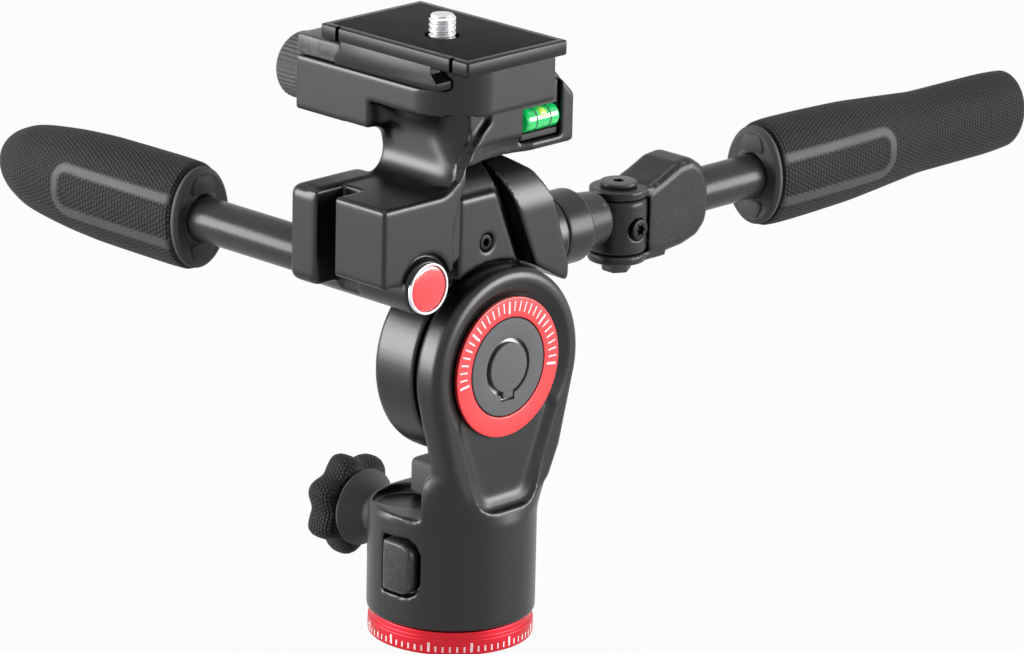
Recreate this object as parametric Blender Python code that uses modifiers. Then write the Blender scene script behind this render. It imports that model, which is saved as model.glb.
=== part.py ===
"""Three way pan tilt head: drag body, tilting carriage, quick release platform and two handles."""

import math

import bmesh
import bpy
from mathutils import Vector

# Fits and mesh steps that all pieces share
GAP = 0.0003
RUNNING_GAP = 0.0002
OVERRUN = 0.003
ROUND_STEPS = 28
MEDIUM_STEPS = 20
SMALL_STEPS = 12
EDGE = 0.0005
SOFT_EDGE = 0.0012
BEVEL_STEPS = 1
MERGE = 0.00001
ROUNDING_SHARE = 0.3

# Base, standing on the tripod
BASE_RADIUS = 0.0200
RING_HEIGHT = 0.0057
RING_BAND_HEIGHT = 0.0037
RING_STEP = 0.0006
RING_WALL = 0.0038
BASE_PLATE_THICKNESS = 0.0042
INSERT_WALL = 0.0018
INSERT_HEIGHT = 0.0078
TRIPOD_THREAD_RADIUS = 0.00476
BASE_SCREW_CIRCLE = 0.0102
BASE_SCREW_RADIUS = 0.0012
BASE_SCREW_HEAD_RADIUS = 0.0022
BASE_SCREW_HEAD_HEIGHT = 0.0014
BASE_SCREW_LENGTH = 0.0070
BASE_SCREW_COUNT = 3

# Pan spindle and what turns around it
SPINDLE_HUB_RADIUS = 0.0124
SPINDLE_HUB_TOP = 0.0092
SPINDLE_FLANGE_RADIUS = 0.0150
SPINDLE_FLANGE_TOP = 0.0118
SPINDLE_RADIUS = 0.0070
SPINDLE_TOP = 0.0295
SPINDLE_BORE_TOP = 0.0160
CAVITY_RADIUS = 0.0165
CAVITY_TOP = 0.0178
BUSH_WALL = 0.0015
CARTRIDGE_BOTTOM = 0.0122
RETAINER_BOTTOM = 0.0064
RETAINER_TOP = 0.0089

# Body casting: cylinder, shoulder and paddle
BODY_RADIUS = 0.0204
BODY_BOTTOM = 0.0060
SHOULDER_BOTTOM = 0.0318
SHOULDER_TOP = 0.0459
SHOULDER_STEPS = 5
BODY_STEPS = 32
SCOOP_STEPS = 24
LOCK_BORE_STEPS = 16
SHOULDER_SQUARENESS = 5.0
TILT_HEIGHT = 0.0703
PADDLE_BACK = 0.0098
PADDLE_FACE = 0.0180
PADDLE_RADIUS = 0.0242
PADDLE_EDGE = 0.0024
PADDLE_ARC_START = -12.0
PADDLE_FOOT = 0.0335
PADDLE_FOOT_HALF_WIDTH = 0.0100
PADDLE_KNEE = 0.0395
PADDLE_KNEE_HALF_WIDTH = 0.0156
PADDLE_WAIST = 0.0470
PADDLE_WAIST_HALF_WIDTH = 0.0190
RECESS_RADIUS = 0.0205
RECESS_FLOOR_RADIUS = 0.0175
RECESS_DEPTH = 0.0016
FIELD_TOP_HALF_WIDTH = 0.0150
FIELD_BOTTOM_HALF_WIDTH = 0.0066
FIELD_TOP = 0.0630
FIELD_BOTTOM = 0.0375
FIELD_SLOPE = 0.0018
SCOOP_RADIUS = 0.0088
SCOOP_X = -0.0052
SCOOP_Y = -0.0100
SCOOP_FLOOR = 0.0318
STOP_LENGTH = 0.0120
STOP_DEPTH = 0.0090
STOP_TOP = 0.0412
STOP_X = -0.0062
STOP_Y = 0.0016
STOP_FLOOR = 0.0318
PAD_X = 0.0022
PAD_HEIGHT = 0.0208
PAD_HALF_WIDTH = 0.0046
PAD_HALF_HEIGHT = 0.0064
PAD_FACE = 0.0212
PAD_SEAT = 0.0178
PAD_RECESS = 0.0009
PAD_CORNER_SHARE = 0.7

# Pan lock, on the far side of the cylinder
LOCK_HEIGHT = 0.0230
LOCK_BORE_RADIUS = 0.0044
SHOE_TIP = 0.0089
SHOE_LENGTH = 0.0044
LOCK_BOLT_RADIUS = 0.0025
LOCK_HUB_START = 0.0208
LOCK_HUB_END = 0.0305
LOCK_HUB_RADIUS = 0.0052
LOCK_HUB_FLARE = 0.0096
LOCK_KNOB_END = 0.0395
LOCK_KNOB_RADIUS = 0.0118
LOCK_KNOB_LOBE = 0.0011
LOCK_LOBES = 7
LOBE_POINTS = 6

# Front tilt: marks and axle in the paddle, drag parts in the drum
MARK_RING_RADIUS = 0.0171
MARK_RING_BORE = 0.0123
MARK_THICKNESS = 0.0010
FACE_DISC_BORE = 0.0071
CAP_RADIUS = 0.0061
CAP_THICKNESS = 0.0013
KEY_HALF_WIDTH = 0.0017
KEY_REACH = 0.0016
KEY_GAP = 0.0006
AXLE_HEAD_RADIUS = 0.0102
AXLE_HEAD_THICKNESS = 0.0026
AXLE_RADIUS = 0.0050
AXLE_END = -0.0034
AXLE_END_RADIUS = 0.0032
DRUM_RADIUS = 0.0240
DRUM_BACK = -0.0036
DRUM_FRONT = 0.0095
DRUM_EDGE = 0.0022
DRUM_WALL = 0.0036
DRUM_END_WALL = 0.0044
DRUM_BUSH_WALL = 0.0014
NUT_RADIUS = 0.0062
NUT_BORE_RADIUS = 0.0042
NUT_THICKNESS = 0.0016
NUT_SIDES = 6
NUT_POCKET_RADIUS = 0.0080
END_CAP_RADIUS = 0.0105
END_CAP_RISE = 0.0014
ROTOR_THICKNESS = 0.0022
SEAL_THICKNESS = 0.0012
SEAL_BORE = 0.0120
DRAG_BORE = 0.0064

# Carriage on the drum, with the lateral pivot
LATERAL_HEIGHT = 0.1072
CARRIAGE_HALF_WIDTH = 0.0120
CARRIAGE_FRONT = -0.0114
CARRIAGE_TOP = 0.1126
CARRIAGE_REAR_TOP = 0.0010
CARRIAGE_REAR_LOW = 0.0085
CARRIAGE_LOW = 0.0943
CARRIAGE_ROOT = 0.0860
CARRIAGE_FLARE = 0.0050
BARREL_RADIUS = 0.0120
BARREL_NOSE_RADIUS = 0.0108
BARREL_NOSE_LENGTH = 0.0012
BARREL_REAR = 0.0018
SLOT_WIDTH = 0.0034
WEB_HALF_WIDTH = 0.0088
COVER_HALF_WIDTH = 0.0134
COVER_TOP = 0.1188
COVER_TOP_REAR = 0.0086
COVER_MID_HEIGHT = 0.1077
COVER_MID_REAR = 0.0190
COVER_LOW_HEIGHT = 0.0905
COVER_LOW_REAR = 0.0245
COVER_FOOT = 0.0920
SHAFT_RADIUS = 0.0045
SHAFT_FRONT = -0.0285
SHAFT_HUB_RADIUS = 0.0086
SHAFT_HUB_FRONT = -0.0060
SHAFT_HUB_REAR = 0.0008
SET_SCREW_Y = -0.0021
SET_SCREW_HEIGHT = 0.1002
SET_SCREW_RADIUS = 0.0019
SET_SCREW_LENGTH = 0.0042
SET_SCREW_SOCKET = 0.0010
SET_SCREW_SINK = 0.0004
HANDLE_BOSS_RADIUS = 0.0094
HANDLE_BOSS_START = 0.0200
HANDLE_BOSS_END = 0.0294
BRAKE_ROD_RADIUS = 0.0022
BRAKE_ROD_START = 0.0155

# Platform: handle block, neck and clamp bed
PLATFORM_LEFT = -0.0175
PLATFORM_RIGHT = 0.0146
BLOCK_FRONT = -0.0388
BLOCK_BACK = -0.0158
BLOCK_BOTTOM = 0.0962
BLOCK_TOP = 0.1154
FLANGE_BOTTOM = 0.0920
FLANGE_WIDTH = 0.0102
FLANGE_EDGE = 0.0025
NOTCH_WIDTH = 0.0064
NOTCH_BACK = -0.0300
NECK_FRONT = -0.0146
NECK_BACK = -0.0118
NECK_LEFT = -0.0118
NECK_RIGHT = 0.0128
NECK_FOOT = 0.0985
NECK_FILLET = 0.0060
BLOCK_EDGE = 0.0009
BED_LEFT = -0.0334
BED_RIGHT = 0.0196
BED_FRONT = -0.0220
BED_BACK = 0.0120
BED_BOTTOM = 0.1273
BED_TOP = 0.1407
ARM_BOTTOM = 0.1210
ARM_BACK = 0.0238
ARM_CHAMFER = 0.0075
SLAB_BOTTOM = 0.1340
RAIL_EDGE = 0.0006
RIBBON_BACK_OUTLINE = (
    (-0.0158, 0.1060),
    (-0.0142, 0.1125),
    (-0.0119, 0.1176),
    (-0.0105, 0.1198),
    (-0.0065, 0.1207),
    (-0.0031, 0.1212),
)
RIBBON_FRONT_OUTLINE = (
    (-0.0041, 0.1308),
    (-0.0068, 0.1284),
    (-0.0095, 0.1251),
    (-0.0122, 0.1214),
    (-0.0146, 0.1180),
    (-0.0175, 0.1162),
    (-0.0205, 0.1157),
)
PIVOT_BUSH_WALL = 0.0014
PIVOT_BUSH_FRONT = -0.0270

# Dovetail of the plate, and the jaws that hold it
DOVETAIL_LEFT = -0.0198
DOVETAIL_RIGHT = 0.0144
DOVETAIL_UNDERCUT = 0.0020
DOVETAIL_FOOT_HEIGHT = 0.0022
PLATE_BOTTOM = 0.1463
PLATE_TOP = 0.1500
PLATE_HALF_LENGTH = 0.0245
PLATE_FRONT = -0.0225
PLATE_BACK = 0.0105
PLATE_NOTCH = 0.0012
PLATE_NOTCH_INSET = 0.0056
PAD_INSET = 0.0022
PAD_THICKNESS = 0.0006
PAD_SINK = 0.0004
JAW_LEFT = -0.0330
JAW_TOP = 0.1460
LUG_WIDTH = 0.0044
LUG_DEPTH = 0.0080
LUG_LEFT = -0.0266
LUG_BOTTOM = 0.1290
LUG_CAVITY_BACK = 0.0034
JAW_TRAVEL = 0.0030
CLAMP_HOUSING_RIGHT = -0.0085
CLAMP_Y = -0.0080
CLAMP_HEIGHT = 0.1332
CLAMP_SCREW_RADIUS = 0.0020
CLAMP_KNOB_RADIUS = 0.0082
CLAMP_KNOB_START = -0.0372
CLAMP_KNOB_END = -0.0470
CLAMP_COLLAR_RADIUS = 0.0052
CLAMP_RIBS = 18
CLAMP_RIB_DEPTH = 0.0005

# Camera screw, a quarter inch across
SCREW_X = 0.0025
SCREW_Y = -0.0090
SCREW_RADIUS = 0.003175
SCREW_ROOT_RADIUS = 0.00255
SCREW_RISE = 0.0052
SCREW_HEAD_RADIUS = 0.0070
SCREW_HEAD_THICKNESS = 0.0024
SCREW_SLOT_WIDTH = 0.0014
SCREW_SLOT_DEPTH = 0.0012

# Bubble level in the right side of the arm
VIAL_RADIUS = 0.0028
VIAL_HALF_LENGTH = 0.0054
VIAL_Y = 0.0131
VIAL_HEIGHT = 0.1282
VIAL_X = 0.0122
WINDOW_DEPTH = 0.0075
WINDOW_FRONT = 0.0066
WINDOW_BACK = 0.0196
WINDOW_BOTTOM = 0.1232
WINDOW_TOP = 0.1372
FRAME_THICKNESS = 0.0012

# Side handle, along the line of its lock bolt
SIDE_Y = -0.0250
SIDE_HEIGHT = 0.0943
BARREL_OUTER = 0.0066
BARREL_START = -0.0180
BARREL_BORE_END = 0.0090
BADGE_RADIUS = 0.0062
BADGE_RIM = 0.0006
BADGE_RISE = 0.0010
BADGE_RECESS_RADIUS = 0.0082
BADGE_PROUD = 0.0016
BADGE_DOME_SHARE = 0.67
SIDE_BOLT_RADIUS = 0.0028
SIDE_BOLT_END = -0.0385
SIDE_BOLT_TIP = 0.0085
SIDE_TUBE_START = -0.0184
SIDE_TUBE_END = -0.0800
TUBE_RADIUS = 0.0055
SIDE_GRIP_START = -0.0642
SIDE_GRIP_LENGTH = 0.0711
END_CAP_THICKNESS = 0.0026
GRIP_CAP_SHARE = 0.93
GRIP_FLATNESS_SHARE = 0.72
GRIP_RADIUS = 0.0136
SIDE_GRIP_SHAPE_SHARES = (
    (0.0, 0.94),
    (0.02, 0.99),
    (0.10, 1.0),
    (0.40, 0.99),
    (0.55, 0.955),
    (0.70, 0.88),
    (0.81, 0.79),
    (0.89, 0.64),
    (0.94, 0.48),
    (0.98, 0.25),
    (1.0, 0.08),
)
REAR_GRIP_SHAPE_SHARES = (
    (0.0, 0.94),
    (0.015, 0.985),
    (0.06, 1.0),
    (0.30, 0.96),
    (0.42, 0.90),
    (0.52, 0.84),
    (0.62, 0.79),
    (0.85, 0.785),
    (0.96, 0.745),
    (0.985, 0.64),
    (1.0, 0.42),
)

# Rear handle, on the carriage's rear cover
REAR_HEIGHT = 0.0942
COLLAR_RADIUS = 0.0092
COLLAR_END = 0.0378
HUB_RADIUS = 0.0076
HUB_END = 0.0468
HUB_DRAFT = 0.0010
FOLD_Y = 0.0552
FOLD_BARREL_RADIUS = 0.0072
FOLD_CENTRE = 0.0915
TONGUE_RADIUS = 0.0038
TONGUE_START = 0.0476
PRONG_TOP = 0.1008
PRONG_BOTTOM = 0.0822
PRONG_THICKNESS = 0.0022
PRONG_WEB_END = 0.0660
FOLD_PIN_RADIUS = 0.0024
FOLD_PIN_HEAD_RADIUS = 0.0046
FOLD_PIN_HEAD = 0.0010
FOLD_NUT_RADIUS = 0.0038
FOLD_NUT_HEIGHT = 0.0026
FOLD_SCREW_RADIUS = 0.0014
FOLD_SCREW_HEAD_RADIUS = 0.0026
FOLD_SCREW_HEAD = 0.0014
FOLD_SCREW_SINK = 0.0008
FOLD_SCREW_LENGTH = 0.0036
FOLD_SCREW_HEIGHT = 0.0912
FOLD_SOCKET_RADIUS = 0.0012
SOCKET_SIDES = 6
HOOD_HALF_WIDTH = 0.0068
HOOD_EDGE = 0.0024
HOOD_OUTLINE = (
    (0.0580, 0.0838),
    (0.0650, 0.0828),
    (0.0722, 0.0835),
    (0.0775, 0.0850),
    (0.0805, 0.0880),
    (0.0815, 0.0925),
    (0.0810, 0.0980),
    (0.0788, 0.1030),
    (0.0750, 0.1055),
    (0.0700, 0.1050),
    (0.0645, 0.1026),
    (0.0580, 0.1002),
)
REAR_TUBE_START = 0.0735
REAR_TUBE_END = 0.1240
REAR_GRIP_START = 0.1056
REAR_GRIP_LENGTH = 0.0974

# Orientation of a turned or extruded shape whose own axis is +Z
TO_X = (0.0, math.pi / 2, 0.0)
TO_Y = (-math.pi / 2, 0.0, 0.0)
TO_MINUS_X = (-math.pi / 2, 0.0, math.pi / 2)
TO_Z = (0.0, 0.0, 0.0)
SIDE_PLANE = (math.pi / 2, 0.0, math.pi / 2)
FRONT_PLANE = (math.pi / 2, 0.0, 0.0)


def clear_scene():
    for old in list(bpy.data.objects):
        bpy.data.objects.remove(old)


def new_collection(name):
    made = bpy.data.collections.new(name)
    bpy.context.scene.collection.children.link(made)
    return made


clear_scene()
HEAD = new_collection("pan_tilt_head")
CUTTERS = new_collection("cutters")


def material(name, colour, roughness, metallic):
    made = bpy.data.materials.new(name)
    made.use_nodes = True
    made.diffuse_color = (*colour, 1.0)
    shader = made.node_tree.nodes["Principled BSDF"]
    shader.inputs["Base Color"].default_value = (*colour, 1.0)
    shader.inputs["Roughness"].default_value = roughness
    shader.inputs["Metallic"].default_value = metallic
    return made


BLACK_PAINT = material("black_paint", (0.035, 0.035, 0.037), 0.45, 0.1)
RED_METAL = material("red_metal", (0.55, 0.02, 0.03), 0.3, 0.9)
RED_GLOSS = material("red_gloss", (0.70, 0.01, 0.015), 0.12, 0.0)
RUBBER = material("grip_rubber", (0.022, 0.022, 0.023), 0.8, 0.0)
BLACK_PLASTIC = material("black_plastic", (0.02, 0.02, 0.021), 0.4, 0.0)
GREY_PLASTIC = material("grey_plastic", (0.06, 0.06, 0.062), 0.5, 0.0)
BLACK_ALUMINIUM = material("black_aluminium", (0.02, 0.02, 0.021), 0.3, 0.8)
STEEL = material("steel", (0.62, 0.62, 0.64), 0.25, 1.0)
BRONZE = material("bronze", (0.50, 0.32, 0.16), 0.4, 1.0)
NYLON = material("nylon", (0.75, 0.74, 0.70), 0.5, 0.0)
GREEN_GLASS = material("green_glass", (0.08, 0.60, 0.16), 0.05, 0.0)


def axis_empty(name, place, parent=None):
    """An empty on a joint's axis; everything that moves with the joint hangs on it."""
    made = bpy.data.objects.new(name, None)
    HEAD.objects.link(made)
    made.empty_display_size = GAP
    made["world"] = place
    if parent is not None:
        made.parent = parent
        made.location = Vector(place) - Vector(parent["world"])
    else:
        made.location = place
    return made


BASE = axis_empty("base_stand", (0.0, 0.0, 0.0))
PAN = axis_empty("pan_axis", (0.0, 0.0, 0.0), BASE)
LOCK = axis_empty("pan_lock_axis", (-BODY_RADIUS, 0.0, LOCK_HEIGHT), PAN)
TILT = axis_empty("front_tilt_axis", (0.0, 0.0, TILT_HEIGHT), PAN)
LATERAL = axis_empty("lateral_tilt_axis", (0.0, CARRIAGE_FRONT, LATERAL_HEIGHT), TILT)
SIDE = axis_empty("side_handle_axis", (PLATFORM_LEFT, SIDE_Y, SIDE_HEIGHT), LATERAL)
CLAMP = axis_empty("clamp_knob_axis", (BED_LEFT, CLAMP_Y, CLAMP_HEIGHT), LATERAL)
JAW = axis_empty("jaw_slide", (JAW_LEFT, CLAMP_Y, BED_TOP), LATERAL)
PLATE = axis_empty("plate_slide", (0.0, PLATE_FRONT, PLATE_BOTTOM), LATERAL)
SCREW = axis_empty("camera_screw_axis", (SCREW_X, SCREW_Y, PLATE_TOP), PLATE)
TWIST = axis_empty("rear_twist_axis", (0.0, HANDLE_BOSS_END, REAR_HEIGHT), TILT)
FOLD = axis_empty("rear_fold_axis", (0.0, FOLD_Y, FOLD_CENTRE), TWIST)


def finish(made, name, look, parent, place, turn=TO_Z):
    """Name, dress and place an object; without a look it is a cutter or a guide."""
    made.name = name
    made.data.name = name
    for owner in list(made.users_collection):
        owner.objects.unlink(made)
    home = CUTTERS if look is None else HEAD
    home.objects.link(made)
    made.parent = parent
    made.location = Vector(place) - Vector(parent["world"])
    made.rotation_euler = turn
    if look is None:
        made.hide_render = True
        made.display_type = "WIRE"
    else:
        made.data.materials.clear()
        made.data.materials.append(look)
    return made


def turned(name, profile, look, parent, place, turn=TO_Z, steps=ROUND_STEPS, closed=False):
    """Turn a profile of (radius, height) points, given down its outer side, about the shape's own axis."""
    mesh = bpy.data.meshes.new(name)
    points = [(radius, 0.0, height) for radius, height in profile]
    edges = [(i, i + 1) for i in range(len(points) - 1)]
    if closed:
        edges.append((len(points) - 1, 0))
    mesh.from_pydata(points, edges, [])
    made = bpy.data.objects.new(name, mesh)
    HEAD.objects.link(made)
    screw = made.modifiers.new("turn", "SCREW")
    screw.steps = steps
    screw.render_steps = steps
    screw.use_merge_vertices = True
    screw.merge_threshold = MERGE
    screw.use_smooth_shade = True
    return finish(made, name, look, parent, place, turn)


def disc_profile(radius, low, high, edge=EDGE):
    """Profile of a solid disc, with a broken edge at both ends if one is given."""
    if edge == 0.0:
        return [(0.0, high), (radius, high), (radius, low), (0.0, low)]
    return [(0.0, high), (radius - edge, high), (radius, high - edge), (radius, low + edge),
            (radius - edge, low), (0.0, low)]


def ring_profile(radius, bore, low, high, edge=0.0):
    """Closed profile of a ring, with its outer edges broken if an edge is given."""
    if edge > 0.0:
        return [(radius - edge, high), (radius, high - edge), (radius, low + edge),
                (radius - edge, low), (bore, low), (bore, high)]
    return [(radius, high), (radius, low), (bore, low), (bore, high)]


def rod(name, radius, low, high, look, parent, place, turn=TO_Z, edge=EDGE, steps=SMALL_STEPS):
    return turned(name, disc_profile(radius, low, high, edge), look, parent, place, turn, steps)


def bevel(made, width, steps=BEVEL_STEPS):
    cut = made.modifiers.new("edges", "BEVEL")
    cut.width = width
    cut.segments = steps
    cut.limit_method = "ANGLE"
    cut.angle_limit = math.radians(40.0)
    return made


def box(name, low, high, look, parent, edge=0.0):
    """A box from its lowest to its highest corner."""
    low, high = Vector(low), Vector(high)
    size = high - low
    shape = bmesh.new()
    bmesh.ops.create_cube(shape, size=1.0)
    bmesh.ops.scale(shape, vec=size, verts=shape.verts)
    mesh = bpy.data.meshes.new(name)
    shape.to_mesh(mesh)
    shape.free()
    made = bpy.data.objects.new(name, mesh)
    HEAD.objects.link(made)
    finish(made, name, look, parent, (low + high) / 2)
    if edge > 0.0:
        bevel(made, edge)
    return made


def outline(name, points, thickness, look, parent, place, turn, edge=0.0):
    """Extrude a flat outline by its thickness, half to each side, and make it a mesh."""
    curve = bpy.data.curves.new(name, "CURVE")
    curve.dimensions = "2D"
    curve.fill_mode = "BOTH"
    curve.extrude = thickness / 2
    spline = curve.splines.new("POLY")
    spline.points.add(len(points) - 1)
    for slot, (across, along) in zip(spline.points, points):
        slot.co = (across, along, 0.0, 1.0)
    spline.use_cyclic_u = True
    drawn = bpy.data.objects.new(name + "_curve", curve)
    HEAD.objects.link(drawn)
    bpy.context.view_layer.update()
    mesh = bpy.data.meshes.new_from_object(drawn.evaluated_get(bpy.context.evaluated_depsgraph_get()))
    shape = bmesh.new()
    shape.from_mesh(mesh)
    bmesh.ops.remove_doubles(shape, verts=shape.verts, dist=MERGE)
    bmesh.ops.dissolve_limit(shape, angle_limit=math.radians(1.0), verts=shape.verts, edges=shape.edges)
    bmesh.ops.recalc_face_normals(shape, faces=shape.faces)
    shape.to_mesh(mesh)
    shape.free()
    bpy.data.objects.remove(drawn)
    made = bpy.data.objects.new(name, mesh)
    HEAD.objects.link(made)
    finish(made, name, look, parent, place, turn)
    if edge > 0.0:
        bevel(made, edge)
    return made


def loft(name, sections, look, parent, place):
    """Skin a row of sections, each a loop of as many points, counter-clockwise seen from the last one."""
    shape = bmesh.new()
    rows = [[shape.verts.new(point) for point in section] for section in sections]
    for below, above in zip(rows, rows[1:]):
        for i in range(len(below)):
            following = (i + 1) % len(below)
            shape.faces.new((below[i], below[following], above[following], above[i]))
    shape.faces.new(list(reversed(rows[0])))
    shape.faces.new(rows[-1])
    bmesh.ops.recalc_face_normals(shape, faces=shape.faces)
    mesh = bpy.data.meshes.new(name)
    shape.to_mesh(mesh)
    shape.free()
    made = bpy.data.objects.new(name, mesh)
    HEAD.objects.link(made)
    return finish(made, name, look, parent, place)


def combine(made, others, operation="DIFFERENCE"):
    """Cut the others out of an object, join them to it, or keep only what they share."""
    for other in others:
        step = made.modifiers.new(other.name, "BOOLEAN")
        step.operation = operation
        step.solver = "EXACT"
        step.object = other
    return made


def arc(centre_across, centre_along, radius, start, end, count):
    """Points of a round stretch, with angles in degrees from the across direction."""
    points = []
    for i in range(count + 1):
        angle = math.radians(start + (end - start) * i / count)
        points.append((centre_across + radius * math.cos(angle), centre_along + radius * math.sin(angle)))
    return points


def make_base():
    """Red ring, plate with the tripod thread, and the spindle screwed to it."""
    bore = BASE_RADIUS - RING_WALL
    upper = BASE_RADIUS - RING_STEP
    turned("base_ring", [
        (upper - EDGE, RING_HEIGHT), (upper, RING_HEIGHT - EDGE), (upper, RING_BAND_HEIGHT + RING_STEP),
        (BASE_RADIUS, RING_BAND_HEIGHT), (BASE_RADIUS, EDGE), (BASE_RADIUS - EDGE, 0.0),
        (bore, 0.0), (bore, RING_HEIGHT)], RED_METAL, BASE, (0.0, 0.0, 0.0), closed=True)
    insert_radius = TRIPOD_THREAD_RADIUS + INSERT_WALL
    plate = turned("base_plate", ring_profile(bore - GAP, insert_radius + GAP, 0.0, BASE_PLATE_THICKNESS,
                                              EDGE), BLACK_ALUMINIUM, BASE, (0.0, 0.0, 0.0), closed=True)
    turned("tripod_thread_insert", ring_profile(insert_radius, TRIPOD_THREAD_RADIUS, 0.0, INSERT_HEIGHT),
           BRONZE, BASE, (0.0, 0.0, 0.0), steps=SMALL_STEPS, closed=True)
    floor = BASE_PLATE_THICKNESS + GAP
    spindle = turned("pan_spindle", [
        (0.0, SPINDLE_TOP), (SPINDLE_RADIUS - EDGE, SPINDLE_TOP), (SPINDLE_RADIUS, SPINDLE_TOP - EDGE),
        (SPINDLE_RADIUS, SPINDLE_FLANGE_TOP), (SPINDLE_FLANGE_RADIUS, SPINDLE_FLANGE_TOP),
        (SPINDLE_FLANGE_RADIUS, SPINDLE_HUB_TOP), (SPINDLE_HUB_RADIUS, SPINDLE_HUB_TOP),
        (SPINDLE_HUB_RADIUS, floor), (insert_radius + GAP, floor),
        (insert_radius + GAP, INSERT_HEIGHT + GAP), (TRIPOD_THREAD_RADIUS, INSERT_HEIGHT + GAP),
        (TRIPOD_THREAD_RADIUS, SPINDLE_BORE_TOP), (0.0, SPINDLE_BORE_TOP)], STEEL, BASE, (0.0, 0.0, 0.0))
    for number in range(BASE_SCREW_COUNT):
        angle = 2 * math.pi * number / BASE_SCREW_COUNT
        place = (BASE_SCREW_CIRCLE * math.cos(angle), BASE_SCREW_CIRCLE * math.sin(angle), 0.0)
        tag = str(number + 1)
        turned("base_screw_" + tag, [
            (0.0, BASE_SCREW_LENGTH), (BASE_SCREW_RADIUS, BASE_SCREW_LENGTH),
            (BASE_SCREW_RADIUS, BASE_SCREW_HEAD_HEIGHT), (BASE_SCREW_HEAD_RADIUS, BASE_SCREW_HEAD_HEIGHT),
            (BASE_SCREW_HEAD_RADIUS, GAP), (0.0, GAP)], STEEL, BASE, place, steps=SMALL_STEPS)
        hole = turned("base_screw_hole_" + tag, [
            (0.0, BASE_SCREW_LENGTH + GAP), (BASE_SCREW_RADIUS + GAP, BASE_SCREW_LENGTH + GAP),
            (BASE_SCREW_RADIUS + GAP, BASE_SCREW_HEAD_HEIGHT + GAP),
            (BASE_SCREW_HEAD_RADIUS + GAP, BASE_SCREW_HEAD_HEIGHT + GAP),
            (BASE_SCREW_HEAD_RADIUS + GAP, -OVERRUN), (0.0, -OVERRUN)], None, BASE, place, steps=SMALL_STEPS)
        combine(plate, [hole])
        combine(spindle, [hole])


def circle_section(radius, height):
    """Horizontal round section with as many points as the shoulder's sections."""
    angles = [2 * math.pi * i / BODY_STEPS for i in range(BODY_STEPS)]
    return [(radius * math.cos(angle), radius * math.sin(angle), height) for angle in angles]


def shoulder_section(share):
    """Horizontal section of the shoulder, from the cylinder's circle to the paddle's flat bar."""
    middle = (PADDLE_BACK + PADDLE_FACE) / 2
    half_depth = (PADDLE_FACE - PADDLE_BACK) / 2
    height = SHOULDER_BOTTOM + (SHOULDER_TOP - SHOULDER_BOTTOM) * share
    power = 2.0 / SHOULDER_SQUARENESS
    points = []
    for i in range(BODY_STEPS):
        angle = 2 * math.pi * i / BODY_STEPS
        across, along = math.cos(angle), math.sin(angle)
        bar_x = middle + half_depth * math.copysign(abs(across) ** power, across)
        bar_y = PADDLE_WAIST_HALF_WIDTH * math.copysign(abs(along) ** power, along)
        points.append((BODY_RADIUS * across * (1 - share) + bar_x * share,
                       BODY_RADIUS * along * (1 - share) + bar_y * share, height))
    return points


def paddle_points():
    """Outline of the paddle seen from the side: round head, drawn in towards its foot."""
    head = arc(0.0, TILT_HEIGHT, PADDLE_RADIUS, PADDLE_ARC_START, 180.0 - PADDLE_ARC_START, 22)
    left = [(-PADDLE_WAIST_HALF_WIDTH, PADDLE_WAIST), (-PADDLE_KNEE_HALF_WIDTH, PADDLE_KNEE),
            (-PADDLE_FOOT_HALF_WIDTH, PADDLE_FOOT)]
    right = [(-across, along) for across, along in reversed(left)]
    return head + left + right


def field_section(grow, depth):
    """Outline of the recessed field under the red ring, grown sideways as its walls slope out."""
    top, bottom = FIELD_TOP, FIELD_BOTTOM - grow
    wide, narrow = FIELD_TOP_HALF_WIDTH + grow, FIELD_BOTTOM_HALF_WIDTH + grow
    return [(depth, -narrow, bottom), (depth, narrow, bottom), (depth, wide, top), (depth, -wide, top)]


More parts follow.
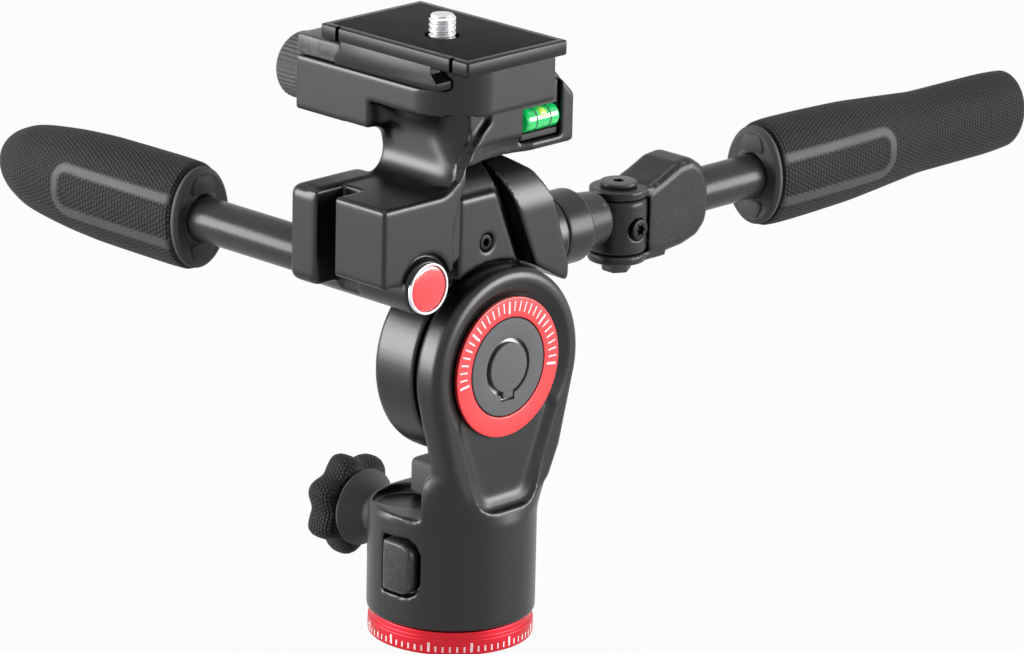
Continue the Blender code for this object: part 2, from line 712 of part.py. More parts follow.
def make_body():
    """Main casting with all that is cut out of it."""
    sections = [circle_section(BODY_RADIUS - EDGE, BODY_BOTTOM),
                circle_section(BODY_RADIUS, BODY_BOTTOM + EDGE)]
    sections += [shoulder_section(i / SHOULDER_STEPS) for i in range(SHOULDER_STEPS + 1)]
    body = loft("body_casting", sections, BLACK_PAINT, PAN, (0.0, 0.0, 0.0))
    paddle = outline("paddle", paddle_points(), PADDLE_FACE - PADDLE_BACK, None, PAN,
                     ((PADDLE_BACK + PADDLE_FACE) / 2, 0.0, 0.0), SIDE_PLANE, PADDLE_EDGE)
    combine(body, [paddle], "UNION")
    bush_bore = SPINDLE_RADIUS + BUSH_WALL + GAP + RUNNING_GAP
    head_bore = AXLE_HEAD_RADIUS + GAP
    cuts = [
        turned("mark_recess", [
            (0.0, OVERRUN), (RECESS_RADIUS + OVERRUN, OVERRUN), (RECESS_RADIUS, 0.0),
            (RECESS_FLOOR_RADIUS, -RECESS_DEPTH), (head_bore, -RECESS_DEPTH),
            (head_bore, -RECESS_DEPTH - AXLE_HEAD_THICKNESS - 2 * GAP),
            (AXLE_RADIUS + GAP, -RECESS_DEPTH - AXLE_HEAD_THICKNESS - 2 * GAP),
            (AXLE_RADIUS + GAP, -PADDLE_FACE), (0.0, -PADDLE_FACE)], None, PAN,
            (PADDLE_FACE, 0.0, TILT_HEIGHT), TO_X, BODY_STEPS),
        loft("field", [field_section(0.0, PADDLE_FACE - RECESS_DEPTH),
                       field_section(FIELD_SLOPE, PADDLE_FACE),
                       field_section(FIELD_SLOPE, PADDLE_FACE + BODY_RADIUS)], None, PAN, (0.0, 0.0, 0.0)),
        pad_shape("pad_pocket", None, PAD_RECESS, PAD_SEAT - GAP, BODY_RADIUS + OVERRUN),
        turned("spindle_cavity", [
            (0.0, SPINDLE_TOP + EDGE), (bush_bore, SPINDLE_TOP + EDGE), (bush_bore, CAVITY_TOP),
            (CAVITY_RADIUS, CAVITY_TOP), (CAVITY_RADIUS, BODY_BOTTOM - OVERRUN),
            (0.0, BODY_BOTTOM - OVERRUN)], None, PAN, (0.0, 0.0, 0.0), steps=BODY_STEPS),
        rod("lock_bore", LOCK_BORE_RADIUS, SPINDLE_RADIUS, BODY_RADIUS + OVERRUN, None, PAN,
            (0.0, 0.0, LOCK_HEIGHT), (0.0, -math.pi / 2, 0.0), edge=0.0, steps=LOCK_BORE_STEPS),
        rod("scoop", SCOOP_RADIUS, SCOOP_FLOOR, SHOULDER_TOP + OVERRUN, None, PAN, (SCOOP_X, SCOOP_Y, 0.0),
            steps=SCOOP_STEPS),
        box("stop_pocket", (STOP_X - STOP_LENGTH / 2 - GAP, STOP_Y - STOP_DEPTH / 2 - GAP, STOP_FLOOR - GAP),
            (STOP_X + STOP_LENGTH / 2 + GAP, STOP_Y + STOP_DEPTH / 2 + GAP, SHOULDER_TOP + OVERRUN), None,
            PAN),
    ]
    combine(body, cuts)
    smooth_guard(body)


def smooth_guard(made):
    """Flat and round stretches of a cast piece keep a crisp edge between them."""
    split = made.modifiers.new("weighted", "WEIGHTED_NORMAL")
    split.keep_sharp = True


def pad_shape(name, look, grow, seat, face):
    """The D shaped pad on the front of the cylinder, or its pocket."""
    half_width, half_height = PAD_HALF_WIDTH + grow, PAD_HALF_HEIGHT + grow
    corner = min(half_width, half_height) * PAD_CORNER_SHARE
    points = [(-half_width, -half_height), (half_width - corner, -half_height)]
    points += arc(half_width - corner, corner - half_height, corner, -90.0, 0.0, 5)[1:]
    points += arc(half_width - corner, half_height - corner, corner, 0.0, 90.0, 5)
    points += [(-half_width, half_height)]
    return outline(name, points, face - seat, look, PAN,
                   (PAD_X, -(face + seat) / 2, PAD_HEIGHT), FRONT_PLANE, EDGE if look else 0.0)


def make_pan_parts():
    """What sits inside the cylinder, and the pad and stop on it."""
    bush_radius = SPINDLE_RADIUS + BUSH_WALL + RUNNING_GAP
    bore = SPINDLE_RADIUS + RUNNING_GAP
    turned("pan_retaining_ring", ring_profile(CAVITY_RADIUS - GAP, SPINDLE_HUB_RADIUS + RUNNING_GAP,
                                              RETAINER_BOTTOM, RETAINER_TOP), STEEL, PAN, (0.0, 0.0, 0.0),
           closed=True)
    turned("pan_drag_cartridge", ring_profile(CAVITY_RADIUS - GAP, bore, CARTRIDGE_BOTTOM, CAVITY_TOP - GAP),
           BLACK_ALUMINIUM, PAN, (0.0, 0.0, 0.0), closed=True)
    turned("pan_bush", ring_profile(bush_radius, bore, CAVITY_TOP, SPINDLE_TOP), BRONZE, PAN, (0.0, 0.0, 0.0),
           closed=True)
    rod("pan_brake_shoe", LOCK_BORE_RADIUS - GAP, SHOE_TIP + GAP, SHOE_TIP + SHOE_LENGTH, NYLON, PAN,
        (0.0, 0.0, LOCK_HEIGHT), (0.0, -math.pi / 2, 0.0))
    pad_shape("front_pad", BLACK_PAINT, 0.0, PAD_SEAT, PAD_FACE)
    box("tilt_stop", (STOP_X - STOP_LENGTH / 2, STOP_Y - STOP_DEPTH / 2, STOP_FLOOR),
        (STOP_X + STOP_LENGTH / 2, STOP_Y + STOP_DEPTH / 2, STOP_TOP), BLACK_PLASTIC, PAN, SOFT_EDGE)


def lobed_section(radius, height):
    """One lobed section of the pan lock knob."""
    points = []
    for i in range(LOCK_LOBES * LOBE_POINTS):
        angle = 2 * math.pi * i / (LOCK_LOBES * LOBE_POINTS)
        reach = radius + LOCK_KNOB_LOBE * math.cos(LOCK_LOBES * angle)
        points.append((height, reach * math.cos(angle), reach * math.sin(angle)))
    return points


def make_pan_lock():
    """Lobed knob, its hub and the bolt that drives the brake shoe."""
    place = (0.0, 0.0, LOCK_HEIGHT)
    outward = (0.0, -math.pi / 2, 0.0)
    rod("pan_lock_bolt", LOCK_BOLT_RADIUS, SHOE_TIP + SHOE_LENGTH + GAP, LOCK_HUB_END - OVERRUN, STEEL, LOCK,
        place, outward)
    hub = turned("pan_knob_hub", [
        (0.0, LOCK_HUB_END), (LOCK_HUB_FLARE, LOCK_HUB_END), (LOCK_HUB_FLARE, LOCK_HUB_END - EDGE),
        (LOCK_HUB_RADIUS, LOCK_HUB_END - (LOCK_HUB_END - LOCK_HUB_START) / 2),
        (LOCK_HUB_RADIUS, LOCK_HUB_START), (0.0, LOCK_HUB_START)], BLACK_PLASTIC, LOCK, place, outward,
        steps=MEDIUM_STEPS)
    combine(hub, [rod("lock_bolt_hole", LOCK_BOLT_RADIUS + GAP, LOCK_HUB_START - OVERRUN,
                      LOCK_HUB_END - OVERRUN + GAP, None, LOCK, place, outward, edge=0.0)])
    start, end = -LOCK_HUB_END - GAP, -LOCK_KNOB_END
    inset = 2 * SOFT_EDGE
    sections = [
        lobed_section(LOCK_KNOB_RADIUS - inset, end), lobed_section(LOCK_KNOB_RADIUS, end + inset),
        lobed_section(LOCK_KNOB_RADIUS, start - inset), lobed_section(LOCK_KNOB_RADIUS - inset, start)]
    loft("pan_lock_knob", sections, RUBBER, LOCK, place)


def key_slot(name, half_width, reach, low, high):
    """Cutter or guide for the key at the bottom of the centre cap."""
    return box(name, (PADDLE_FACE + low, -half_width, TILT_HEIGHT - reach),
               (PADDLE_FACE + high, half_width, TILT_HEIGHT), None, PAN)


def make_tilt_face():
    """Red ring, grey disc and keyed cap on the paddle, with the axle behind them."""
    place = (PADDLE_FACE, 0.0, TILT_HEIGHT)
    floor = -RECESS_DEPTH + GAP
    turned("tilt_mark_ring", ring_profile(MARK_RING_RADIUS, MARK_RING_BORE, floor, floor + MARK_THICKNESS),
           RED_GLOSS, PAN, place, TO_X, closed=True)
    disc = turned("tilt_face_disc", ring_profile(MARK_RING_BORE - GAP, FACE_DISC_BORE, floor,
                                                 floor + MARK_THICKNESS, GAP), GREY_PLASTIC, PAN, place, TO_X,
                  closed=True)
    combine(disc, [key_slot("key_slot", KEY_HALF_WIDTH + KEY_GAP, CAP_RADIUS + KEY_REACH + KEY_GAP,
                            -OVERRUN, OVERRUN)])
    cap = turned("tilt_cap", disc_profile(CAP_RADIUS, floor, floor + CAP_THICKNESS, GAP), GREY_PLASTIC, PAN,
                 place, TO_X)
    combine(cap, [key_slot("cap_key", KEY_HALF_WIDTH, CAP_RADIUS + KEY_REACH, floor, floor + CAP_THICKNESS)],
            "UNION")
    head_top = -RECESS_DEPTH
    head_low = head_top - AXLE_HEAD_THICKNESS
    end = AXLE_END - PADDLE_FACE
    turned("tilt_axle", [
        (0.0, head_top), (AXLE_HEAD_RADIUS, head_top), (AXLE_HEAD_RADIUS, head_low), (AXLE_RADIUS, head_low),
        (AXLE_RADIUS, DRUM_BACK + DRUM_END_WALL / 2 - PADDLE_FACE),
        (AXLE_END_RADIUS, DRUM_BACK + DRUM_END_WALL / 2 - PADDLE_FACE), (AXLE_END_RADIUS, end),
        (0.0, end)], STEEL, PAN, place, TO_X)
    turned("tilt_axle_nut", ring_profile(NUT_RADIUS, NUT_BORE_RADIUS, 0.0, NUT_THICKNESS), STEEL, PAN,
           (DRUM_BACK + GAP, 0.0, TILT_HEIGHT), TO_X, steps=NUT_SIDES, closed=True)
    rotor_low = DRUM_BACK + DRUM_END_WALL + GAP
    turned("tilt_drag_rotor", ring_profile(DRUM_RADIUS - DRUM_WALL - 2 * GAP, AXLE_RADIUS + RUNNING_GAP,
                                           rotor_low, rotor_low + ROTOR_THICKNESS), STEEL, PAN,
           (0.0, 0.0, TILT_HEIGHT), TO_X, closed=True)


def carriage_points():
    """Side outline of the carriage, from inside the drum up to its top edge."""
    return [(CARRIAGE_FRONT, CARRIAGE_ROOT), (CARRIAGE_REAR_LOW + CARRIAGE_FLARE / 2, CARRIAGE_ROOT),
            (CARRIAGE_REAR_LOW, CARRIAGE_LOW), (CARRIAGE_REAR_TOP, CARRIAGE_TOP),
            (CARRIAGE_FRONT, CARRIAGE_TOP)]


def web_points():
    """Side outline of the narrower web that reaches the rear cover."""
    return [(0.0, CARRIAGE_ROOT), (CARRIAGE_REAR_LOW + CARRIAGE_FLARE / 2 + SLOT_WIDTH, CARRIAGE_ROOT),
            (CARRIAGE_REAR_LOW + SLOT_WIDTH, CARRIAGE_LOW), (CARRIAGE_REAR_TOP + SLOT_WIDTH, CARRIAGE_TOP),
            (0.0, CARRIAGE_TOP)]


def cover_points():
    """Side outline of the rear cover, parallel to the carriage's rear edge at its front."""
    front_low = CARRIAGE_REAR_LOW + SLOT_WIDTH + GAP
    front_top = CARRIAGE_REAR_TOP + SLOT_WIDTH + GAP
    lean = (front_low - front_top) / (CARRIAGE_TOP - CARRIAGE_LOW)
    return [(front_low + lean * (CARRIAGE_LOW - COVER_FOOT), COVER_FOOT),
            (COVER_LOW_REAR, COVER_LOW_HEIGHT - CARRIAGE_FLARE),
            (COVER_LOW_REAR, COVER_LOW_HEIGHT), (COVER_MID_REAR, COVER_MID_HEIGHT),
            ((COVER_MID_REAR + COVER_TOP_REAR) / 2 + SOFT_EDGE,
             (COVER_MID_HEIGHT + COVER_TOP) / 2 + SOFT_EDGE),
            (COVER_TOP_REAR, COVER_TOP), (front_top - lean * (COVER_TOP - CARRIAGE_TOP), COVER_TOP),
            (front_top, CARRIAGE_TOP)]


def arch_points(half_width, top, bottom):
    """Front outline with a round top, for rounding a carriage piece about the lateral pivot."""
    centre = top - half_width
    return ([(half_width, bottom)] + arc(0.0, centre, half_width, 0.0, 180.0, 16) + [(-half_width, bottom)])


def make_tilt_casting():
    """Drum and carriage in one casting."""
    axis = (0.0, 0.0, TILT_HEIGHT)
    drum = turned("tilt_casting", [
        (0.0, DRUM_FRONT), (DRUM_RADIUS - EDGE, DRUM_FRONT), (DRUM_RADIUS, DRUM_FRONT - EDGE),
        (DRUM_RADIUS, DRUM_BACK + DRUM_EDGE),
        (DRUM_RADIUS - DRUM_EDGE * ROUNDING_SHARE, DRUM_BACK + DRUM_EDGE * ROUNDING_SHARE),
        (DRUM_RADIUS - DRUM_EDGE, DRUM_BACK), (0.0, DRUM_BACK)], BLACK_PAINT, TILT, axis, TO_X)
    carriage = outline("carriage", carriage_points(), 2 * CARRIAGE_HALF_WIDTH, None, TILT, (0.0, 0.0, 0.0),
                       SIDE_PLANE, SOFT_EDGE)
    web = outline("web", web_points(), 2 * WEB_HALF_WIDTH, None, TILT, (0.0, 0.0, 0.0), SIDE_PLANE)
    barrel = turned("pivot_barrel", [
        (0.0, BARREL_REAR), (BARREL_RADIUS, BARREL_REAR),
        (BARREL_RADIUS, CARRIAGE_FRONT + BARREL_NOSE_LENGTH),
        (BARREL_NOSE_RADIUS, CARRIAGE_FRONT), (0.0, CARRIAGE_FRONT)], None, TILT, (0.0, 0.0, LATERAL_HEIGHT),
        TO_Y)
    combine(drum, [carriage, web, barrel], "UNION")
    inner = DRUM_RADIUS - DRUM_WALL
    clear = CARRIAGE_HALF_WIDTH + OVERRUN
    bush = AXLE_RADIUS + RUNNING_GAP + DRUM_BUSH_WALL + GAP
    cuts = [
        turned("drum_cavity", [
            (0.0, clear), (PADDLE_RADIUS + 2 * GAP, clear), (PADDLE_RADIUS + 2 * GAP, DRUM_FRONT),
            (inner, DRUM_FRONT), (inner, DRUM_BACK + DRUM_END_WALL), (bush, DRUM_BACK + DRUM_END_WALL),
            (bush, DRUM_BACK + DRUM_END_WALL / 2), (NUT_POCKET_RADIUS, DRUM_BACK + DRUM_END_WALL / 2),
            (NUT_POCKET_RADIUS, DRUM_BACK - OVERRUN), (0.0, DRUM_BACK - OVERRUN)], None, TILT, axis, TO_X),
        turned("shaft_bore", [
            (0.0, BARREL_REAR + OVERRUN), (SHAFT_HUB_RADIUS + GAP, BARREL_REAR + OVERRUN),
            (SHAFT_HUB_RADIUS + GAP, SHAFT_HUB_FRONT - GAP), (SHAFT_RADIUS + GAP, SHAFT_HUB_FRONT - GAP),
            (SHAFT_RADIUS + GAP, CARRIAGE_FRONT - OVERRUN), (0.0, CARRIAGE_FRONT - OVERRUN)], None, TILT,
            (0.0, 0.0, LATERAL_HEIGHT), TO_Y, steps=MEDIUM_STEPS),
        rod("set_screw_hole", SET_SCREW_RADIUS + GAP, SHAFT_HUB_RADIUS / 2, BARREL_RADIUS + OVERRUN, None,
            TILT, (0.0, SET_SCREW_Y, SET_SCREW_HEIGHT), TO_X, edge=0.0),
        rod("rod_hole", BRAKE_ROD_RADIUS + GAP, 0.0, COVER_LOW_REAR, None, TILT, (0.0, 0.0, REAR_HEIGHT),
            TO_Y, edge=0.0),
    ]
    combine(drum, cuts)
    smooth_guard(drum)


def make_tilt_parts():
    """Bush, drag housing, seal and end cap of the drum."""
    axis = (0.0, 0.0, TILT_HEIGHT)
    inner = DRUM_RADIUS - DRUM_WALL - GAP
    bush_low = DRUM_BACK + DRUM_END_WALL / 2 + GAP
    bush_high = DRUM_BACK + DRUM_END_WALL
    bush_bore = AXLE_RADIUS + RUNNING_GAP
    turned("tilt_bush", ring_profile(bush_bore + DRUM_BUSH_WALL, bush_bore, bush_low, bush_high), BRONZE,
           TILT, axis, TO_X, closed=True)
    rotor_high = DRUM_BACK + DRUM_END_WALL + GAP + ROTOR_THICKNESS
    seal_low = DRUM_FRONT - SEAL_THICKNESS
    turned("tilt_drag_housing", ring_profile(inner, DRAG_BORE, rotor_high + GAP, seal_low - GAP),
           BLACK_ALUMINIUM, TILT, axis, TO_X, closed=True)
    turned("tilt_seal", ring_profile(inner, SEAL_BORE, seal_low, DRUM_FRONT - GAP / 2), RUBBER, TILT, axis,
           TO_X, closed=True)
    back = DRUM_BACK - GAP
    turned("drum_end_cap", [
        (0.0, back), (END_CAP_RADIUS, back), (END_CAP_RADIUS, back - EDGE),
        (END_CAP_RADIUS - SOFT_EDGE, back - END_CAP_RISE), (0.0, back - END_CAP_RISE - EDGE)],
        BLACK_PLASTIC, TILT, axis, TO_X)


def make_rear_cover():
    """Rear cover of the carriage, with the boss for the rear handle."""
    cover = outline("carriage_rear_cover", cover_points(), 2 * COVER_HALF_WIDTH, BLACK_PAINT, TILT,
                    (0.0, 0.0, 0.0), SIDE_PLANE)
    arch = outline("cover_arch", arch_points(COVER_HALF_WIDTH, COVER_TOP, TILT_HEIGHT), 2 * COVER_LOW_REAR,
                   None, TILT, (0.0, COVER_LOW_REAR, 0.0), FRONT_PLANE)
    combine(cover, [arch], "INTERSECT")
    boss = rod("handle_boss", HANDLE_BOSS_RADIUS, HANDLE_BOSS_START, HANDLE_BOSS_END - GAP, None, TILT,
               (0.0, 0.0, REAR_HEIGHT), TO_Y, steps=ROUND_STEPS)
    combine(cover, [boss], "UNION")
    combine(cover, [
        rod("cover_rod_hole", BRAKE_ROD_RADIUS + GAP, 0.0, HANDLE_BOSS_END + OVERRUN, None, TILT,
            (0.0, 0.0, REAR_HEIGHT), TO_Y, edge=0.0)])
    rod("tilt_brake_rod", BRAKE_ROD_RADIUS, BRAKE_ROD_START, HANDLE_BOSS_END - GAP, STEEL, TILT,
        (0.0, 0.0, REAR_HEIGHT), TO_Y)


def make_pivot():
    """Lateral pivot shaft, held in the carriage by the set screw."""
    turned("lateral_shaft", [
        (0.0, SHAFT_HUB_REAR), (SHAFT_HUB_RADIUS - EDGE, SHAFT_HUB_REAR),
        (SHAFT_HUB_RADIUS, SHAFT_HUB_REAR - EDGE), (SHAFT_HUB_RADIUS, SHAFT_HUB_FRONT),
        (SHAFT_RADIUS, SHAFT_HUB_FRONT), (SHAFT_RADIUS, SHAFT_FRONT + EDGE),
        (SHAFT_RADIUS - EDGE, SHAFT_FRONT), (0.0, SHAFT_FRONT)], STEEL, TILT, (0.0, 0.0, LATERAL_HEIGHT),
        TO_Y, steps=MEDIUM_STEPS)
    drop = LATERAL_HEIGHT - SET_SCREW_HEIGHT
    seat = math.sqrt(SHAFT_HUB_RADIUS ** 2 - (drop - SET_SCREW_RADIUS) ** 2) + GAP
    screw = rod("side_set_screw", SET_SCREW_RADIUS, seat, CARRIAGE_HALF_WIDTH - SET_SCREW_SINK, STEEL, TILT,
                (0.0, SET_SCREW_Y, SET_SCREW_HEIGHT), TO_X, edge=GAP, steps=SMALL_STEPS)
    combine(screw, [rod("set_screw_socket", SET_SCREW_SOCKET, CARRIAGE_HALF_WIDTH - SET_SCREW_LENGTH / 2,
                        CARRIAGE_HALF_WIDTH + OVERRUN, None, TILT, (0.0, SET_SCREW_Y, SET_SCREW_HEIGHT), TO_X,
                        edge=0.0, steps=SOCKET_SIDES)])


def core_points():
    """Side outline of the platform's core: block, neck and arm."""
    top = BED_TOP - GAP
    return [(BLOCK_FRONT, BLOCK_BOTTOM), (BLOCK_BACK, BLOCK_BOTTOM), (NECK_BACK, NECK_FOOT),
            (NECK_BACK, ARM_BOTTOM), (ARM_BACK, ARM_BOTTOM), (ARM_BACK, top - ARM_CHAMFER),
            (ARM_BACK - ARM_CHAMFER, top), (NECK_FRONT, top)] + arc(
                NECK_FRONT - NECK_FILLET, BLOCK_TOP + NECK_FILLET, NECK_FILLET, 0.0, -90.0, 6) + [
            (BLOCK_FRONT, BLOCK_TOP)]


def ribbon_front_points():
    """What is cut back beside the neck, in front of the ribbon on the right."""
    return list(RIBBON_FRONT_OUTLINE) + [(BLOCK_FRONT + BLOCK_EDGE, RIBBON_FRONT_OUTLINE[-1][1]),
                                         (BLOCK_FRONT + BLOCK_EDGE, SLAB_BOTTOM + EDGE),
                                         (RIBBON_FRONT_OUTLINE[0][0], SLAB_BOTTOM + EDGE)]


def ribbon_back_points():
    """What is cut back behind the ribbon on the right."""
    low = FLANGE_BOTTOM
    return [(BLOCK_BACK, low)] + list(RIBBON_BACK_OUTLINE) + [(0.0, ARM_BOTTOM - BLOCK_EDGE), (0.0, low)]


def rail_points(clearance):
    """Front outline of the plate's dovetail, grown by a clearance for the jaws around it."""
    neck_left = DOVETAIL_LEFT + DOVETAIL_UNDERCUT - clearance
    neck_right = DOVETAIL_RIGHT - DOVETAIL_UNDERCUT + clearance
    foot = BED_TOP + DOVETAIL_FOOT_HEIGHT
    shoulder = foot + DOVETAIL_UNDERCUT
    top = PLATE_BOTTOM + EDGE
    return [(DOVETAIL_LEFT - clearance, BED_TOP + GAP - clearance),
            (DOVETAIL_RIGHT + clearance, BED_TOP + GAP - clearance), (DOVETAIL_RIGHT + clearance, foot),
            (neck_right, shoulder), (neck_right, top), (neck_left, top), (neck_left, shoulder),
            (DOVETAIL_LEFT - clearance, foot)]


def bed_points():
    """Front outline of the clamp bed, with the housing of the clamp and the fixed jaw."""
    rail = rail_points(GAP)
    return [(BED_LEFT, BED_BOTTOM), (CLAMP_HOUSING_RIGHT, BED_BOTTOM), (CLAMP_HOUSING_RIGHT, SLAB_BOTTOM),
            (BED_RIGHT, SLAB_BOTTOM), (BED_RIGHT, JAW_TOP), (rail[3][0], JAW_TOP), rail[3], rail[2],
            (rail[2][0], BED_TOP), (BED_LEFT, BED_TOP)]


def make_platform():
    """Platform casting: block, neck, arm and clamp bed with its fixed jaw."""
    platform = outline("platform_casting", core_points(), PLATFORM_RIGHT - NECK_LEFT, BLACK_PAINT, LATERAL,
                       ((PLATFORM_RIGHT + NECK_LEFT) / 2, 0.0, 0.0), SIDE_PLANE, BLOCK_EDGE)
    bed = outline("bed", bed_points(), BED_BACK - BED_FRONT, None, LATERAL,
                  (0.0, (BED_BACK + BED_FRONT) / 2, 0.0), FRONT_PLANE, EDGE)
    flange = box("flange", (PLATFORM_LEFT, BLOCK_FRONT - GAP, FLANGE_BOTTOM),
                 (PLATFORM_LEFT + FLANGE_WIDTH, BLOCK_BACK - 2 * GAP, BLOCK_TOP + GAP), None, LATERAL,
                 FLANGE_EDGE)
    barrel = rod("bolt_barrel", BARREL_OUTER, BARREL_START, PLATFORM_RIGHT + GAP, None, LATERAL,
                 (0.0, SIDE_Y, SIDE_HEIGHT), TO_X, steps=MEDIUM_STEPS)
    combine(platform, [bed, flange, barrel], "UNION")
    side = (PLATFORM_RIGHT + NECK_RIGHT) / 2 + OVERRUN / 2
    side_cut = PLATFORM_RIGHT - NECK_RIGHT + OVERRUN
    notch_left = PLATFORM_LEFT + FLANGE_WIDTH - BLOCK_EDGE
    cuts = [
        turned("badge_groove", ring_profile(BADGE_RECESS_RADIUS, BARREL_OUTER + GAP / 2,
                                            PLATFORM_RIGHT - BADGE_PROUD, PLATFORM_RIGHT + OVERRUN), None,
               LATERAL, (0.0, SIDE_Y, SIDE_HEIGHT), TO_X, steps=MEDIUM_STEPS, closed=True),
        outline("ribbon_front_cut", ribbon_front_points(), side_cut, None, LATERAL, (side, 0.0, 0.0),
                SIDE_PLANE),
        outline("ribbon_back_cut", ribbon_back_points(), side_cut, None, LATERAL, (side, 0.0, 0.0),
                SIDE_PLANE),
        box("notch", (notch_left, BLOCK_FRONT - OVERRUN, FLANGE_BOTTOM - OVERRUN),
            (notch_left + NOTCH_WIDTH, NOTCH_BACK, BLOCK_TOP + OVERRUN), None, LATERAL),
        turned("shaft_hole", [
            (0.0, -SHAFT_FRONT + GAP), (SHAFT_RADIUS + GAP, -SHAFT_FRONT + GAP),
            (SHAFT_RADIUS + GAP, -PIVOT_BUSH_FRONT + GAP),
            (SHAFT_RADIUS + RUNNING_GAP + PIVOT_BUSH_WALL + GAP, -PIVOT_BUSH_FRONT + GAP),
            (SHAFT_RADIUS + RUNNING_GAP + PIVOT_BUSH_WALL + GAP, -NECK_BACK - OVERRUN),
            (0.0, -NECK_BACK - OVERRUN)], None, LATERAL, (0.0, 0.0, LATERAL_HEIGHT), FRONT_PLANE,
            steps=MEDIUM_STEPS),
        rod("bolt_bore", SIDE_BOLT_RADIUS + RUNNING_GAP, BARREL_START - OVERRUN, BARREL_BORE_END, None,
            LATERAL, (0.0, SIDE_Y, SIDE_HEIGHT), TO_X, edge=0.0),
        rod("paddle_relief", PADDLE_RADIUS + GAP, ARM_BOTTOM - OVERRUN - SHAFT_RADIUS,
            LATERAL_HEIGHT + PADDLE_FACE + GAP, None, LATERAL, (LATERAL_HEIGHT - TILT_HEIGHT, 0.0, 0.0),
            edge=PADDLE_EDGE, steps=2 * MEDIUM_STEPS),
        box("level_window", (PLATFORM_RIGHT - WINDOW_DEPTH, WINDOW_FRONT, WINDOW_BOTTOM),
            (PLATFORM_RIGHT + OVERRUN, WINDOW_BACK, WINDOW_TOP), None, LATERAL),
        box("lug_cavity", (BED_LEFT + LUG_CAVITY_BACK, CLAMP_Y - LUG_DEPTH / 2 - GAP, LUG_BOTTOM - GAP),
            (LUG_LEFT + LUG_WIDTH + JAW_TRAVEL, CLAMP_Y + LUG_DEPTH / 2 + GAP, BED_TOP + OVERRUN), None,
            LATERAL),
        rod("clamp_bore", CLAMP_SCREW_RADIUS + GAP, BED_LEFT - OVERRUN, BED_LEFT + LUG_CAVITY_BACK + OVERRUN,
            None, LATERAL, (0.0, CLAMP_Y, CLAMP_HEIGHT), TO_X, edge=0.0),
    ]
    combine(platform, cuts)
    smooth_guard(platform)


def make_platform_parts():
    """Pivot bush, badge and bubble level."""
    bore = SHAFT_RADIUS + RUNNING_GAP
    bush = ring_profile(bore + PIVOT_BUSH_WALL, bore, -PIVOT_BUSH_FRONT, -NECK_BACK + GAP)
    turned("lateral_bush", bush[::-1], BRONZE, LATERAL, (0.0, 0.0, LATERAL_HEIGHT), FRONT_PLANE,
           steps=MEDIUM_STEPS, closed=True)
    badge = (PLATFORM_RIGHT, SIDE_Y, SIDE_HEIGHT)
    turned("badge_rim", ring_profile(BADGE_RADIUS, BADGE_RADIUS - BADGE_RIM, GAP, BADGE_RISE + GAP, GAP / 2),
           STEEL, LATERAL, badge, TO_X, steps=MEDIUM_STEPS, closed=True)
    inside = BADGE_RADIUS - BADGE_RIM - GAP / 2
    turned("badge_cap", [
        (0.0, BADGE_RISE + GAP), (inside * BADGE_DOME_SHARE, BADGE_RISE), (inside, BADGE_RISE - GAP),
        (inside, GAP), (0.0, GAP)], RED_GLOSS, LATERAL, badge, TO_X, steps=MEDIUM_STEPS)
    frame = box("level_frame", (PLATFORM_RIGHT - WINDOW_DEPTH + GAP, WINDOW_FRONT + GAP, WINDOW_BOTTOM + GAP),
                (PLATFORM_RIGHT - FRAME_THICKNESS, WINDOW_BACK - GAP, WINDOW_TOP - GAP), BLACK_PLASTIC,
                LATERAL, EDGE)
    vial_low, vial_high = VIAL_Y - VIAL_HALF_LENGTH, VIAL_Y + VIAL_HALF_LENGTH
    trough = rod("vial_trough", VIAL_RADIUS + GAP, vial_low - GAP, vial_high + GAP, None, LATERAL,
                 (VIAL_X, 0.0, VIAL_HEIGHT), TO_Y, edge=0.0)
    opening = box("vial_opening", (VIAL_X, vial_low - GAP, VIAL_HEIGHT - VIAL_RADIUS - GAP),
                  (PLATFORM_RIGHT + OVERRUN, vial_high + GAP, VIAL_HEIGHT + VIAL_RADIUS + GAP), None, LATERAL)
    combine(frame, [trough, opening])
    rod("level_vial", VIAL_RADIUS, vial_low, vial_high, GREEN_GLASS, LATERAL, (VIAL_X, 0.0, VIAL_HEIGHT),
        TO_Y)


def make_jaw():
    """Movable jaw with the lug that the clamp screw draws."""
    jaw = box("clamp_jaw", (JAW_LEFT, BED_FRONT, BED_TOP + GAP),
              (DOVETAIL_LEFT + DOVETAIL_UNDERCUT + EDGE, BED_BACK, JAW_TOP), BLACK_PAINT, JAW, RAIL_EDGE)
    lug = box("jaw_lug", (LUG_LEFT, CLAMP_Y - LUG_DEPTH / 2, LUG_BOTTOM),
              (LUG_LEFT + LUG_WIDTH, CLAMP_Y + LUG_DEPTH / 2, BED_TOP + 2 * EDGE), None, JAW)
    combine(jaw, [lug], "UNION")
    combine(jaw, [
        outline("jaw_rail_cut", rail_points(GAP), BED_BACK - BED_FRONT + 2 * OVERRUN, None, JAW,
                (0.0, (BED_BACK + BED_FRONT) / 2, 0.0), FRONT_PLANE),
        rod("lug_hole", CLAMP_SCREW_RADIUS + GAP, LUG_LEFT - OVERRUN, LUG_LEFT + LUG_WIDTH + OVERRUN, None,
            JAW, (0.0, CLAMP_Y, CLAMP_HEIGHT), TO_X, edge=0.0)])


def ribbed_section(radius, along):
    """One section of a knob with fine ribs, across the X axis."""
    points = []
    for i in range(CLAMP_RIBS * 2):
        angle = 2 * math.pi * i / (CLAMP_RIBS * 2)
        reach = radius - CLAMP_RIB_DEPTH * (i % 2)
        points.append((along, reach * math.cos(angle), reach * math.sin(angle)))
    return points


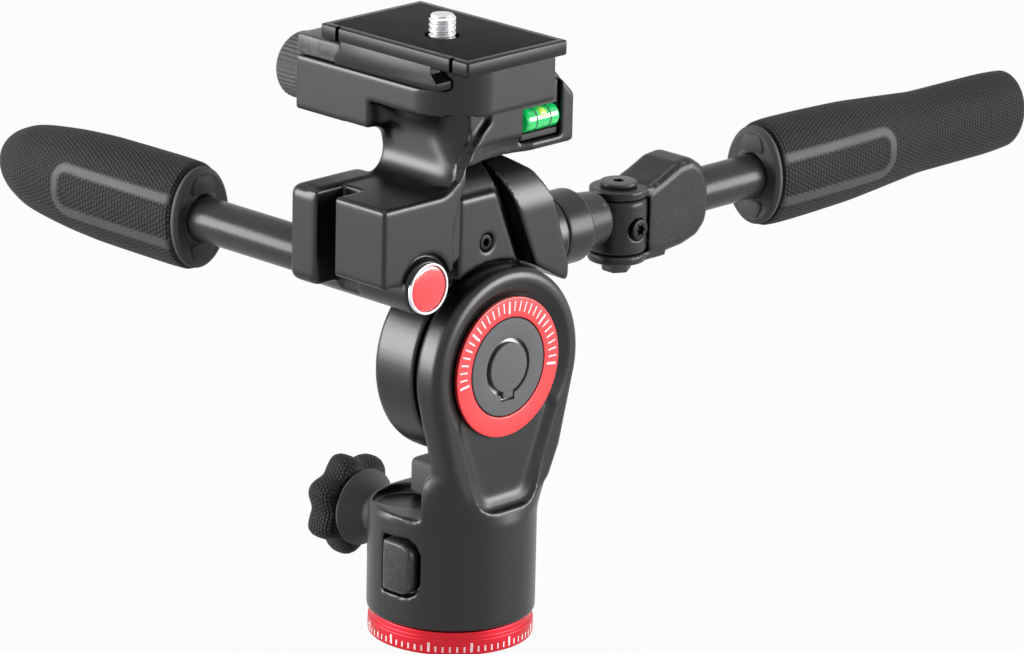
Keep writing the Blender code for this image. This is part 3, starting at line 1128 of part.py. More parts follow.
def make_clamp_knob():
    """Knob of the quick release clamp and its screw."""
    place = (0.0, CLAMP_Y, CLAMP_HEIGHT)
    knob = loft("clamp_knob", [
        ribbed_section(CLAMP_KNOB_RADIUS - EDGE, CLAMP_KNOB_END),
        ribbed_section(CLAMP_KNOB_RADIUS, CLAMP_KNOB_END + EDGE),
        ribbed_section(CLAMP_KNOB_RADIUS, CLAMP_KNOB_START - EDGE),
        ribbed_section(CLAMP_KNOB_RADIUS - EDGE, CLAMP_KNOB_START)], BLACK_PLASTIC, CLAMP, place)
    collar = rod("clamp_collar", CLAMP_COLLAR_RADIUS, CLAMP_KNOB_END / 2 + CLAMP_KNOB_START / 2,
                 BED_LEFT - 2 * GAP, None, CLAMP, place, TO_X, steps=MEDIUM_STEPS)
    combine(knob, [collar], "UNION")
    knob_middle = (CLAMP_KNOB_END + CLAMP_KNOB_START) / 2
    combine(knob, [rod("clamp_screw_hole", CLAMP_SCREW_RADIUS + GAP, knob_middle - GAP, BED_LEFT + OVERRUN,
                       None, CLAMP, place, TO_X, edge=0.0)])
    rod("clamp_screw", CLAMP_SCREW_RADIUS, knob_middle, LUG_LEFT + LUG_WIDTH + JAW_TRAVEL - GAP, STEEL, CLAMP,
        place, TO_X)


def make_plate():
    """Quick release plate with its dovetail, rubber pad and camera screw."""
    plate = box("release_plate", (-PLATE_HALF_LENGTH, PLATE_FRONT, PLATE_BOTTOM),
                (PLATE_HALF_LENGTH, PLATE_BACK, PLATE_TOP), BLACK_ALUMINIUM, PLATE, EDGE)
    rail = outline("plate_rail", rail_points(0.0), PLATE_BACK - PLATE_FRONT, None, PLATE,
                   (0.0, (PLATE_BACK + PLATE_FRONT) / 2, 0.0), FRONT_PLANE)
    combine(plate, [rail], "UNION")
    pad_low = (PAD_INSET - PLATE_HALF_LENGTH, PLATE_FRONT + PAD_INSET, PLATE_TOP - PAD_SINK)
    pad_high = (PLATE_HALF_LENGTH - PAD_INSET, PLATE_BACK - PAD_INSET, PLATE_TOP + PAD_THICKNESS - PAD_SINK)
    margin = Vector((GAP, GAP, GAP))
    hole_radius = SCREW_RADIUS + GAP
    head_top = PLATE_BOTTOM + EDGE
    cuts = [box("pad_seat", Vector(pad_low) - margin, Vector(pad_high) + margin, None, PLATE),
            turned("screw_pocket", [
                (0.0, OVERRUN), (hole_radius, OVERRUN), (hole_radius, head_top - PLATE_TOP),
                (SCREW_HEAD_RADIUS + GAP, head_top - PLATE_TOP),
                (SCREW_HEAD_RADIUS + GAP, BED_TOP - PLATE_TOP - OVERRUN),
                (0.0, BED_TOP - PLATE_TOP - OVERRUN)], None, PLATE, (SCREW_X, SCREW_Y, PLATE_TOP),
                steps=MEDIUM_STEPS)]
    for side, tag in ((-1.0, "left"), (1.0, "right")):
        middle = side * (PLATE_HALF_LENGTH - PLATE_NOTCH_INSET)
        cuts.append(box("plate_notch_" + tag, (middle - PLATE_NOTCH / 2, PLATE_FRONT - OVERRUN,
                                               PLATE_BOTTOM - EDGE),
                        (middle + PLATE_NOTCH / 2, PLATE_FRONT + PLATE_NOTCH, PLATE_TOP + OVERRUN), None,
                        PLATE))
    combine(plate, cuts)
    pad = box("plate_pad", pad_low, pad_high, RUBBER, PLATE)
    combine(pad, [rod("pad_hole", SCREW_HEAD_RADIUS - 2 * EDGE, -OVERRUN, OVERRUN, None, PLATE,
                      (SCREW_X, SCREW_Y, PLATE_TOP), edge=0.0)])
    low = head_top - GAP - PLATE_TOP
    screw = turned("camera_screw", [
        (0.0, SCREW_RISE), (SCREW_ROOT_RADIUS, SCREW_RISE), (SCREW_RADIUS, SCREW_RISE - EDGE),
        (SCREW_RADIUS, low), (SCREW_HEAD_RADIUS, low), (SCREW_HEAD_RADIUS, low - SCREW_HEAD_THICKNESS),
        (0.0, low - SCREW_HEAD_THICKNESS)], STEEL, SCREW, (SCREW_X, SCREW_Y, PLATE_TOP), steps=MEDIUM_STEPS)
    slot_floor = PLATE_TOP + low - SCREW_HEAD_THICKNESS + SCREW_SLOT_DEPTH
    combine(screw, [box("screw_slot", (SCREW_X - SCREW_HEAD_RADIUS - OVERRUN, SCREW_Y - SCREW_SLOT_WIDTH / 2,
                                       slot_floor - SCREW_SLOT_DEPTH - OVERRUN),
                        (SCREW_X + SCREW_HEAD_RADIUS + OVERRUN, SCREW_Y + SCREW_SLOT_WIDTH / 2, slot_floor),
                        None, SCREW)])


def flatten(made, share):
    """Squeeze a turned shape across one of its own sides, so that its section is an oval."""
    for corner in made.data.vertices:
        corner.co.x *= share
    return made


def oval(name, profile, look, parent, place, turn, steps=ROUND_STEPS):
    """A turned shape made real, so that it can be flattened before its round hole is cut."""
    made = turned(name, profile, look, parent, place, turn, steps)
    bpy.context.view_layer.update()
    mesh = bpy.data.meshes.new_from_object(made.evaluated_get(bpy.context.evaluated_depsgraph_get()))
    made.modifiers.clear()
    made.data = mesh
    return flatten(made, GRIP_FLATNESS_SHARE)


def make_handle(prefix, parent, start, grip_start, tube_end, turn, direction, length, shares, hole):
    """Tube, inner end cap and rubber grip along a handle's own axis."""
    def place(distance):
        return Vector(start) + Vector(direction) * distance
    hole_radius, hole_depth = hole
    tube = rod(prefix + "_tube", TUBE_RADIUS, 0.0, tube_end, BLACK_PAINT, parent, place(0.0), turn,
               steps=MEDIUM_STEPS)
    if hole_depth > 0.0:
        combine(tube, [rod(prefix + "_tube_hole", hole_radius, -OVERRUN, hole_depth, None, parent, place(0.0),
                           turn, edge=0.0)])
    rim = GRIP_RADIUS * GRIP_CAP_SHARE
    cap = oval(prefix + "_end_cap", [
        (0.0, END_CAP_THICKNESS - GAP), (rim, END_CAP_THICKNESS - GAP), (rim, SOFT_EDGE),
        (rim - SOFT_EDGE, 0.0), (0.0, 0.0)], BLACK_PLASTIC, parent, place(grip_start - END_CAP_THICKNESS),
        turn)
    outer = [(GRIP_RADIUS * wide, length * far) for far, wide in reversed(shares)]
    grip = oval(prefix + "_grip", [(0.0, length)] + outer + [(0.0, 0.0)], RUBBER, parent, place(grip_start),
                turn)
    tube_space = rod(prefix + "_tube_space", TUBE_RADIUS + GAP, -OVERRUN, tube_end + GAP, None, parent,
                     place(0.0), turn, edge=0.0, steps=MEDIUM_STEPS)
    combine(cap, [tube_space])
    combine(grip, [tube_space])


def make_side_handle():
    """Side handle on the bolt that locks the lateral tilt."""
    start = (SIDE_TUBE_START, SIDE_Y, SIDE_HEIGHT)
    rod("side_bolt", SIDE_BOLT_RADIUS, SIDE_BOLT_END, SIDE_BOLT_TIP, STEEL, SIDE, (0.0, SIDE_Y, SIDE_HEIGHT),
        TO_X)
    make_handle("side", SIDE, start, SIDE_TUBE_START - SIDE_GRIP_START, SIDE_TUBE_START - SIDE_TUBE_END,
                TO_MINUS_X, (-1.0, 0.0, 0.0), SIDE_GRIP_LENGTH, SIDE_GRIP_SHAPE_SHARES,
                (SIDE_BOLT_RADIUS + GAP, SIDE_TUBE_START - SIDE_BOLT_END + GAP))


def make_rear_hub():
    """Collar and knuckle of the rear handle, with the pin that it folds on."""
    hub = turned("rear_hub", [
        (0.0, FOLD_Y - FOLD_PIN_RADIUS), (TONGUE_RADIUS, FOLD_Y - FOLD_PIN_RADIUS),
        (TONGUE_RADIUS, TONGUE_START),
        (HUB_RADIUS - HUB_DRAFT, HUB_END), (HUB_RADIUS, COLLAR_END), (COLLAR_RADIUS - EDGE, COLLAR_END),
        (COLLAR_RADIUS, COLLAR_END - EDGE), (COLLAR_RADIUS, HANDLE_BOSS_END + EDGE),
        (COLLAR_RADIUS - EDGE, HANDLE_BOSS_END), (0.0, HANDLE_BOSS_END)], BLACK_PAINT, TWIST,
        (0.0, 0.0, REAR_HEIGHT), TO_Y)
    low, high = PRONG_BOTTOM + PRONG_THICKNESS + GAP, PRONG_TOP - PRONG_THICKNESS - GAP
    knuckle = rod("knuckle", FOLD_BARREL_RADIUS, low, high, None, TWIST, (0.0, FOLD_Y, 0.0),
                  edge=SOFT_EDGE, steps=MEDIUM_STEPS)
    combine(hub, [knuckle], "UNION")
    screw_seat = FOLD_BARREL_RADIUS - FOLD_SCREW_SINK
    screw_place = (0.0, FOLD_Y, FOLD_SCREW_HEIGHT)
    combine(hub, [
        rod("fold_pin_hole", FOLD_PIN_RADIUS + GAP, low - OVERRUN, high + OVERRUN, None, TWIST,
            (0.0, FOLD_Y, 0.0), edge=0.0),
        turned("fold_screw_hole", [
            (0.0, FOLD_BARREL_RADIUS + OVERRUN), (FOLD_SCREW_HEAD_RADIUS + GAP, FOLD_BARREL_RADIUS + OVERRUN),
            (FOLD_SCREW_HEAD_RADIUS + GAP, screw_seat - GAP), (FOLD_SCREW_RADIUS + GAP, screw_seat - GAP),
            (FOLD_SCREW_RADIUS + GAP, screw_seat - FOLD_SCREW_LENGTH - GAP),
            (0.0, screw_seat - FOLD_SCREW_LENGTH - GAP)], None, TWIST, screw_place, TO_X, steps=SMALL_STEPS)])
    screw = turned("fold_screw", [
        (0.0, screw_seat + FOLD_SCREW_HEAD), (FOLD_SCREW_HEAD_RADIUS - GAP, screw_seat + FOLD_SCREW_HEAD),
        (FOLD_SCREW_HEAD_RADIUS, screw_seat + FOLD_SCREW_HEAD - GAP), (FOLD_SCREW_HEAD_RADIUS, screw_seat),
        (FOLD_SCREW_RADIUS, screw_seat), (FOLD_SCREW_RADIUS, screw_seat - FOLD_SCREW_LENGTH),
        (0.0, screw_seat - FOLD_SCREW_LENGTH)], STEEL, TWIST, screw_place, TO_X, steps=SMALL_STEPS)
    combine(screw, [rod("fold_socket", FOLD_SOCKET_RADIUS, screw_seat + GAP, FOLD_BARREL_RADIUS + OVERRUN,
                        None, TWIST, screw_place, TO_X, edge=0.0, steps=SOCKET_SIDES)])
    head_low = PRONG_TOP + GAP
    nut_high = PRONG_BOTTOM - GAP
    turned("fold_pin", [
        (0.0, head_low + FOLD_PIN_HEAD), (FOLD_PIN_HEAD_RADIUS - EDGE, head_low + FOLD_PIN_HEAD),
        (FOLD_PIN_HEAD_RADIUS, head_low), (FOLD_PIN_RADIUS, head_low), (FOLD_PIN_RADIUS, nut_high - EDGE),
        (0.0, nut_high - EDGE)], STEEL, TWIST, (0.0, FOLD_Y, 0.0), steps=SMALL_STEPS)
    nut_low = nut_high - FOLD_NUT_HEIGHT
    turned("fold_pin_nut", [
        (0.0, nut_high - EDGE - GAP), (FOLD_PIN_RADIUS + 2 * GAP, nut_high - EDGE - GAP),
        (FOLD_PIN_RADIUS + 2 * GAP, nut_high), (FOLD_NUT_RADIUS, nut_high), (FOLD_NUT_RADIUS, nut_low + EDGE),
        (FOLD_NUT_RADIUS - EDGE, nut_low), (0.0, nut_low)], BLACK_PLASTIC, TWIST, (0.0, FOLD_Y, 0.0),
        steps=NUT_SIDES)


def make_rear_handle():
    """Fork that folds on the pin, with the rear grip."""
    fork = outline("rear_fork", list(HOOD_OUTLINE), 2 * HOOD_HALF_WIDTH, BLACK_PAINT, FOLD, (0.0, 0.0, 0.0),
                   SIDE_PLANE, HOOD_EDGE)
    low, high = PRONG_BOTTOM + PRONG_THICKNESS, PRONG_TOP - PRONG_THICKNESS
    centre = (0.0, FOLD_Y, 0.0)
    ends = [rod("upper_prong", FOLD_BARREL_RADIUS, high, PRONG_TOP, None, FOLD, centre, steps=MEDIUM_STEPS),
            rod("lower_prong", FOLD_BARREL_RADIUS, PRONG_BOTTOM, low, None, FOLD, centre, steps=MEDIUM_STEPS),
            box("upper_web", (-HOOD_HALF_WIDTH + EDGE, FOLD_Y, high),
                (HOOD_HALF_WIDTH - EDGE, PRONG_WEB_END, PRONG_TOP - GAP / 2), None, FOLD),
            box("lower_web", (-HOOD_HALF_WIDTH + EDGE, FOLD_Y, PRONG_BOTTOM + GAP / 2),
                (HOOD_HALF_WIDTH - EDGE, PRONG_WEB_END, low), None, FOLD)]
    combine(fork, ends, "UNION")
    combine(fork, [
        rod("knuckle_space", FOLD_BARREL_RADIUS + 2 * GAP, low, high, None, FOLD, centre, edge=0.0,
            steps=MEDIUM_STEPS),
        rod("prong_holes", FOLD_PIN_RADIUS + GAP, PRONG_BOTTOM - OVERRUN, PRONG_TOP + OVERRUN, None, FOLD,
            centre, edge=0.0),
        rod("fork_tube_hole", TUBE_RADIUS + GAP, REAR_TUBE_START - GAP, REAR_TUBE_END, None, FOLD,
            (0.0, 0.0, REAR_HEIGHT), TO_Y, edge=0.0, steps=MEDIUM_STEPS)])
    make_handle("rear", FOLD, (0.0, REAR_TUBE_START, REAR_HEIGHT), REAR_GRIP_START - REAR_TUBE_START,
                REAR_TUBE_END - REAR_TUBE_START, TO_Y, (0.0, 1.0, 0.0), REAR_GRIP_LENGTH,
                REAR_GRIP_SHAPE_SHARES, (0.0, 0.0))


def main():
    make_base()
    make_body()
    make_pan_parts()
    make_pan_lock()
    make_tilt_face()
    make_tilt_casting()
    make_tilt_parts()
    make_rear_cover()
    make_pivot()
    make_platform()
    make_platform_parts()
    make_jaw()
    make_clamp_knob()
    make_plate()
    make_side_handle()
    make_rear_hub()
    make_rear_handle()


main()
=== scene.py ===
"""Dressed scene of a three way pan tilt head: castings, level, quick release plate and two handles.

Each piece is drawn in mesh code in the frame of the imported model, rides on one of its bodies and stands for
its plain node. Sizes and colours that a user would change are in the two property groups.
"""

import math

import bmesh
import bpy
from bpy.props import FloatProperty, FloatVectorProperty, IntProperty, PointerProperty
from mathutils import Matrix, Vector


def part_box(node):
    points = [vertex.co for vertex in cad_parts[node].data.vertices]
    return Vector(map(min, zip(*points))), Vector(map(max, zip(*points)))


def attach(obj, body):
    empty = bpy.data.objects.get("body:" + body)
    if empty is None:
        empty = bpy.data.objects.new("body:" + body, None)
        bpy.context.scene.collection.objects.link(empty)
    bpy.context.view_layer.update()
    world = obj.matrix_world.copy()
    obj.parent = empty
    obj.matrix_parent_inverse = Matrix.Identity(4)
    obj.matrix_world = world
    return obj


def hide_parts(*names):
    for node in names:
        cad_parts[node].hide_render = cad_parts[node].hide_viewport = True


bl_info = {
    "name": "Pan Tilt Head",
    "version": (1, 0, 0),
    "blender": (4, 5, 0),
    "location": "View3D > Sidebar > Pan Tilt Head",
    "description": "Dresses the pan tilt head with detailed pieces, finishes, lights and a camera",
    "category": "Object",
}

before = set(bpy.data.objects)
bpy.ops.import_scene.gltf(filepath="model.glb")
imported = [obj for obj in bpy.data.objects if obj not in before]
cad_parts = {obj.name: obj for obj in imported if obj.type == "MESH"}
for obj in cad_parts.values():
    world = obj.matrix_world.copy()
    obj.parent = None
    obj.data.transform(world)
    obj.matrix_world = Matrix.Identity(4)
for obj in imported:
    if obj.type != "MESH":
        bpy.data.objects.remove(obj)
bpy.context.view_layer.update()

# Shared fits and edges in metres, and how finely round shapes are drawn
GAP = 0.0003
OVERRUN = 0.003
EDGE = 0.0005
SOFT_EDGE = 0.0012
THIN_EDGE = 0.00025
FINE_EDGE = 0.0003
SMALL_EDGE = 0.0006
BROAD_EDGE = 0.0008
MOULD_EDGE = 0.0004
TINY = 1e-7
HOLE_STEPS, FINE_HOLE_STEPS, ROUND_BORE_STEPS = 48, 32, 72
ROUND_STEPS, BROAD_ROUND_STEPS = 64, 96
CORNER_STEPS, PAD_STEPS, FILLET_STEPS, ARCH_STEPS, PADDLE_STEPS = 16, 8, 14, 48, 72
SEGMENTS, FEW_SEGMENTS, MORE_SEGMENTS, MOST_SEGMENTS = 3, 2, 4, 5
HEX = 6

# How surfaces are eased and shaded, with angles in degrees
EASE = 0.5
CREASE, RIB_CREASE, SOFT_CREASE = 32.0, 50.0, 60.0
EDGE_LIMIT = 40.0
STRAIGHT = 170.0
CORNER_REACH = 0.48

# Places read off the frame
BODY_LOW, BODY_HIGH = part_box("body_casting")
_, RING_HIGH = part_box("base_ring")
MARK_LOW, MARK_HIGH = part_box("tilt_mark_ring")
PLATE_LOW, PLATE_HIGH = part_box("release_plate")
PAD_LOW, PAD_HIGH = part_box("plate_pad")
STOP_LOW, STOP_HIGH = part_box("tilt_stop")
FRONT_PAD_LOW, FRONT_PAD_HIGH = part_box("front_pad")
KNOB_LOW, KNOB_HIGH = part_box("pan_lock_knob")
HUB_LOW, HUB_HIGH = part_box("pan_knob_hub")
JAW_LOW, JAW_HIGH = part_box("clamp_jaw")
CLAMP_LOW, CLAMP_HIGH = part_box("clamp_knob")
SCREW_LOW, SCREW_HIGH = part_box("camera_screw")
VIAL_LOW, VIAL_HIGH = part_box("level_vial")
FRAME_LOW, FRAME_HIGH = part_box("level_frame")
BADGE_LOW, BADGE_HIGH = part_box("badge_cap")
RIM_LOW, RIM_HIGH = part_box("badge_rim")
SIDE_TUBE_LOW, SIDE_TUBE_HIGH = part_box("side_tube")
REAR_TUBE_LOW, REAR_TUBE_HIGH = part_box("rear_tube")
PIN_LOW, PIN_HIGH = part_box("fold_pin")
NUT_LOW, NUT_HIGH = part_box("fold_pin_nut")
SET_SCREW_LOW, SET_SCREW_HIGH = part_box("side_set_screw")
SET_SCREW_CENTRE = (SET_SCREW_LOW + SET_SCREW_HIGH) / 2
SET_SCREW_RADIUS = (SET_SCREW_HIGH.y - SET_SCREW_LOW.y) / 2
_, COVER_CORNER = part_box("carriage_rear_cover")

# Body casting
BODY_RADIUS = 0.0204
BODY_BOTTOM = BODY_LOW.z
SHOULDER_BOTTOM = 0.0318
SHOULDER_TOP = 0.0459
SHOULDER_STEPS = 12
SHOULDER_SQUARENESS = 5.0
PADDLE_RADIUS = BODY_HIGH.y
TILT_HEIGHT = BODY_HIGH.z - PADDLE_RADIUS
PADDLE_BACK = 0.0098
PADDLE_FACE = 0.0180
PADDLE_EDGE = 0.0024
PADDLE_ARC_START = -12.0
PADDLE_SIDES = ((0.0190, 0.0470), (0.0156, 0.0395), (0.0100, 0.0335))
RECESS_RADIUS = 0.0205
RECESS_FLOOR_RADIUS = 0.0175
RECESS_DEPTH = 0.0016
FIELD_TOP, FIELD_TOP_HALF = 0.0630, 0.0162
FIELD_BOTTOM, FIELD_BOTTOM_HALF = 0.0380, 0.0062
FIELD_SLOPE = 0.0026
FIELD_CORNER = 0.0036
SPINDLE_CLEARANCE = 0.0090
SPINDLE_SPACE_TOP = 0.0300
CAVITY_RADIUS = 0.0165
CAVITY_TOP = 0.0178
LOCK_HEIGHT = 0.0230
LOCK_BORE_RADIUS = 0.0044
SCOOP_RADIUS = 0.0092
SCOOP_CENTRE = (-0.0071, -0.0071)
SCOOP_FLOOR = 0.0312
SHELF_TOP = 0.0336
SHELF_END = 0.0080
AXLE_HEAD_SPACE = 0.0105
AXLE_HEAD_DEPTH = 0.0048
AXLE_SPACE = 0.0053
PAD_RECESS = 0.0009
PAD_CORNER_SHARE = 0.7
PAD_SEAT = 0.0178
PAD_EDGE = 0.0009
STOP_EDGE = 0.0016
SHOULDER_MELT_SIDE, SHOULDER_MELT_FACE = 0.0030, 0.0008
SHOULDER_MELT_BELOW, SHOULDER_MELT_ABOVE = 0.004, 0.012
SHOULDER_ROUNDS = 60

# Marks on the paddle and drum
MARK_BORE = 0.0123
DISC_BORE = 0.0071
CAP_RADIUS = 0.0061
CAP_RISE = 0.0013
KEY_HALF_WIDTH = 0.0017
KEY_REACH = 0.0016
KEY_GAP = 0.0006
DRUM_RADIUS = 0.0240
DRUM_BACK = -0.0036
DRUM_FRONT = 0.0095
DRUM_EDGE = 0.0022
DRUM_BORE = 0.0204
DRUM_END = 0.0008
BUSH_SPACE = 0.0069
NUT_SPACE = 0.0080
NUT_FLOOR = -0.0014
END_CAP_RADIUS = 0.0105
END_CAP_DEPTH = 0.0014

# Carriage and rear cover
LATERAL_HEIGHT = 0.1072
CARRIAGE_HALF_WIDTH = 0.0120
CARRIAGE_FRONT = -0.0114
CARRIAGE_TOP = 0.1126
CARRIAGE_OUTLINE = ((CARRIAGE_FRONT, 0.0860), (0.0110, 0.0860), (0.0085, 0.0943), (0.0010, CARRIAGE_TOP),
                    (CARRIAGE_FRONT, CARRIAGE_TOP))
WEB_HALF_WIDTH = 0.0088
WEB_SHIFT = 0.0034
BARREL_RADIUS = 0.0120
BARREL_NOSE = 0.0012
BARREL_REAR = 0.0018
SHAFT_SPACE = 0.0048
SHAFT_HUB_SPACE = 0.0089
SHAFT_HUB_FRONT = -0.0063
COVER_HALF_WIDTH = 0.0134
COVER_TOP = 0.1188
COVER_OUTLINE = ((0.0131, 0.0920), (0.0245, 0.0855), (0.0245, 0.0905), (0.0190, 0.1077), (0.0150, 0.1145),
                 (0.0086, COVER_TOP), (0.0022, COVER_TOP), (0.0047, CARRIAGE_TOP))
BOSS_RADIUS = 0.0094
BOSS_START = 0.0200
ROD_SPACE = 0.0025

# Platform
BLOCK_FRONT, BLOCK_BACK = -0.0388, -0.0158
BLOCK_BOTTOM, BLOCK_TOP = 0.0962, 0.1154
PLATFORM_LEFT = -0.0175
PLATFORM_RIGHT = 0.0146
FLANGE_BOTTOM = 0.0920
FLANGE_WIDTH = 0.0102
FLANGE_EDGE = 0.0025
NOTCH_WIDTH = 0.0064
NOTCH_BACK = -0.0300
NECK_FRONT, NECK_BACK = -0.0146, -0.0118
NECK_LEFT, NECK_RIGHT = -0.0118, 0.0128
NECK_FOOT = 0.0985
NECK_FILLET = 0.0060
NECK_CORNER = 0.0060
NECK_CORNER_DEPTH = 0.0021
NECK_TOP_CORNER = 0.0096
NECK_EASE = 0.0060
NECK_BLEND = 0.0055
NECK_ROUNDS = 30
NECK_ROWS = 24
BED_BLEND = 0.0069
BED_CORNER = 0.0165
BLOCK_EDGE = 0.0009
BED_LEFT, BED_RIGHT = -0.0334, 0.0196
BED_FRONT, BED_BACK = -0.0220, 0.0120
BED_BOTTOM, BED_TOP = 0.1273, 0.1407
SLAB_BOTTOM = 0.1340
HOUSING_RIGHT = -0.0085
ARM_BOTTOM = 0.1210
ARM_BACK = 0.0238
ARM_CHAMFER = 0.0075
JAW_TOP = 0.1460
RIBBON_BACK = ((-0.0158, 0.1060), (-0.0142, 0.1125), (-0.0119, 0.1176), (-0.0105, 0.1198), (-0.0065, 0.1207),
               (-0.0031, 0.1212))
RIBBON_FRONT = ((-0.0041, 0.1308), (-0.0068, 0.1284), (-0.0095, 0.1251), (-0.0122, 0.1214),
                (-0.0146, 0.1180), (-0.0175, 0.1162), (-0.0205, 0.1157))
RAIL_LEFT, RAIL_RIGHT = -0.0198, 0.0144
RAIL_UNDERCUT = 0.0020
RAIL_FOOT = 0.0022
SIDE_Y = -0.0250
SIDE_HEIGHT = 0.0943
BOLT_BARREL_RADIUS = 0.0066
BOLT_BARREL_START = -0.0180
BOLT_SPACE = 0.0030
BOLT_SPACE_END = 0.0090
BADGE_GROOVE_RADIUS = 0.0082
BADGE_GROOVE_DEPTH = 0.0016
PIVOT_SPACE = 0.0064
WINDOW_DEPTH = 0.0075
WINDOW_FRONT, WINDOW_BACK = 0.0066, 0.0196
WINDOW_BOTTOM, WINDOW_TOP = 0.1232, 0.1372
CLAMP_Y = -0.0080
CLAMP_HEIGHT = 0.1332
LUG_LEFT, LUG_WIDTH, LUG_DEPTH = -0.0266, 0.0044, 0.0080
LUG_BOTTOM = 0.1290
LUG_CAVITY_LEFT = -0.0304
JAW_TRAVEL = 0.0030
JAW_EDGE = 0.0007
CLAMP_SCREW_SPACE = 0.0023
SHAFT_HOLE_END, PIVOT_SPACE_END = -0.0282, -0.0267
RIBBON_CORNER, RIBBON_STEPS = 0.0020, 3

# Handles
GRIP_FLATNESS = 0.72
GRIP_RADIUS = 0.0136
TUBE_RADIUS = 0.0055
BAND_LENGTH = 0.0415
BAND_HALF_HEIGHT = 0.0056
BAND_HALF_WIDTH = 0.0012
BAND_RISE = 0.00022
PANEL_SINK = 0.00012
BAND_CORNER = 0.0040
BAND_SOFT = 0.0005
GRIP_ROW = 0.00045
GRIP_STEP_SHARE = 1.5
GRIP_END_SHARE = 0.88
GRIP_END_ROWS = 36
GRIP_SOCKET = 0.0040
# grips from their inner to their outer end: share of the length, share of the full radius
SIDE_GRIP_SHAPE = ((0.0, 0.94), (0.02, 0.99), (0.10, 1.0), (0.40, 0.99), (0.55, 0.955), (0.70, 0.88),
                   (0.81, 0.79), (0.89, 0.64), (0.94, 0.48), (0.98, 0.25), (1.0, 0.08))
REAR_GRIP_SHAPE = ((0.0, 0.94), (0.015, 0.985), (0.06, 1.0), (0.30, 0.96), (0.42, 0.90), (0.52, 0.84),
                   (0.62, 0.79), (0.85, 0.785), (0.96, 0.745), (0.985, 0.64), (1.0, 0.42))
REAR_HEIGHT = 0.0942
COLLAR_RADIUS, COLLAR_END = 0.0092, 0.0378
HUB_RADIUS, HUB_END, HUB_DRAFT = 0.0076, 0.0468, 0.0010
BOSS_END = 0.0294
TONGUE_RADIUS = 0.0038
FOLD_Y = 0.0552
FOLD_RADIUS = 0.0072
PRONG_TOP, PRONG_BOTTOM, PRONG_THICKNESS = 0.1008, 0.0822, 0.0022
PRONG_WEB_END = 0.0660
PIN_SPACE = 0.0027
HOOD_HALF_WIDTH = 0.0068
HOOD_EDGE = 0.0024
HOOD_OUTLINE = ((0.0580, 0.0838), (0.0650, 0.0828), (0.0722, 0.0835), (0.0775, 0.0850), (0.0805, 0.0880),
                (0.0815, 0.0925), (0.0810, 0.0980), (0.0788, 0.1030), (0.0750, 0.1055), (0.0700, 0.1050),
                (0.0645, 0.1026), (0.0580, 0.1002))
HOOD_CORNER = 0.0040
FORK_CELL, FORK_ROUNDS = 0.00034, 3
FOLD_SCREW_HEIGHT = 0.0912
FOLD_SCREW_SEAT = FOLD_RADIUS - 0.0008
FOLD_SCREW_HEAD, FOLD_SCREW_HEAD_SPACE, FOLD_SCREW_RISE = 0.0026, 0.0029, 0.0014
FOLD_SCREW_SHANK, FOLD_SCREW_SHANK_SPACE = 0.0014, 0.0017
FOLD_SCREW_DEPTH, FOLD_SCREW_HOLE_DEPTH = 0.0036, 0.0039
STAR_RADIUS, STAR_WAVE, STAR_POINTS, STAR_STEPS = 0.00125, 0.00028, 6, 60
PIN_HEAD, PIN_SHANK = 0.0046, 0.0024
PIN_SOCKET, PIN_SOCKET_DEPTH = 0.0015, 0.0006
NUT_BORE, NUT_RADIUS, NUT_FOOT = 0.0030, 0.0038, 0.0033
NUT_EDGE_LIMIT = 25.0
KNUCKLE_TONGUE, TONGUE_STEP, COLLAR_STEP = 0.0024, 0.0008, 0.0004
# groove of the side tube: place along it, and how far the wall is set in
TUBE_GROOVE = ((-0.0215, 0.0), (-0.0212, 0.0007), (-0.0193, 0.0007), (-0.0190, 0.0))
TUBE_BORE, TUBE_BORE_END = 0.0031, -0.0388
GRIP_CAP_SHARE = 0.93
GRIP_CAP_RIM, GRIP_CAP_SLOPE, GRIP_CAP_COLLAR = 0.90, 0.62, 0.55
LOBE_MIDDLE, LOBE_INNER, LOBE_OUTER = 0.66, 0.34, 0.20
LOBE_IN, LOBE_OUT, LOBE_CORNER, LOBE_EDGE = 0.0022, 0.0024, 0.0016, 0.0004

# Rings, marks and knobs
MARK_PROUD = 0.00005
RING_BORE_DEPTH, RING_BAND, RING_STEP, RING_EDGE = 0.0038, 0.0037, 0.0006, 0.00035
BASE_MARK_LOW = 0.0008
BASE_MARK_LONG, BASE_MARK_SHORT = 0.0023, 0.0014
BASE_MARK_BROAD, BASE_MARK_FINE = 0.00032, 0.00022
BASE_MARK_GROUP, TILT_MARK_GROUP = 6, 7
TILT_MARK_SPAN = 98.0
TILT_MARK_LONG, TILT_MARK_SHORT, TILT_MARK_END = 0.0009, 0.0014, 0.0009
TILT_MARK_BROAD, TILT_MARK_FINE = 0.00030, 0.00020
KEY_DROP = 0.00015
KNOB_STEPS, KNOB_LOBES, LOBE_DEPTH = 168, 7, 0.0011
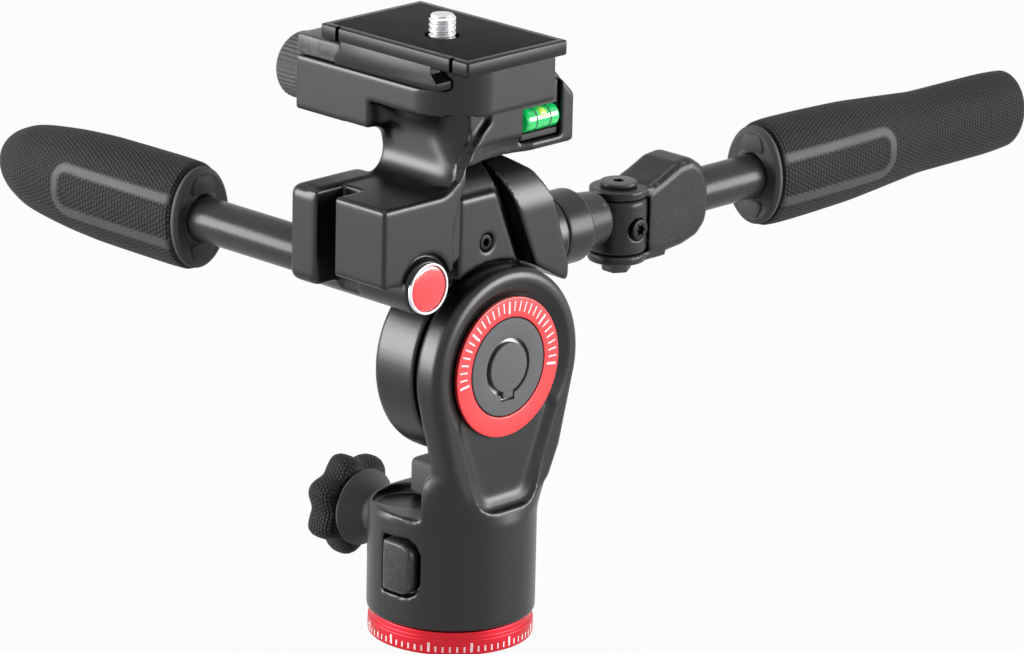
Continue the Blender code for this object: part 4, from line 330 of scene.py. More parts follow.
# knobs: how far each row is set in from the end, its share of the radius, and how deep its ribs are
KNOB_OUTER_ROWS = ((0.0006, 0.45), (0.0001, 0.62), (0.0, 0.76), (0.0004, 0.87), (0.0012, 0.95),
                   (0.0024, 0.99), (0.0036, 1.0))
KNOB_INNER_ROWS = ((0.0036, 1.0), (0.0022, 0.975), (0.0010, 0.92), (0.0003, 0.84), (0.0, 0.76))
HUB_FLANGE, HUB_WAIST, HUB_TIP, HUB_BORE = 0.0096, 0.0052, 0.0046, 0.0028
CLAMP_KNOB_END = -0.0372
RIB_DEPTH, RIB_STEPS = 0.00035, 6
RIBBED_ROWS = ((0.0005, 0.55, 0.0), (0.0, 0.62, 0.0), (0.0, 0.90, 0.0), (0.0006, 0.965, 0.2),
               (0.0012, 1.0, 1.0))
COLLAR_ROWS = ((-0.0030, 1.0, 1.0), (-0.0026, 0.985, 0.0), (-0.0007, 0.985, 0.0), (0.0, 0.90, 0.0),
               (0.0, 0.62, 0.0), (0.0002, 0.60, 0.0))
DRUM_CAP_DISH, DRUM_CAP_GROOVE, DRUM_CAP_HUB = 0.62, 0.58, 0.30
DRUM_CAP_GROOVE_DEPTH = 0.0004
SOCKET_RADIUS, SOCKET_DEPTH, SOCKET_REACH = 0.0011, 0.0020, 0.01

# Level and badge
BUBBLE_SHARE, BUBBLE_LENGTH, BUBBLE_PLACE = 0.55, 0.36, 0.42
BUBBLE_ROWS = 16
LINE_RISE, LINE_HALF_WIDTH, LINE_PLACE = 0.00004, 0.00018, 0.42
DOME_ROWS, DOME_FOOT = 24, 0.55

# Plate and camera screw
PLATE_BOTTOM = 0.1463
PLATE_NOTCH, PLATE_NOTCH_INSET = 0.0012, 0.0056
RAIL_EDGE = 0.0002
PAD_HOLE = 0.0042
SCREW_RADIUS, SCREW_ROOT = 0.003175, 0.00255
SCREW_SPACE = 0.0035
SCREW_HEAD, SCREW_HEAD_SPACE = 0.0070, 0.0073
SLOT_HALF_WIDTH, SLOT_DEPTH = 0.0007, 0.0012
THREAD_STEPS, THREAD_ROWS = 48, 12
THREAD_CREST, THREAD_FLANK = 1.6, 3.2
THREAD_LEAD, THREAD_TAPER = 0.0008, 0.7

# Melted blends of the castings
MELT_FADE = 0.0025
BLEND_INSET = 0.2

# Grain, painted edge highlights, painted glints and scales of the finishes, with sizes in metres and the rest
# as shares
FINE_DETAIL, BROAD_DETAIL = 2.0, 3.0
GRAIN_SPAN, PATCH_SPAN, PATCH_LEAST = (0.42, 0.72), (0.3, 0.7), 0.4
# painted highlight along edges: size of the noise patches that break it up, their span and least share
EDGE_HIGHLIGHT_PATCH, EDGE_HIGHLIGHT_SPAN, EDGE_HIGHLIGHT_LEAST = 0.0015, (0.35, 0.65), 0.35
SCALE_STRETCH, SCALE_TOP, SCALE_FOOT = 1.16, 0.16, 0.56
KNOB_SCALE_RADIUS, KNOB_SCALE_SHARE = 0.0118, 0.8
PAINT_TONES, PAINT_PATCH, PAINT_VARIATION = (0.85, 1.35), 0.014, 0.14
# painted highlight along the cast paint's edges: where it starts, where it is full and how much lighter it is
PAINT_HIGHLIGHT_START, PAINT_HIGHLIGHT_FULL, EDGE_HIGHLIGHT_GAIN = 0.51, 0.56, 4.2
# painted glints in the cast paint: cell size, share of the mix and how much lighter they are
GLINT_SIZE, GLINT_SHARE, GLINT_GAIN = 0.00042, 0.6, 5.0
PLASTIC_TONES, PLASTIC_PATCH, PLASTIC_VARIATION = (0.85, 1.3), 0.009, 0.16
# painted highlight along moulded edges: how much lighter and how much lifted
PLASTIC_HIGHLIGHT_GAIN, PLASTIC_HIGHLIGHT_LIFT = 3.0, 0.01
METAL_TONES, METAL_GRAIN, METAL_PATCH, METAL_VARIATION = (0.9, 1.1), 0.0006, 0.006, 0.12
METAL_DEPTH = 0.00002
RUBBER_TONES, RUBBER_GRAIN, RUBBER_PATCH = (0.8, 1.4), 0.00025, 0.010
RUBBER_ROUGH, RUBBER_VARIATION, RUBBER_SPECULAR = 0.60, 0.16, 0.16
RUBBER_DEPTH, SCALE_DEPTH, SCALE_SHARE = 0.00005, 0.00028, 0.75
# painted shade in the grooves between scales, painted sheen on the smooth band, and the band's lower
# roughness
GROOVE_SHADE_GAIN, BAND_SHEEN_GAIN, BAND_GLOSS = 0.45, 2.6, 0.12
# pad rubber darker than the grip rubber, as painted shade on the plate's top
PAD_RUBBER_GAIN = 0.55
ENAMEL_TONES, ENAMEL_GRAIN, ENAMEL_PATCH, ENAMEL_VARIATION = (0.94, 1.06), 0.0012, 0.006, 0.08
ENAMEL_DEPTH, COAT_ROUGH = 0.00002, 0.06
LIQUID_TONES, LIQUID_GRAIN, LIQUID_PATCH, LIQUID_VARIATION = (0.9, 1.1), 0.0010, 0.003, 0.06
LIQUID_ROUGH, LIQUID_LIFT, LIQUID_CLEARNESS, LIQUID_COAT = 0.10, 0.02, 0.35, 0.6
NYLON_COLOUR = (0.72, 0.71, 0.67)
ALUMINIUM_COLOUR = (0.030, 0.030, 0.032)
STEEL_COLOUR = (0.70, 0.70, 0.72)
BRONZE_COLOUR = (0.50, 0.32, 0.16)
BUBBLE_COLOUR = (0.55, 0.80, 0.10)

# Studio: floor, surroundings and lamps, each lamp with its size and place
FLOOR_GAP, FLOOR_DEPTH, FLOOR_RADIUS = 0.00005, 0.02, 4.0
FLOOR_COLOUR, FLOOR_TONES = (1.0, 1.0, 1.0), (0.46, 0.49)
FLOOR_GRAIN, FLOOR_PATCH, FLOOR_VARIATION = 0.002, 0.2, 0.05
FLOOR_ROUGH, FLOOR_SPECULAR, FLOOR_GLOW = 0.7, 0.1, 0.95
AMBIENT = 0.06
WHITE = (1.0, 1.0, 1.0, 1.0)
LAMP_AIM = 0.09
LAMPS = (("key_light", (1.00, 0.66), (-0.76, -0.92, 0.27)),
         ("side_light", (0.95, 0.66), (0.95, 0.76, 0.27)),
         ("front_light", (0.50, 0.30), (0.30, -1.05, 0.75)),
         ("top_light", (0.60, 0.12), (-0.15, 0.20, 1.10)))

# Camera, as the photograph was taken
CAMERA_PLACE = (0.9836, -0.9923, 0.5143)
CAMERA_AZIMUTH = math.radians(44.2)
CAMERA_ELEVATION = math.radians(17.4)
CAMERA_ROLL = math.radians(1.3)
CAMERA_LENS, CAMERA_SENSOR, CAMERA_REACH = 215.9, 36.0, 20.0

AXES = {
    "X": (Vector((0, 1, 0)), Vector((0, 0, 1)), Vector((1, 0, 0))),
    "Y": (Vector((1, 0, 0)), Vector((0, 0, 1)), Vector((0, 1, 0))),
    "Z": (Vector((1, 0, 0)), Vector((0, 1, 0)), Vector((0, 0, 1))),
}


class HeadSizes(bpy.types.PropertyGroup):
    """Sizes of the fine detail that the dressed pieces add to the frame."""

    casting_cell: FloatProperty(
        name="Casting cell", description="Cell size that softens the edges of the cast pieces",
        default=0.00045, min=0.0003, max=0.001, precision=5, unit="LENGTH")
    casting_rounds: IntProperty(
        name="Casting rounds", description="How often a cast surface is smoothed", default=4, min=1, max=12)
    turned_steps: IntProperty(
        name="Turned steps", description="Facets round a turned piece", default=112, min=32, max=256)
    base_marks: IntProperty(
        name="Base marks", description="Marks round the base ring", default=72, min=12, max=120)
    tilt_marks: IntProperty(
        name="Tilt marks", description="Marks over the top of the tilt ring", default=29, min=5, max=61)
    knob_ribs: IntProperty(
        name="Knob ribs", description="Ribs round the clamp knob", default=44, min=18, max=72)
    scale_size: FloatProperty(
        name="Scale size", description="Width of one scale on the rubber grips", default=0.00125, min=0.0006,
        max=0.003, precision=5, unit="LENGTH")
    thread_pitch: FloatProperty(
        name="Thread pitch", description="Pitch of the camera screw's thread", default=0.00127, min=0.0005,
        max=0.002, precision=5, unit="LENGTH")


class HeadColours(bpy.types.PropertyGroup):
    """Colours of the finishes and the strength of the light."""

    # The default raises the paint's black to a dark grey: painted sheen that stands in for the soft lights'
    # reflections on the lit faces
    paint: FloatVectorProperty(
        name="Cast paint", description="Colour of the painted castings", subtype="COLOR",
        default=(0.105, 0.105, 0.106), min=0.0, max=1.0)
    rubber: FloatVectorProperty(
        name="Rubber", description="Colour of the rubber grips", subtype="COLOR",
        default=(0.017, 0.017, 0.018), min=0.0, max=1.0)
    plastic: FloatVectorProperty(
        name="Black plastic", description="Colour of the moulded black pieces", subtype="COLOR",
        default=(0.011, 0.011, 0.012), min=0.0, max=1.0)
    disc: FloatVectorProperty(
        name="Grey plastic", description="Colour of the disc and cap inside the red ring", subtype="COLOR",
        default=(0.045, 0.045, 0.047), min=0.0, max=1.0)
    anodised: FloatVectorProperty(
        name="Red anodising", description="Colour of the base ring", subtype="COLOR",
        default=(0.50, 0.006, 0.014), min=0.0, max=1.0)
    enamel: FloatVectorProperty(
        name="Red enamel", description="Colour of the tilt ring and the round badge", subtype="COLOR",
        default=(0.80, 0.022, 0.028), min=0.0, max=1.0)
    marks: FloatVectorProperty(
        name="Marks", description="Colour of the printed marks", subtype="COLOR",
        default=(0.86, 0.62, 0.62), min=0.0, max=1.0)
    liquid: FloatVectorProperty(
        name="Level liquid", description="Colour of the liquid in the level", subtype="COLOR",
        default=(0.0, 0.56, 0.13), min=0.0, max=1.0)
    key_light: FloatProperty(
        name="Left light", description="Power of the soft light left of the camera", default=35.0, min=0.0,
        unit="POWER")
    side_light: FloatProperty(
        name="Right light", description="Power of the soft light right of the camera", default=33.0, min=0.0,
        unit="POWER")
    front_light: FloatProperty(
        name="Front light", description="Power of the small light above the camera", default=0.4, min=0.0,
        unit="POWER")
    top_light: FloatProperty(
        name="Top light", description="Power of the narrow light overhead", default=3.0, min=0.0,
        unit="POWER")


# Mesh making


def from_shape(name, shape):
    """Object of a finished bmesh, with its faces turned outwards."""
    bmesh.ops.recalc_face_normals(shape, faces=shape.faces)
    mesh = bpy.data.meshes.new(name)
    shape.to_mesh(mesh)
    shape.free()
    made = bpy.data.objects.new(name, mesh)
    bpy.context.scene.collection.objects.link(made)
    return made


def skin(name, rows, looped=False):
    """Skin rows of points; a row of one point closes the shape, and looped joins the last to the first."""
    shape = bmesh.new()
    built = [[shape.verts.new(point) for point in row] for row in rows]
    count = max(len(row) for row in built)
    pairs = list(zip(built, built[1:]))
    if looped:
        pairs.append((built[-1], built[0]))
    for below, above in pairs:
        for i in range(count):
            j = (i + 1) % count
            corners = (below[i % len(below)], below[j % len(below)], above[j % len(above)],
                       above[i % len(above)])
            corners = list(dict.fromkeys(corners))
            if len(corners) > 2:
                shape.faces.new(corners)
    if not looped:
        for row in (built[0], built[-1]):
            if len(row) > 2:
                shape.faces.new(row)
    return from_shape(name, shape)


def turned(name, profile, centre, axis="Z", closed=False, steps=None, flat=(1.0, 1.0)):
    """Turn (radius, along) points about an axis through a centre; flat squeezes the section to an oval."""
    steps = steps or bpy.context.scene.head_sizes.turned_steps
    across, beyond, along = AXES[axis]
    rows = []
    for radius, height in profile:
        middle = Vector(centre) + along * height
        if radius < TINY:
            rows.append([middle])
            continue
        turns = [2 * math.pi * i / steps for i in range(steps)]
        rows.append([middle + across * (radius * flat[0] * math.cos(turn))
                     + beyond * (radius * flat[1] * math.sin(turn)) for turn in turns])
    return skin(name, rows, looped=closed)


def softened(points, radius, closed=True, count=4):
    """Round the corners of an outline, as far as its sides are long enough."""
    kept = []
    total = len(points)
    for i, point in enumerate(points):
        if not closed and i in (0, total - 1):
            kept.append(tuple(point))
            continue
        corner = Vector(point)
        back, ahead = Vector(points[i - 1]) - corner, Vector(points[(i + 1) % total]) - corner
        angle = back.angle(ahead)
        if angle > math.radians(STRAIGHT):
            kept.append(tuple(point))
            continue
        reach = min(radius / math.tan(angle / 2), CORNER_REACH * back.length, CORNER_REACH * ahead.length)
        start, end = corner + back.normalized() * reach, corner + ahead.normalized() * reach
        for k in range(count + 1):
            share = k / count
            bent = start * (1 - share) ** 2 + corner * (2 * share * (1 - share)) + end * share ** 2
            kept.append(tuple(bent))
    return kept


def arc(centre, radius, start, end, count):
    """Points of a round stretch, with its angles in degrees."""
    angles = [math.radians(start + (end - start) * i / count) for i in range(count + 1)]
    return [(centre[0] + radius * math.cos(a), centre[1] + radius * math.sin(a)) for a in angles]


def prism(name, points, low, high, axis, edge=0.0, segments=SEGMENTS):
    """An outline carried along an axis from low to high, with rounded edges if an edge is given."""
    across, beyond, along = AXES[axis]
    rows = [[across * a + beyond * b + along * height for a, b in points] for height in (low, high)]
    made = skin(name, rows)
    return rounded(made, edge, segments) if edge > 0.0 else made


def block(name, low, high, edge=0.0, segments=SEGMENTS):
    """A box between two corners, with rounded edges if an edge is given."""
    points = [(low[0], low[1]), (high[0], low[1]), (high[0], high[1]), (low[0], high[1])]
    return prism(name, points, low[2], high[2], "Z", edge, segments)


def lathed(name, profile, edge, centre, axis="Z", steps=None):
    """Turn points from the axis out and back to it, with the corners between them rounded."""
    if edge > 0.0:
        profile = softened(profile, edge, closed=False)
    return turned(name, profile, centre, axis, steps=steps)


def rod(name, radius, low, high, centre, axis, edge=EDGE, steps=None):
    """A round bar with rounded ends."""
    profile = [(0.0, high), (radius, high), (radius, low), (0.0, low)]
    return lathed(name, profile, edge, centre, axis, steps)


def drill(name, radius, low, high, centre, axis, steps=HOLE_STEPS):
    """A round bar with sharp ends, to cut a hole with."""
    return rod(name, radius, low, high, centre, axis, edge=0.0, steps=steps)


def ring(name, radius, bore, low, high, centre, axis, edge=0.0):
    """A ring with rounded edges."""
    profile = [(radius, high), (radius, low), (bore, low), (bore, high)]
    if edge > 0.0:
        profile = softened(profile, edge)
    return turned(name, profile, centre, axis, closed=True)


def made_real(made):
    """Turn an object's modifiers into its mesh."""
    bpy.context.view_layer.update()
    mesh = bpy.data.meshes.new_from_object(made.evaluated_get(bpy.context.evaluated_depsgraph_get()))
    old = made.data
    made.modifiers.clear()
    made.data = mesh
    bpy.data.meshes.remove(old)
    mesh.name = made.name
    return made


def rounded(made, width, segments=SEGMENTS, limit=EDGE_LIMIT):
    """Round the sharp edges of an object."""
    cut = made.modifiers.new("edges", "BEVEL")
    cut.width = width
    cut.segments = segments
    cut.limit_method = "ANGLE"
    cut.angle_limit = math.radians(limit)
    return made_real(made)


def carve(made, others, operation="DIFFERENCE"):
    """Cut other shapes out of an object, join them to it or keep what they share, and clear them away."""
    for other in others:
        step = made.modifiers.new(other.name, "BOOLEAN")
        step.operation = operation
        step.solver = "EXACT"
        step.object = other
    made_real(made)
    if not made.data.polygons:
        raise RuntimeError(f"{made.name} was left empty by its cuts")
    for other in others:
        mesh = other.data
        bpy.data.objects.remove(other)
        bpy.data.meshes.remove(mesh)
    return made


def cast(made, cell=None, rounds=None):
    """Give an object the soft, unbroken surface of a casting."""
    sizes = bpy.context.scene.head_sizes
    skin_over = made.modifiers.new("casting", "REMESH")
    skin_over.mode = "VOXEL"
    skin_over.voxel_size = cell or sizes.casting_cell
    skin_over.use_smooth_shade = True
    ease = made.modifiers.new("ease", "SMOOTH")
    ease.factor = EASE
    ease.iterations = rounds or sizes.casting_rounds
    made_real(made)
    made["cast"] = True
    return made


def melt(made, low, high, rounds):
    """Blend the surface between two corners of a box, fading out towards its sides."""
    zone = made.vertex_groups.new(name="blend")
    low, high = Vector(low), Vector(high)
    for corner in made.data.vertices:
        inside = min(min(corner.co[i] - low[i], high[i] - corner.co[i]) for i in range(3))
        if inside > 0.0:
            zone.add([corner.index], min(1.0, inside / MELT_FADE), "REPLACE")
    ease = made.modifiers.new("blend", "SMOOTH")
    ease.factor = EASE
    ease.iterations = rounds
    ease.vertex_group = zone.name
    made_real(made)
    made.vertex_groups.clear()
    return made


def together(name, parts):
    """Join several loose shapes in one mesh."""
    shape = bmesh.new()
    for part in parts:
        shape.from_mesh(part.data)
        mesh = part.data
        bpy.data.objects.remove(part)
        bpy.data.meshes.remove(mesh)
    mesh = bpy.data.meshes.new(name)
    shape.to_mesh(mesh)
    shape.free()
    made = bpy.data.objects.new(name, mesh)
    bpy.context.scene.collection.objects.link(made)
    return made


def dress(made, finish, body, nodes, crease=CREASE):
    """Smooth and paint a piece, set it on its body and let it stand for its nodes."""
    mesh = made.data
    mesh.shade_smooth()
    if not made.get("cast"):
        mesh.set_sharp_from_angle(angle=math.radians(crease))
    mesh.materials.clear()
    mesh.materials.append(look(finish))
    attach(made, body)
    if nodes:
        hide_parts(*nodes)
    return made


def paint_nodes(finish, *names):
    """Give a finish to nodes of the frame that stay as they are."""
    for name in names:
        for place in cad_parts[name].material_slots:
            place.material = look(finish)


# Shader groups and finishes


def add_node(tree, kind, **settings):
    """New node with its settings."""
    made = tree.nodes.new(kind)
    for key, value in settings.items():
        setattr(made, key, value)
    return made


def feed(tree, socket, value):
    """Link a socket, or set it to a plain value."""
    if isinstance(value, bpy.types.NodeSocket):
        tree.links.new(value, socket)
    elif value is not None:
        socket.default_value = value


def calc(tree, operation, first, second=None):
    """Output of a math node on sockets or numbers."""
    made = add_node(tree, "ShaderNodeMath", operation=operation)
    for socket, value in zip(made.inputs, (first, second)):
        feed(tree, socket, value)
    return made.outputs[0]


def spread(tree, value, low, high, new_low, new_high):
    """Value mapped smoothly from one range to another."""
    made = add_node(tree, "ShaderNodeMapRange", interpolation_type="SMOOTHSTEP")
    for label, number in zip(("Value", "From Min", "From Max", "To Min", "To Max"),
                             (value, low, high, new_low, new_high)):
        feed(tree, made.inputs[label], number)
    return made.outputs["Result"]


def tint(tree, share, first, second):
    """Mix of two colours."""
    made = add_node(tree, "ShaderNodeMix", data_type="RGBA")
    feed(tree, made.inputs["Factor"], share)
    feed(tree, made.inputs["A"], first)
    feed(tree, made.inputs["B"], second)
    return made.outputs["Result"]


def shader_group(name, inputs, outputs):
    """New shader group with its inputs and outputs."""
    group = bpy.data.node_groups.new(name, "ShaderNodeTree")
    for label, kind, value in inputs:
        socket = group.interface.new_socket(label, in_out="INPUT", socket_type="NodeSocket" + kind)
        if value is not None:
            socket.default_value = value
    for label, kind in outputs:
        group.interface.new_socket(label, in_out="OUTPUT", socket_type="NodeSocket" + kind)
    return group, group.nodes.new("NodeGroupInput").outputs, group.nodes.new("NodeGroupOutput").inputs


def noise_at(tree, place, size, detail):
    """Noise with a grain of that size, in metres."""
    made = add_node(tree, "ShaderNodeTexNoise")
    feed(tree, made.inputs["Vector"], place)
    feed(tree, made.inputs["Scale"], calc(tree, "DIVIDE", 1.0, size))
    made.inputs["Detail"].default_value = detail
    return made.outputs["Fac"]


def grain_group():
    """Fine surface grain with broad patches: colour, roughness and height."""
    group, given, out = shader_group("surface_grain", [
        ("Place", "Vector", None), ("Grain", "Float", 0.0003), ("Patch", "Float", 0.012),
        ("Colour", "Color", (0.1, 0.1, 0.1, 1.0)), ("Lighter", "Color", (0.2, 0.2, 0.2, 1.0)),
        ("Roughness", "Float", 0.5), ("Variation", "Float", 0.1)],
        [("Colour", "Color"), ("Roughness", "Float"), ("Height", "Float")])
    fine = noise_at(group, given["Place"], given["Grain"], FINE_DETAIL)
    broad = noise_at(group, given["Place"], given["Patch"], BROAD_DETAIL)
    share = calc(group, "MULTIPLY", spread(group, fine, *GRAIN_SPAN, 0.0, 1.0),
                 spread(group, broad, *PATCH_SPAN, PATCH_LEAST, 1.0))
    feed(group, out["Colour"], tint(group, share, given["Colour"], given["Lighter"]))
    offset = calc(group, "MULTIPLY", calc(group, "SUBTRACT", broad, 0.5), given["Variation"])
    feed(group, out["Roughness"], calc(group, "ADD", given["Roughness"], offset))
    feed(group, out["Height"], fine)
    return group


def glint_group():
    """Sparse painted glints in a paint: a mask of tiny bright cells that stand for light sparkling off its
    grain.
    """
    group, given, out = shader_group("paint_flecks", [
        ("Place", "Vector", None), ("Size", "Float", 0.0002), ("Amount", "Float", 0.1)], [("Mask", "Float")])
    cells = add_node(group, "ShaderNodeTexVoronoi", feature="F1")
    feed(group, cells.inputs["Vector"], given["Place"])
    feed(group, cells.inputs["Scale"], calc(group, "DIVIDE", 1.0, given["Size"]))
    lucky = add_node(group, "ShaderNodeSeparateColor")
    feed(group, lucky.inputs["Color"], cells.outputs["Color"])
    feed(group, out["Mask"], calc(group, "LESS_THAN", lucky.outputs[0], given["Amount"]))
    return group


def edge_highlight_group():
    """Painted highlight along the edges of a piece, broken up by noise."""
    group, given, out = shader_group("edge_wear", [
        ("Place", "Vector", None), ("Start", "Float", 0.52), ("Full", "Float", 0.60),
        ("Amount", "Float", 0.5)], [("Mask", "Float")])
    shape = add_node(group, "ShaderNodeNewGeometry")
    edge = spread(group, shape.outputs["Pointiness"], given["Start"], given["Full"], 0.0, 1.0)
    patches = noise_at(group, given["Place"], EDGE_HIGHLIGHT_PATCH, BROAD_DETAIL)
    broken = spread(group, patches, *EDGE_HIGHLIGHT_SPAN, EDGE_HIGHLIGHT_LEAST, 1.0)
    feed(group, out["Mask"], calc(group, "MULTIPLY", calc(group, "MULTIPLY", edge, broken), given["Amount"]))
    return group


def turning_group():
    """Fine tool marks round a turned piece, drawn along one axis: a height."""
    group, given, out = shader_group("turning_marks", [
        ("Along", "Float", 0.0), ("Pitch", "Float", 0.0002)], [("Height", "Float")])
    made = add_node(group, "ShaderNodeTexNoise", noise_dimensions="1D")
    feed(group, made.inputs["W"], calc(group, "DIVIDE", given["Along"], given["Pitch"]))
    made.inputs["Detail"].default_value = 1.0
    feed(group, out["Height"], made.outputs["Fac"])
    return group


def scale_group():
    """Rows of small scales wrapped round an oval handle: a height, high on each scale."""
    group, given, out = shader_group("rubber_scales", [
        ("Along", "Float", 0.0), ("Across", "Float", 0.0), ("Up", "Float", 0.0), ("Radius", "Float", 0.0136),
        ("Size", "Float", 0.0012)], [("Height", "Float")])
    turn = calc(group, "ARCTAN2", given["Up"], given["Across"])
    girth = calc(group, "DIVIDE", calc(group, "MULTIPLY", turn, given["Radius"]), given["Size"])
    row_place = calc(group, "DIVIDE", calc(group, "MULTIPLY", given["Along"], SCALE_STRETCH), given["Size"])
    row = calc(group, "FLOOR", row_place)
    odd = calc(group, "FLOORED_MODULO", row, 2.0)
    shifted = calc(group, "ADD", girth, calc(group, "MULTIPLY", odd, 0.5))
    off_across = calc(group, "SUBTRACT", calc(group, "FRACT", shifted), 0.5)
    off_along = calc(group, "SUBTRACT", calc(group, "FRACT", row_place), 0.5)
    far = calc(group, "SQRT", calc(group, "ADD", calc(group, "MULTIPLY", off_across, off_across),
                                   calc(group, "MULTIPLY", off_along, off_along)))
    feed(group, out["Height"], spread(group, far, SCALE_TOP, SCALE_FOOT, 1.0, 0.0))
    return group


def use_group(tree, name, **values):
    """A shader group in a material, with its inputs fed by label."""
    made = add_node(tree, "ShaderNodeGroup", node_tree=bpy.data.node_groups[name])
    for label, value in values.items():
        feed(tree, made.inputs[label], value)
    return made.outputs


def blank_finish(name):
    """New material with its shader, place on the piece and tree."""
    made = bpy.data.materials.new(name)
    made.use_nodes = True
    tree = made.node_tree
    place = add_node(tree, "ShaderNodeTexCoord").outputs["Object"]
    return made, tree, tree.nodes["Principled BSDF"], place


def bump(tree, shader, height, distance, under=None):
    """Bump a shader's normal; returns the bump's normal for another bump over it."""
    made = add_node(tree, "ShaderNodeBump")
    made.inputs["Distance"].default_value = distance
    feed(tree, made.inputs["Height"], height)
    feed(tree, made.inputs["Normal"], under)
    feed(tree, shader.inputs["Normal"], made.outputs["Normal"])
    return made.outputs["Normal"]


def opaque(colour, gain=1.0, lift=0.0):
    """Colour made brighter or darker, with full opacity."""
    return tuple(min(1.0, part * gain + lift) for part in colour) + (1.0,)


def grained(tree, place, colour, tones, grain, patch, rough, variation, lift=0.0):
    """Grain over a colour, from its darker to its lighter tone: colour, roughness and height."""
    return use_group(tree, "surface_grain", Place=place, Grain=grain, Patch=patch,
                     Colour=opaque(colour, tones[0]), Lighter=opaque(colour, tones[1], lift),
                     Roughness=rough, Variation=variation)


def lay(tree, shader, colour, roughness, specular=None):
    """Feed a shader's colour and roughness, and set how strongly it reflects."""
    feed(tree, shader.inputs["Base Color"], colour)
    feed(tree, shader.inputs["Roughness"], roughness)
    feed(tree, shader.inputs["Specular IOR Level"], specular)


def cast_paint(name, grain, depth, rough, gain, glints, edge_highlight, specular):
    """Fine textured black paint on a casting, with painted glints and a painted highlight that lightens its
    edges.
    """
    made, tree, shader, place = blank_finish(name)
    colour = bpy.context.scene.head_colours.paint
    tones = [tone * gain for tone in PAINT_TONES]
    surface = grained(tree, place, colour, tones, grain, PAINT_PATCH, rough, PAINT_VARIATION)
    # painted glints: tiny cells much lighter than the paint
    glint = use_group(tree, "paint_flecks", Place=place, Size=GLINT_SIZE, Amount=glints)["Mask"]
    # painted highlight: edges made lighter
    highlit_edge = use_group(tree, "edge_wear", Place=place, Start=PAINT_HIGHLIGHT_START, Full=PAINT_HIGHLIGHT_FULL,
                       Amount=edge_highlight)["Mask"]
    lit = tint(tree, calc(tree, "MULTIPLY", glint, GLINT_SHARE), surface["Colour"],
               opaque(colour, GLINT_GAIN * gain))
    lay(tree, shader, tint(tree, highlit_edge, lit, opaque(colour, EDGE_HIGHLIGHT_GAIN * gain)), surface["Roughness"],
        specular)
    bump(tree, shader, surface["Height"], depth)
    return made


def moulded(name, colour, rough, grain=0.00035, depth=0.00004, edge_highlight=0.25, specular=0.22):
    """Moulded plastic with a faint grain and a painted highlight along its edges."""
    made, tree, shader, place = blank_finish(name)
    surface = grained(tree, place, colour, PLASTIC_TONES, grain, PLASTIC_PATCH, rough, PLASTIC_VARIATION)
    # painted highlight: edges made lighter
    highlit_edge = use_group(tree, "edge_wear", Place=place, Amount=edge_highlight)["Mask"]
    lay(tree, shader, tint(tree, highlit_edge, surface["Colour"], opaque(colour, PLASTIC_HIGHLIGHT_GAIN, PLASTIC_HIGHLIGHT_LIFT)),
        surface["Roughness"], specular)
    bump(tree, shader, surface["Height"], depth)
    return made


def metal(name, colour, rough, pitch=0.00018, metallic=1.0):
    """Turned or anodised metal with fine tool marks along its height."""
    made, tree, shader, place = blank_finish(name)
    surface = grained(tree, place, colour, METAL_TONES, METAL_GRAIN, METAL_PATCH, rough, METAL_VARIATION)
    parts = add_node(tree, "ShaderNodeSeparateXYZ")
    feed(tree, parts.inputs["Vector"], place)
    lines = use_group(tree, "turning_marks", Along=parts.outputs["Z"], Pitch=pitch)["Height"]
    lay(tree, shader, surface["Colour"], surface["Roughness"])
    shader.inputs["Metallic"].default_value = metallic
    under = bump(tree, shader, surface["Height"], METAL_DEPTH)
    bump(tree, shader, lines, METAL_DEPTH, under=under)
    return made


def scaled_rubber(name, axis, centre, radius, flatness, size):
    """Rubber with rows of scales round an axis, smooth where the band attribute says so, with painted shade
    in the grooves between the scales and a painted sheen that lightens the band.
    """
    made, tree, shader, place = blank_finish(name)
    colour = bpy.context.scene.head_colours.rubber
    parts = add_node(tree, "ShaderNodeSeparateXYZ")
    feed(tree, parts.inputs["Vector"], place)
    across_axis = {"X": "Y", "Y": "X"}[axis]
    across = calc(tree, "DIVIDE", calc(tree, "SUBTRACT", parts.outputs[across_axis], centre[0]), flatness)
    up = calc(tree, "SUBTRACT", parts.outputs["Z"], centre[1])
    scales = use_group(tree, "rubber_scales", Along=parts.outputs[axis], Across=across, Up=up, Radius=radius,
                       Size=size)["Height"]
    surface = grained(tree, place, colour, RUBBER_TONES, RUBBER_GRAIN, RUBBER_PATCH, RUBBER_ROUGH,
                      RUBBER_VARIATION)
    band = add_node(tree, "ShaderNodeAttribute", attribute_name="band").outputs["Fac"]
    height = calc(tree, "MULTIPLY", scales, calc(tree, "SUBTRACT", 1.0, band))
    # painted shade: darker in the grooves between the scales
    groove_shaded = tint(tree, calc(tree, "MULTIPLY", height, SCALE_SHARE), opaque(colour, GROOVE_SHADE_GAIN),
                surface["Colour"])
    gloss = calc(tree, "SUBTRACT", surface["Roughness"], calc(tree, "MULTIPLY", band, BAND_GLOSS))
    # painted sheen: the smooth band made lighter
    lay(tree, shader, tint(tree, band, groove_shaded, opaque(colour, BAND_SHEEN_GAIN)), gloss, RUBBER_SPECULAR)
    under = bump(tree, shader, surface["Height"], RUBBER_DEPTH)
    bump(tree, shader, height, SCALE_DEPTH, under=under)
    return made


def enamel(name, colour, rough, coat):
    """Smooth enamel with a clear coat and a trace of orange peel."""
    made, tree, shader, place = blank_finish(name)
    surface = grained(tree, place, colour, ENAMEL_TONES, ENAMEL_GRAIN, ENAMEL_PATCH, rough, ENAMEL_VARIATION)
    lay(tree, shader, surface["Colour"], surface["Roughness"])
    shader.inputs["Coat Weight"].default_value = coat
    shader.inputs["Coat Roughness"].default_value = COAT_ROUGH
    bump(tree, shader, surface["Height"], ENAMEL_DEPTH)
    return made


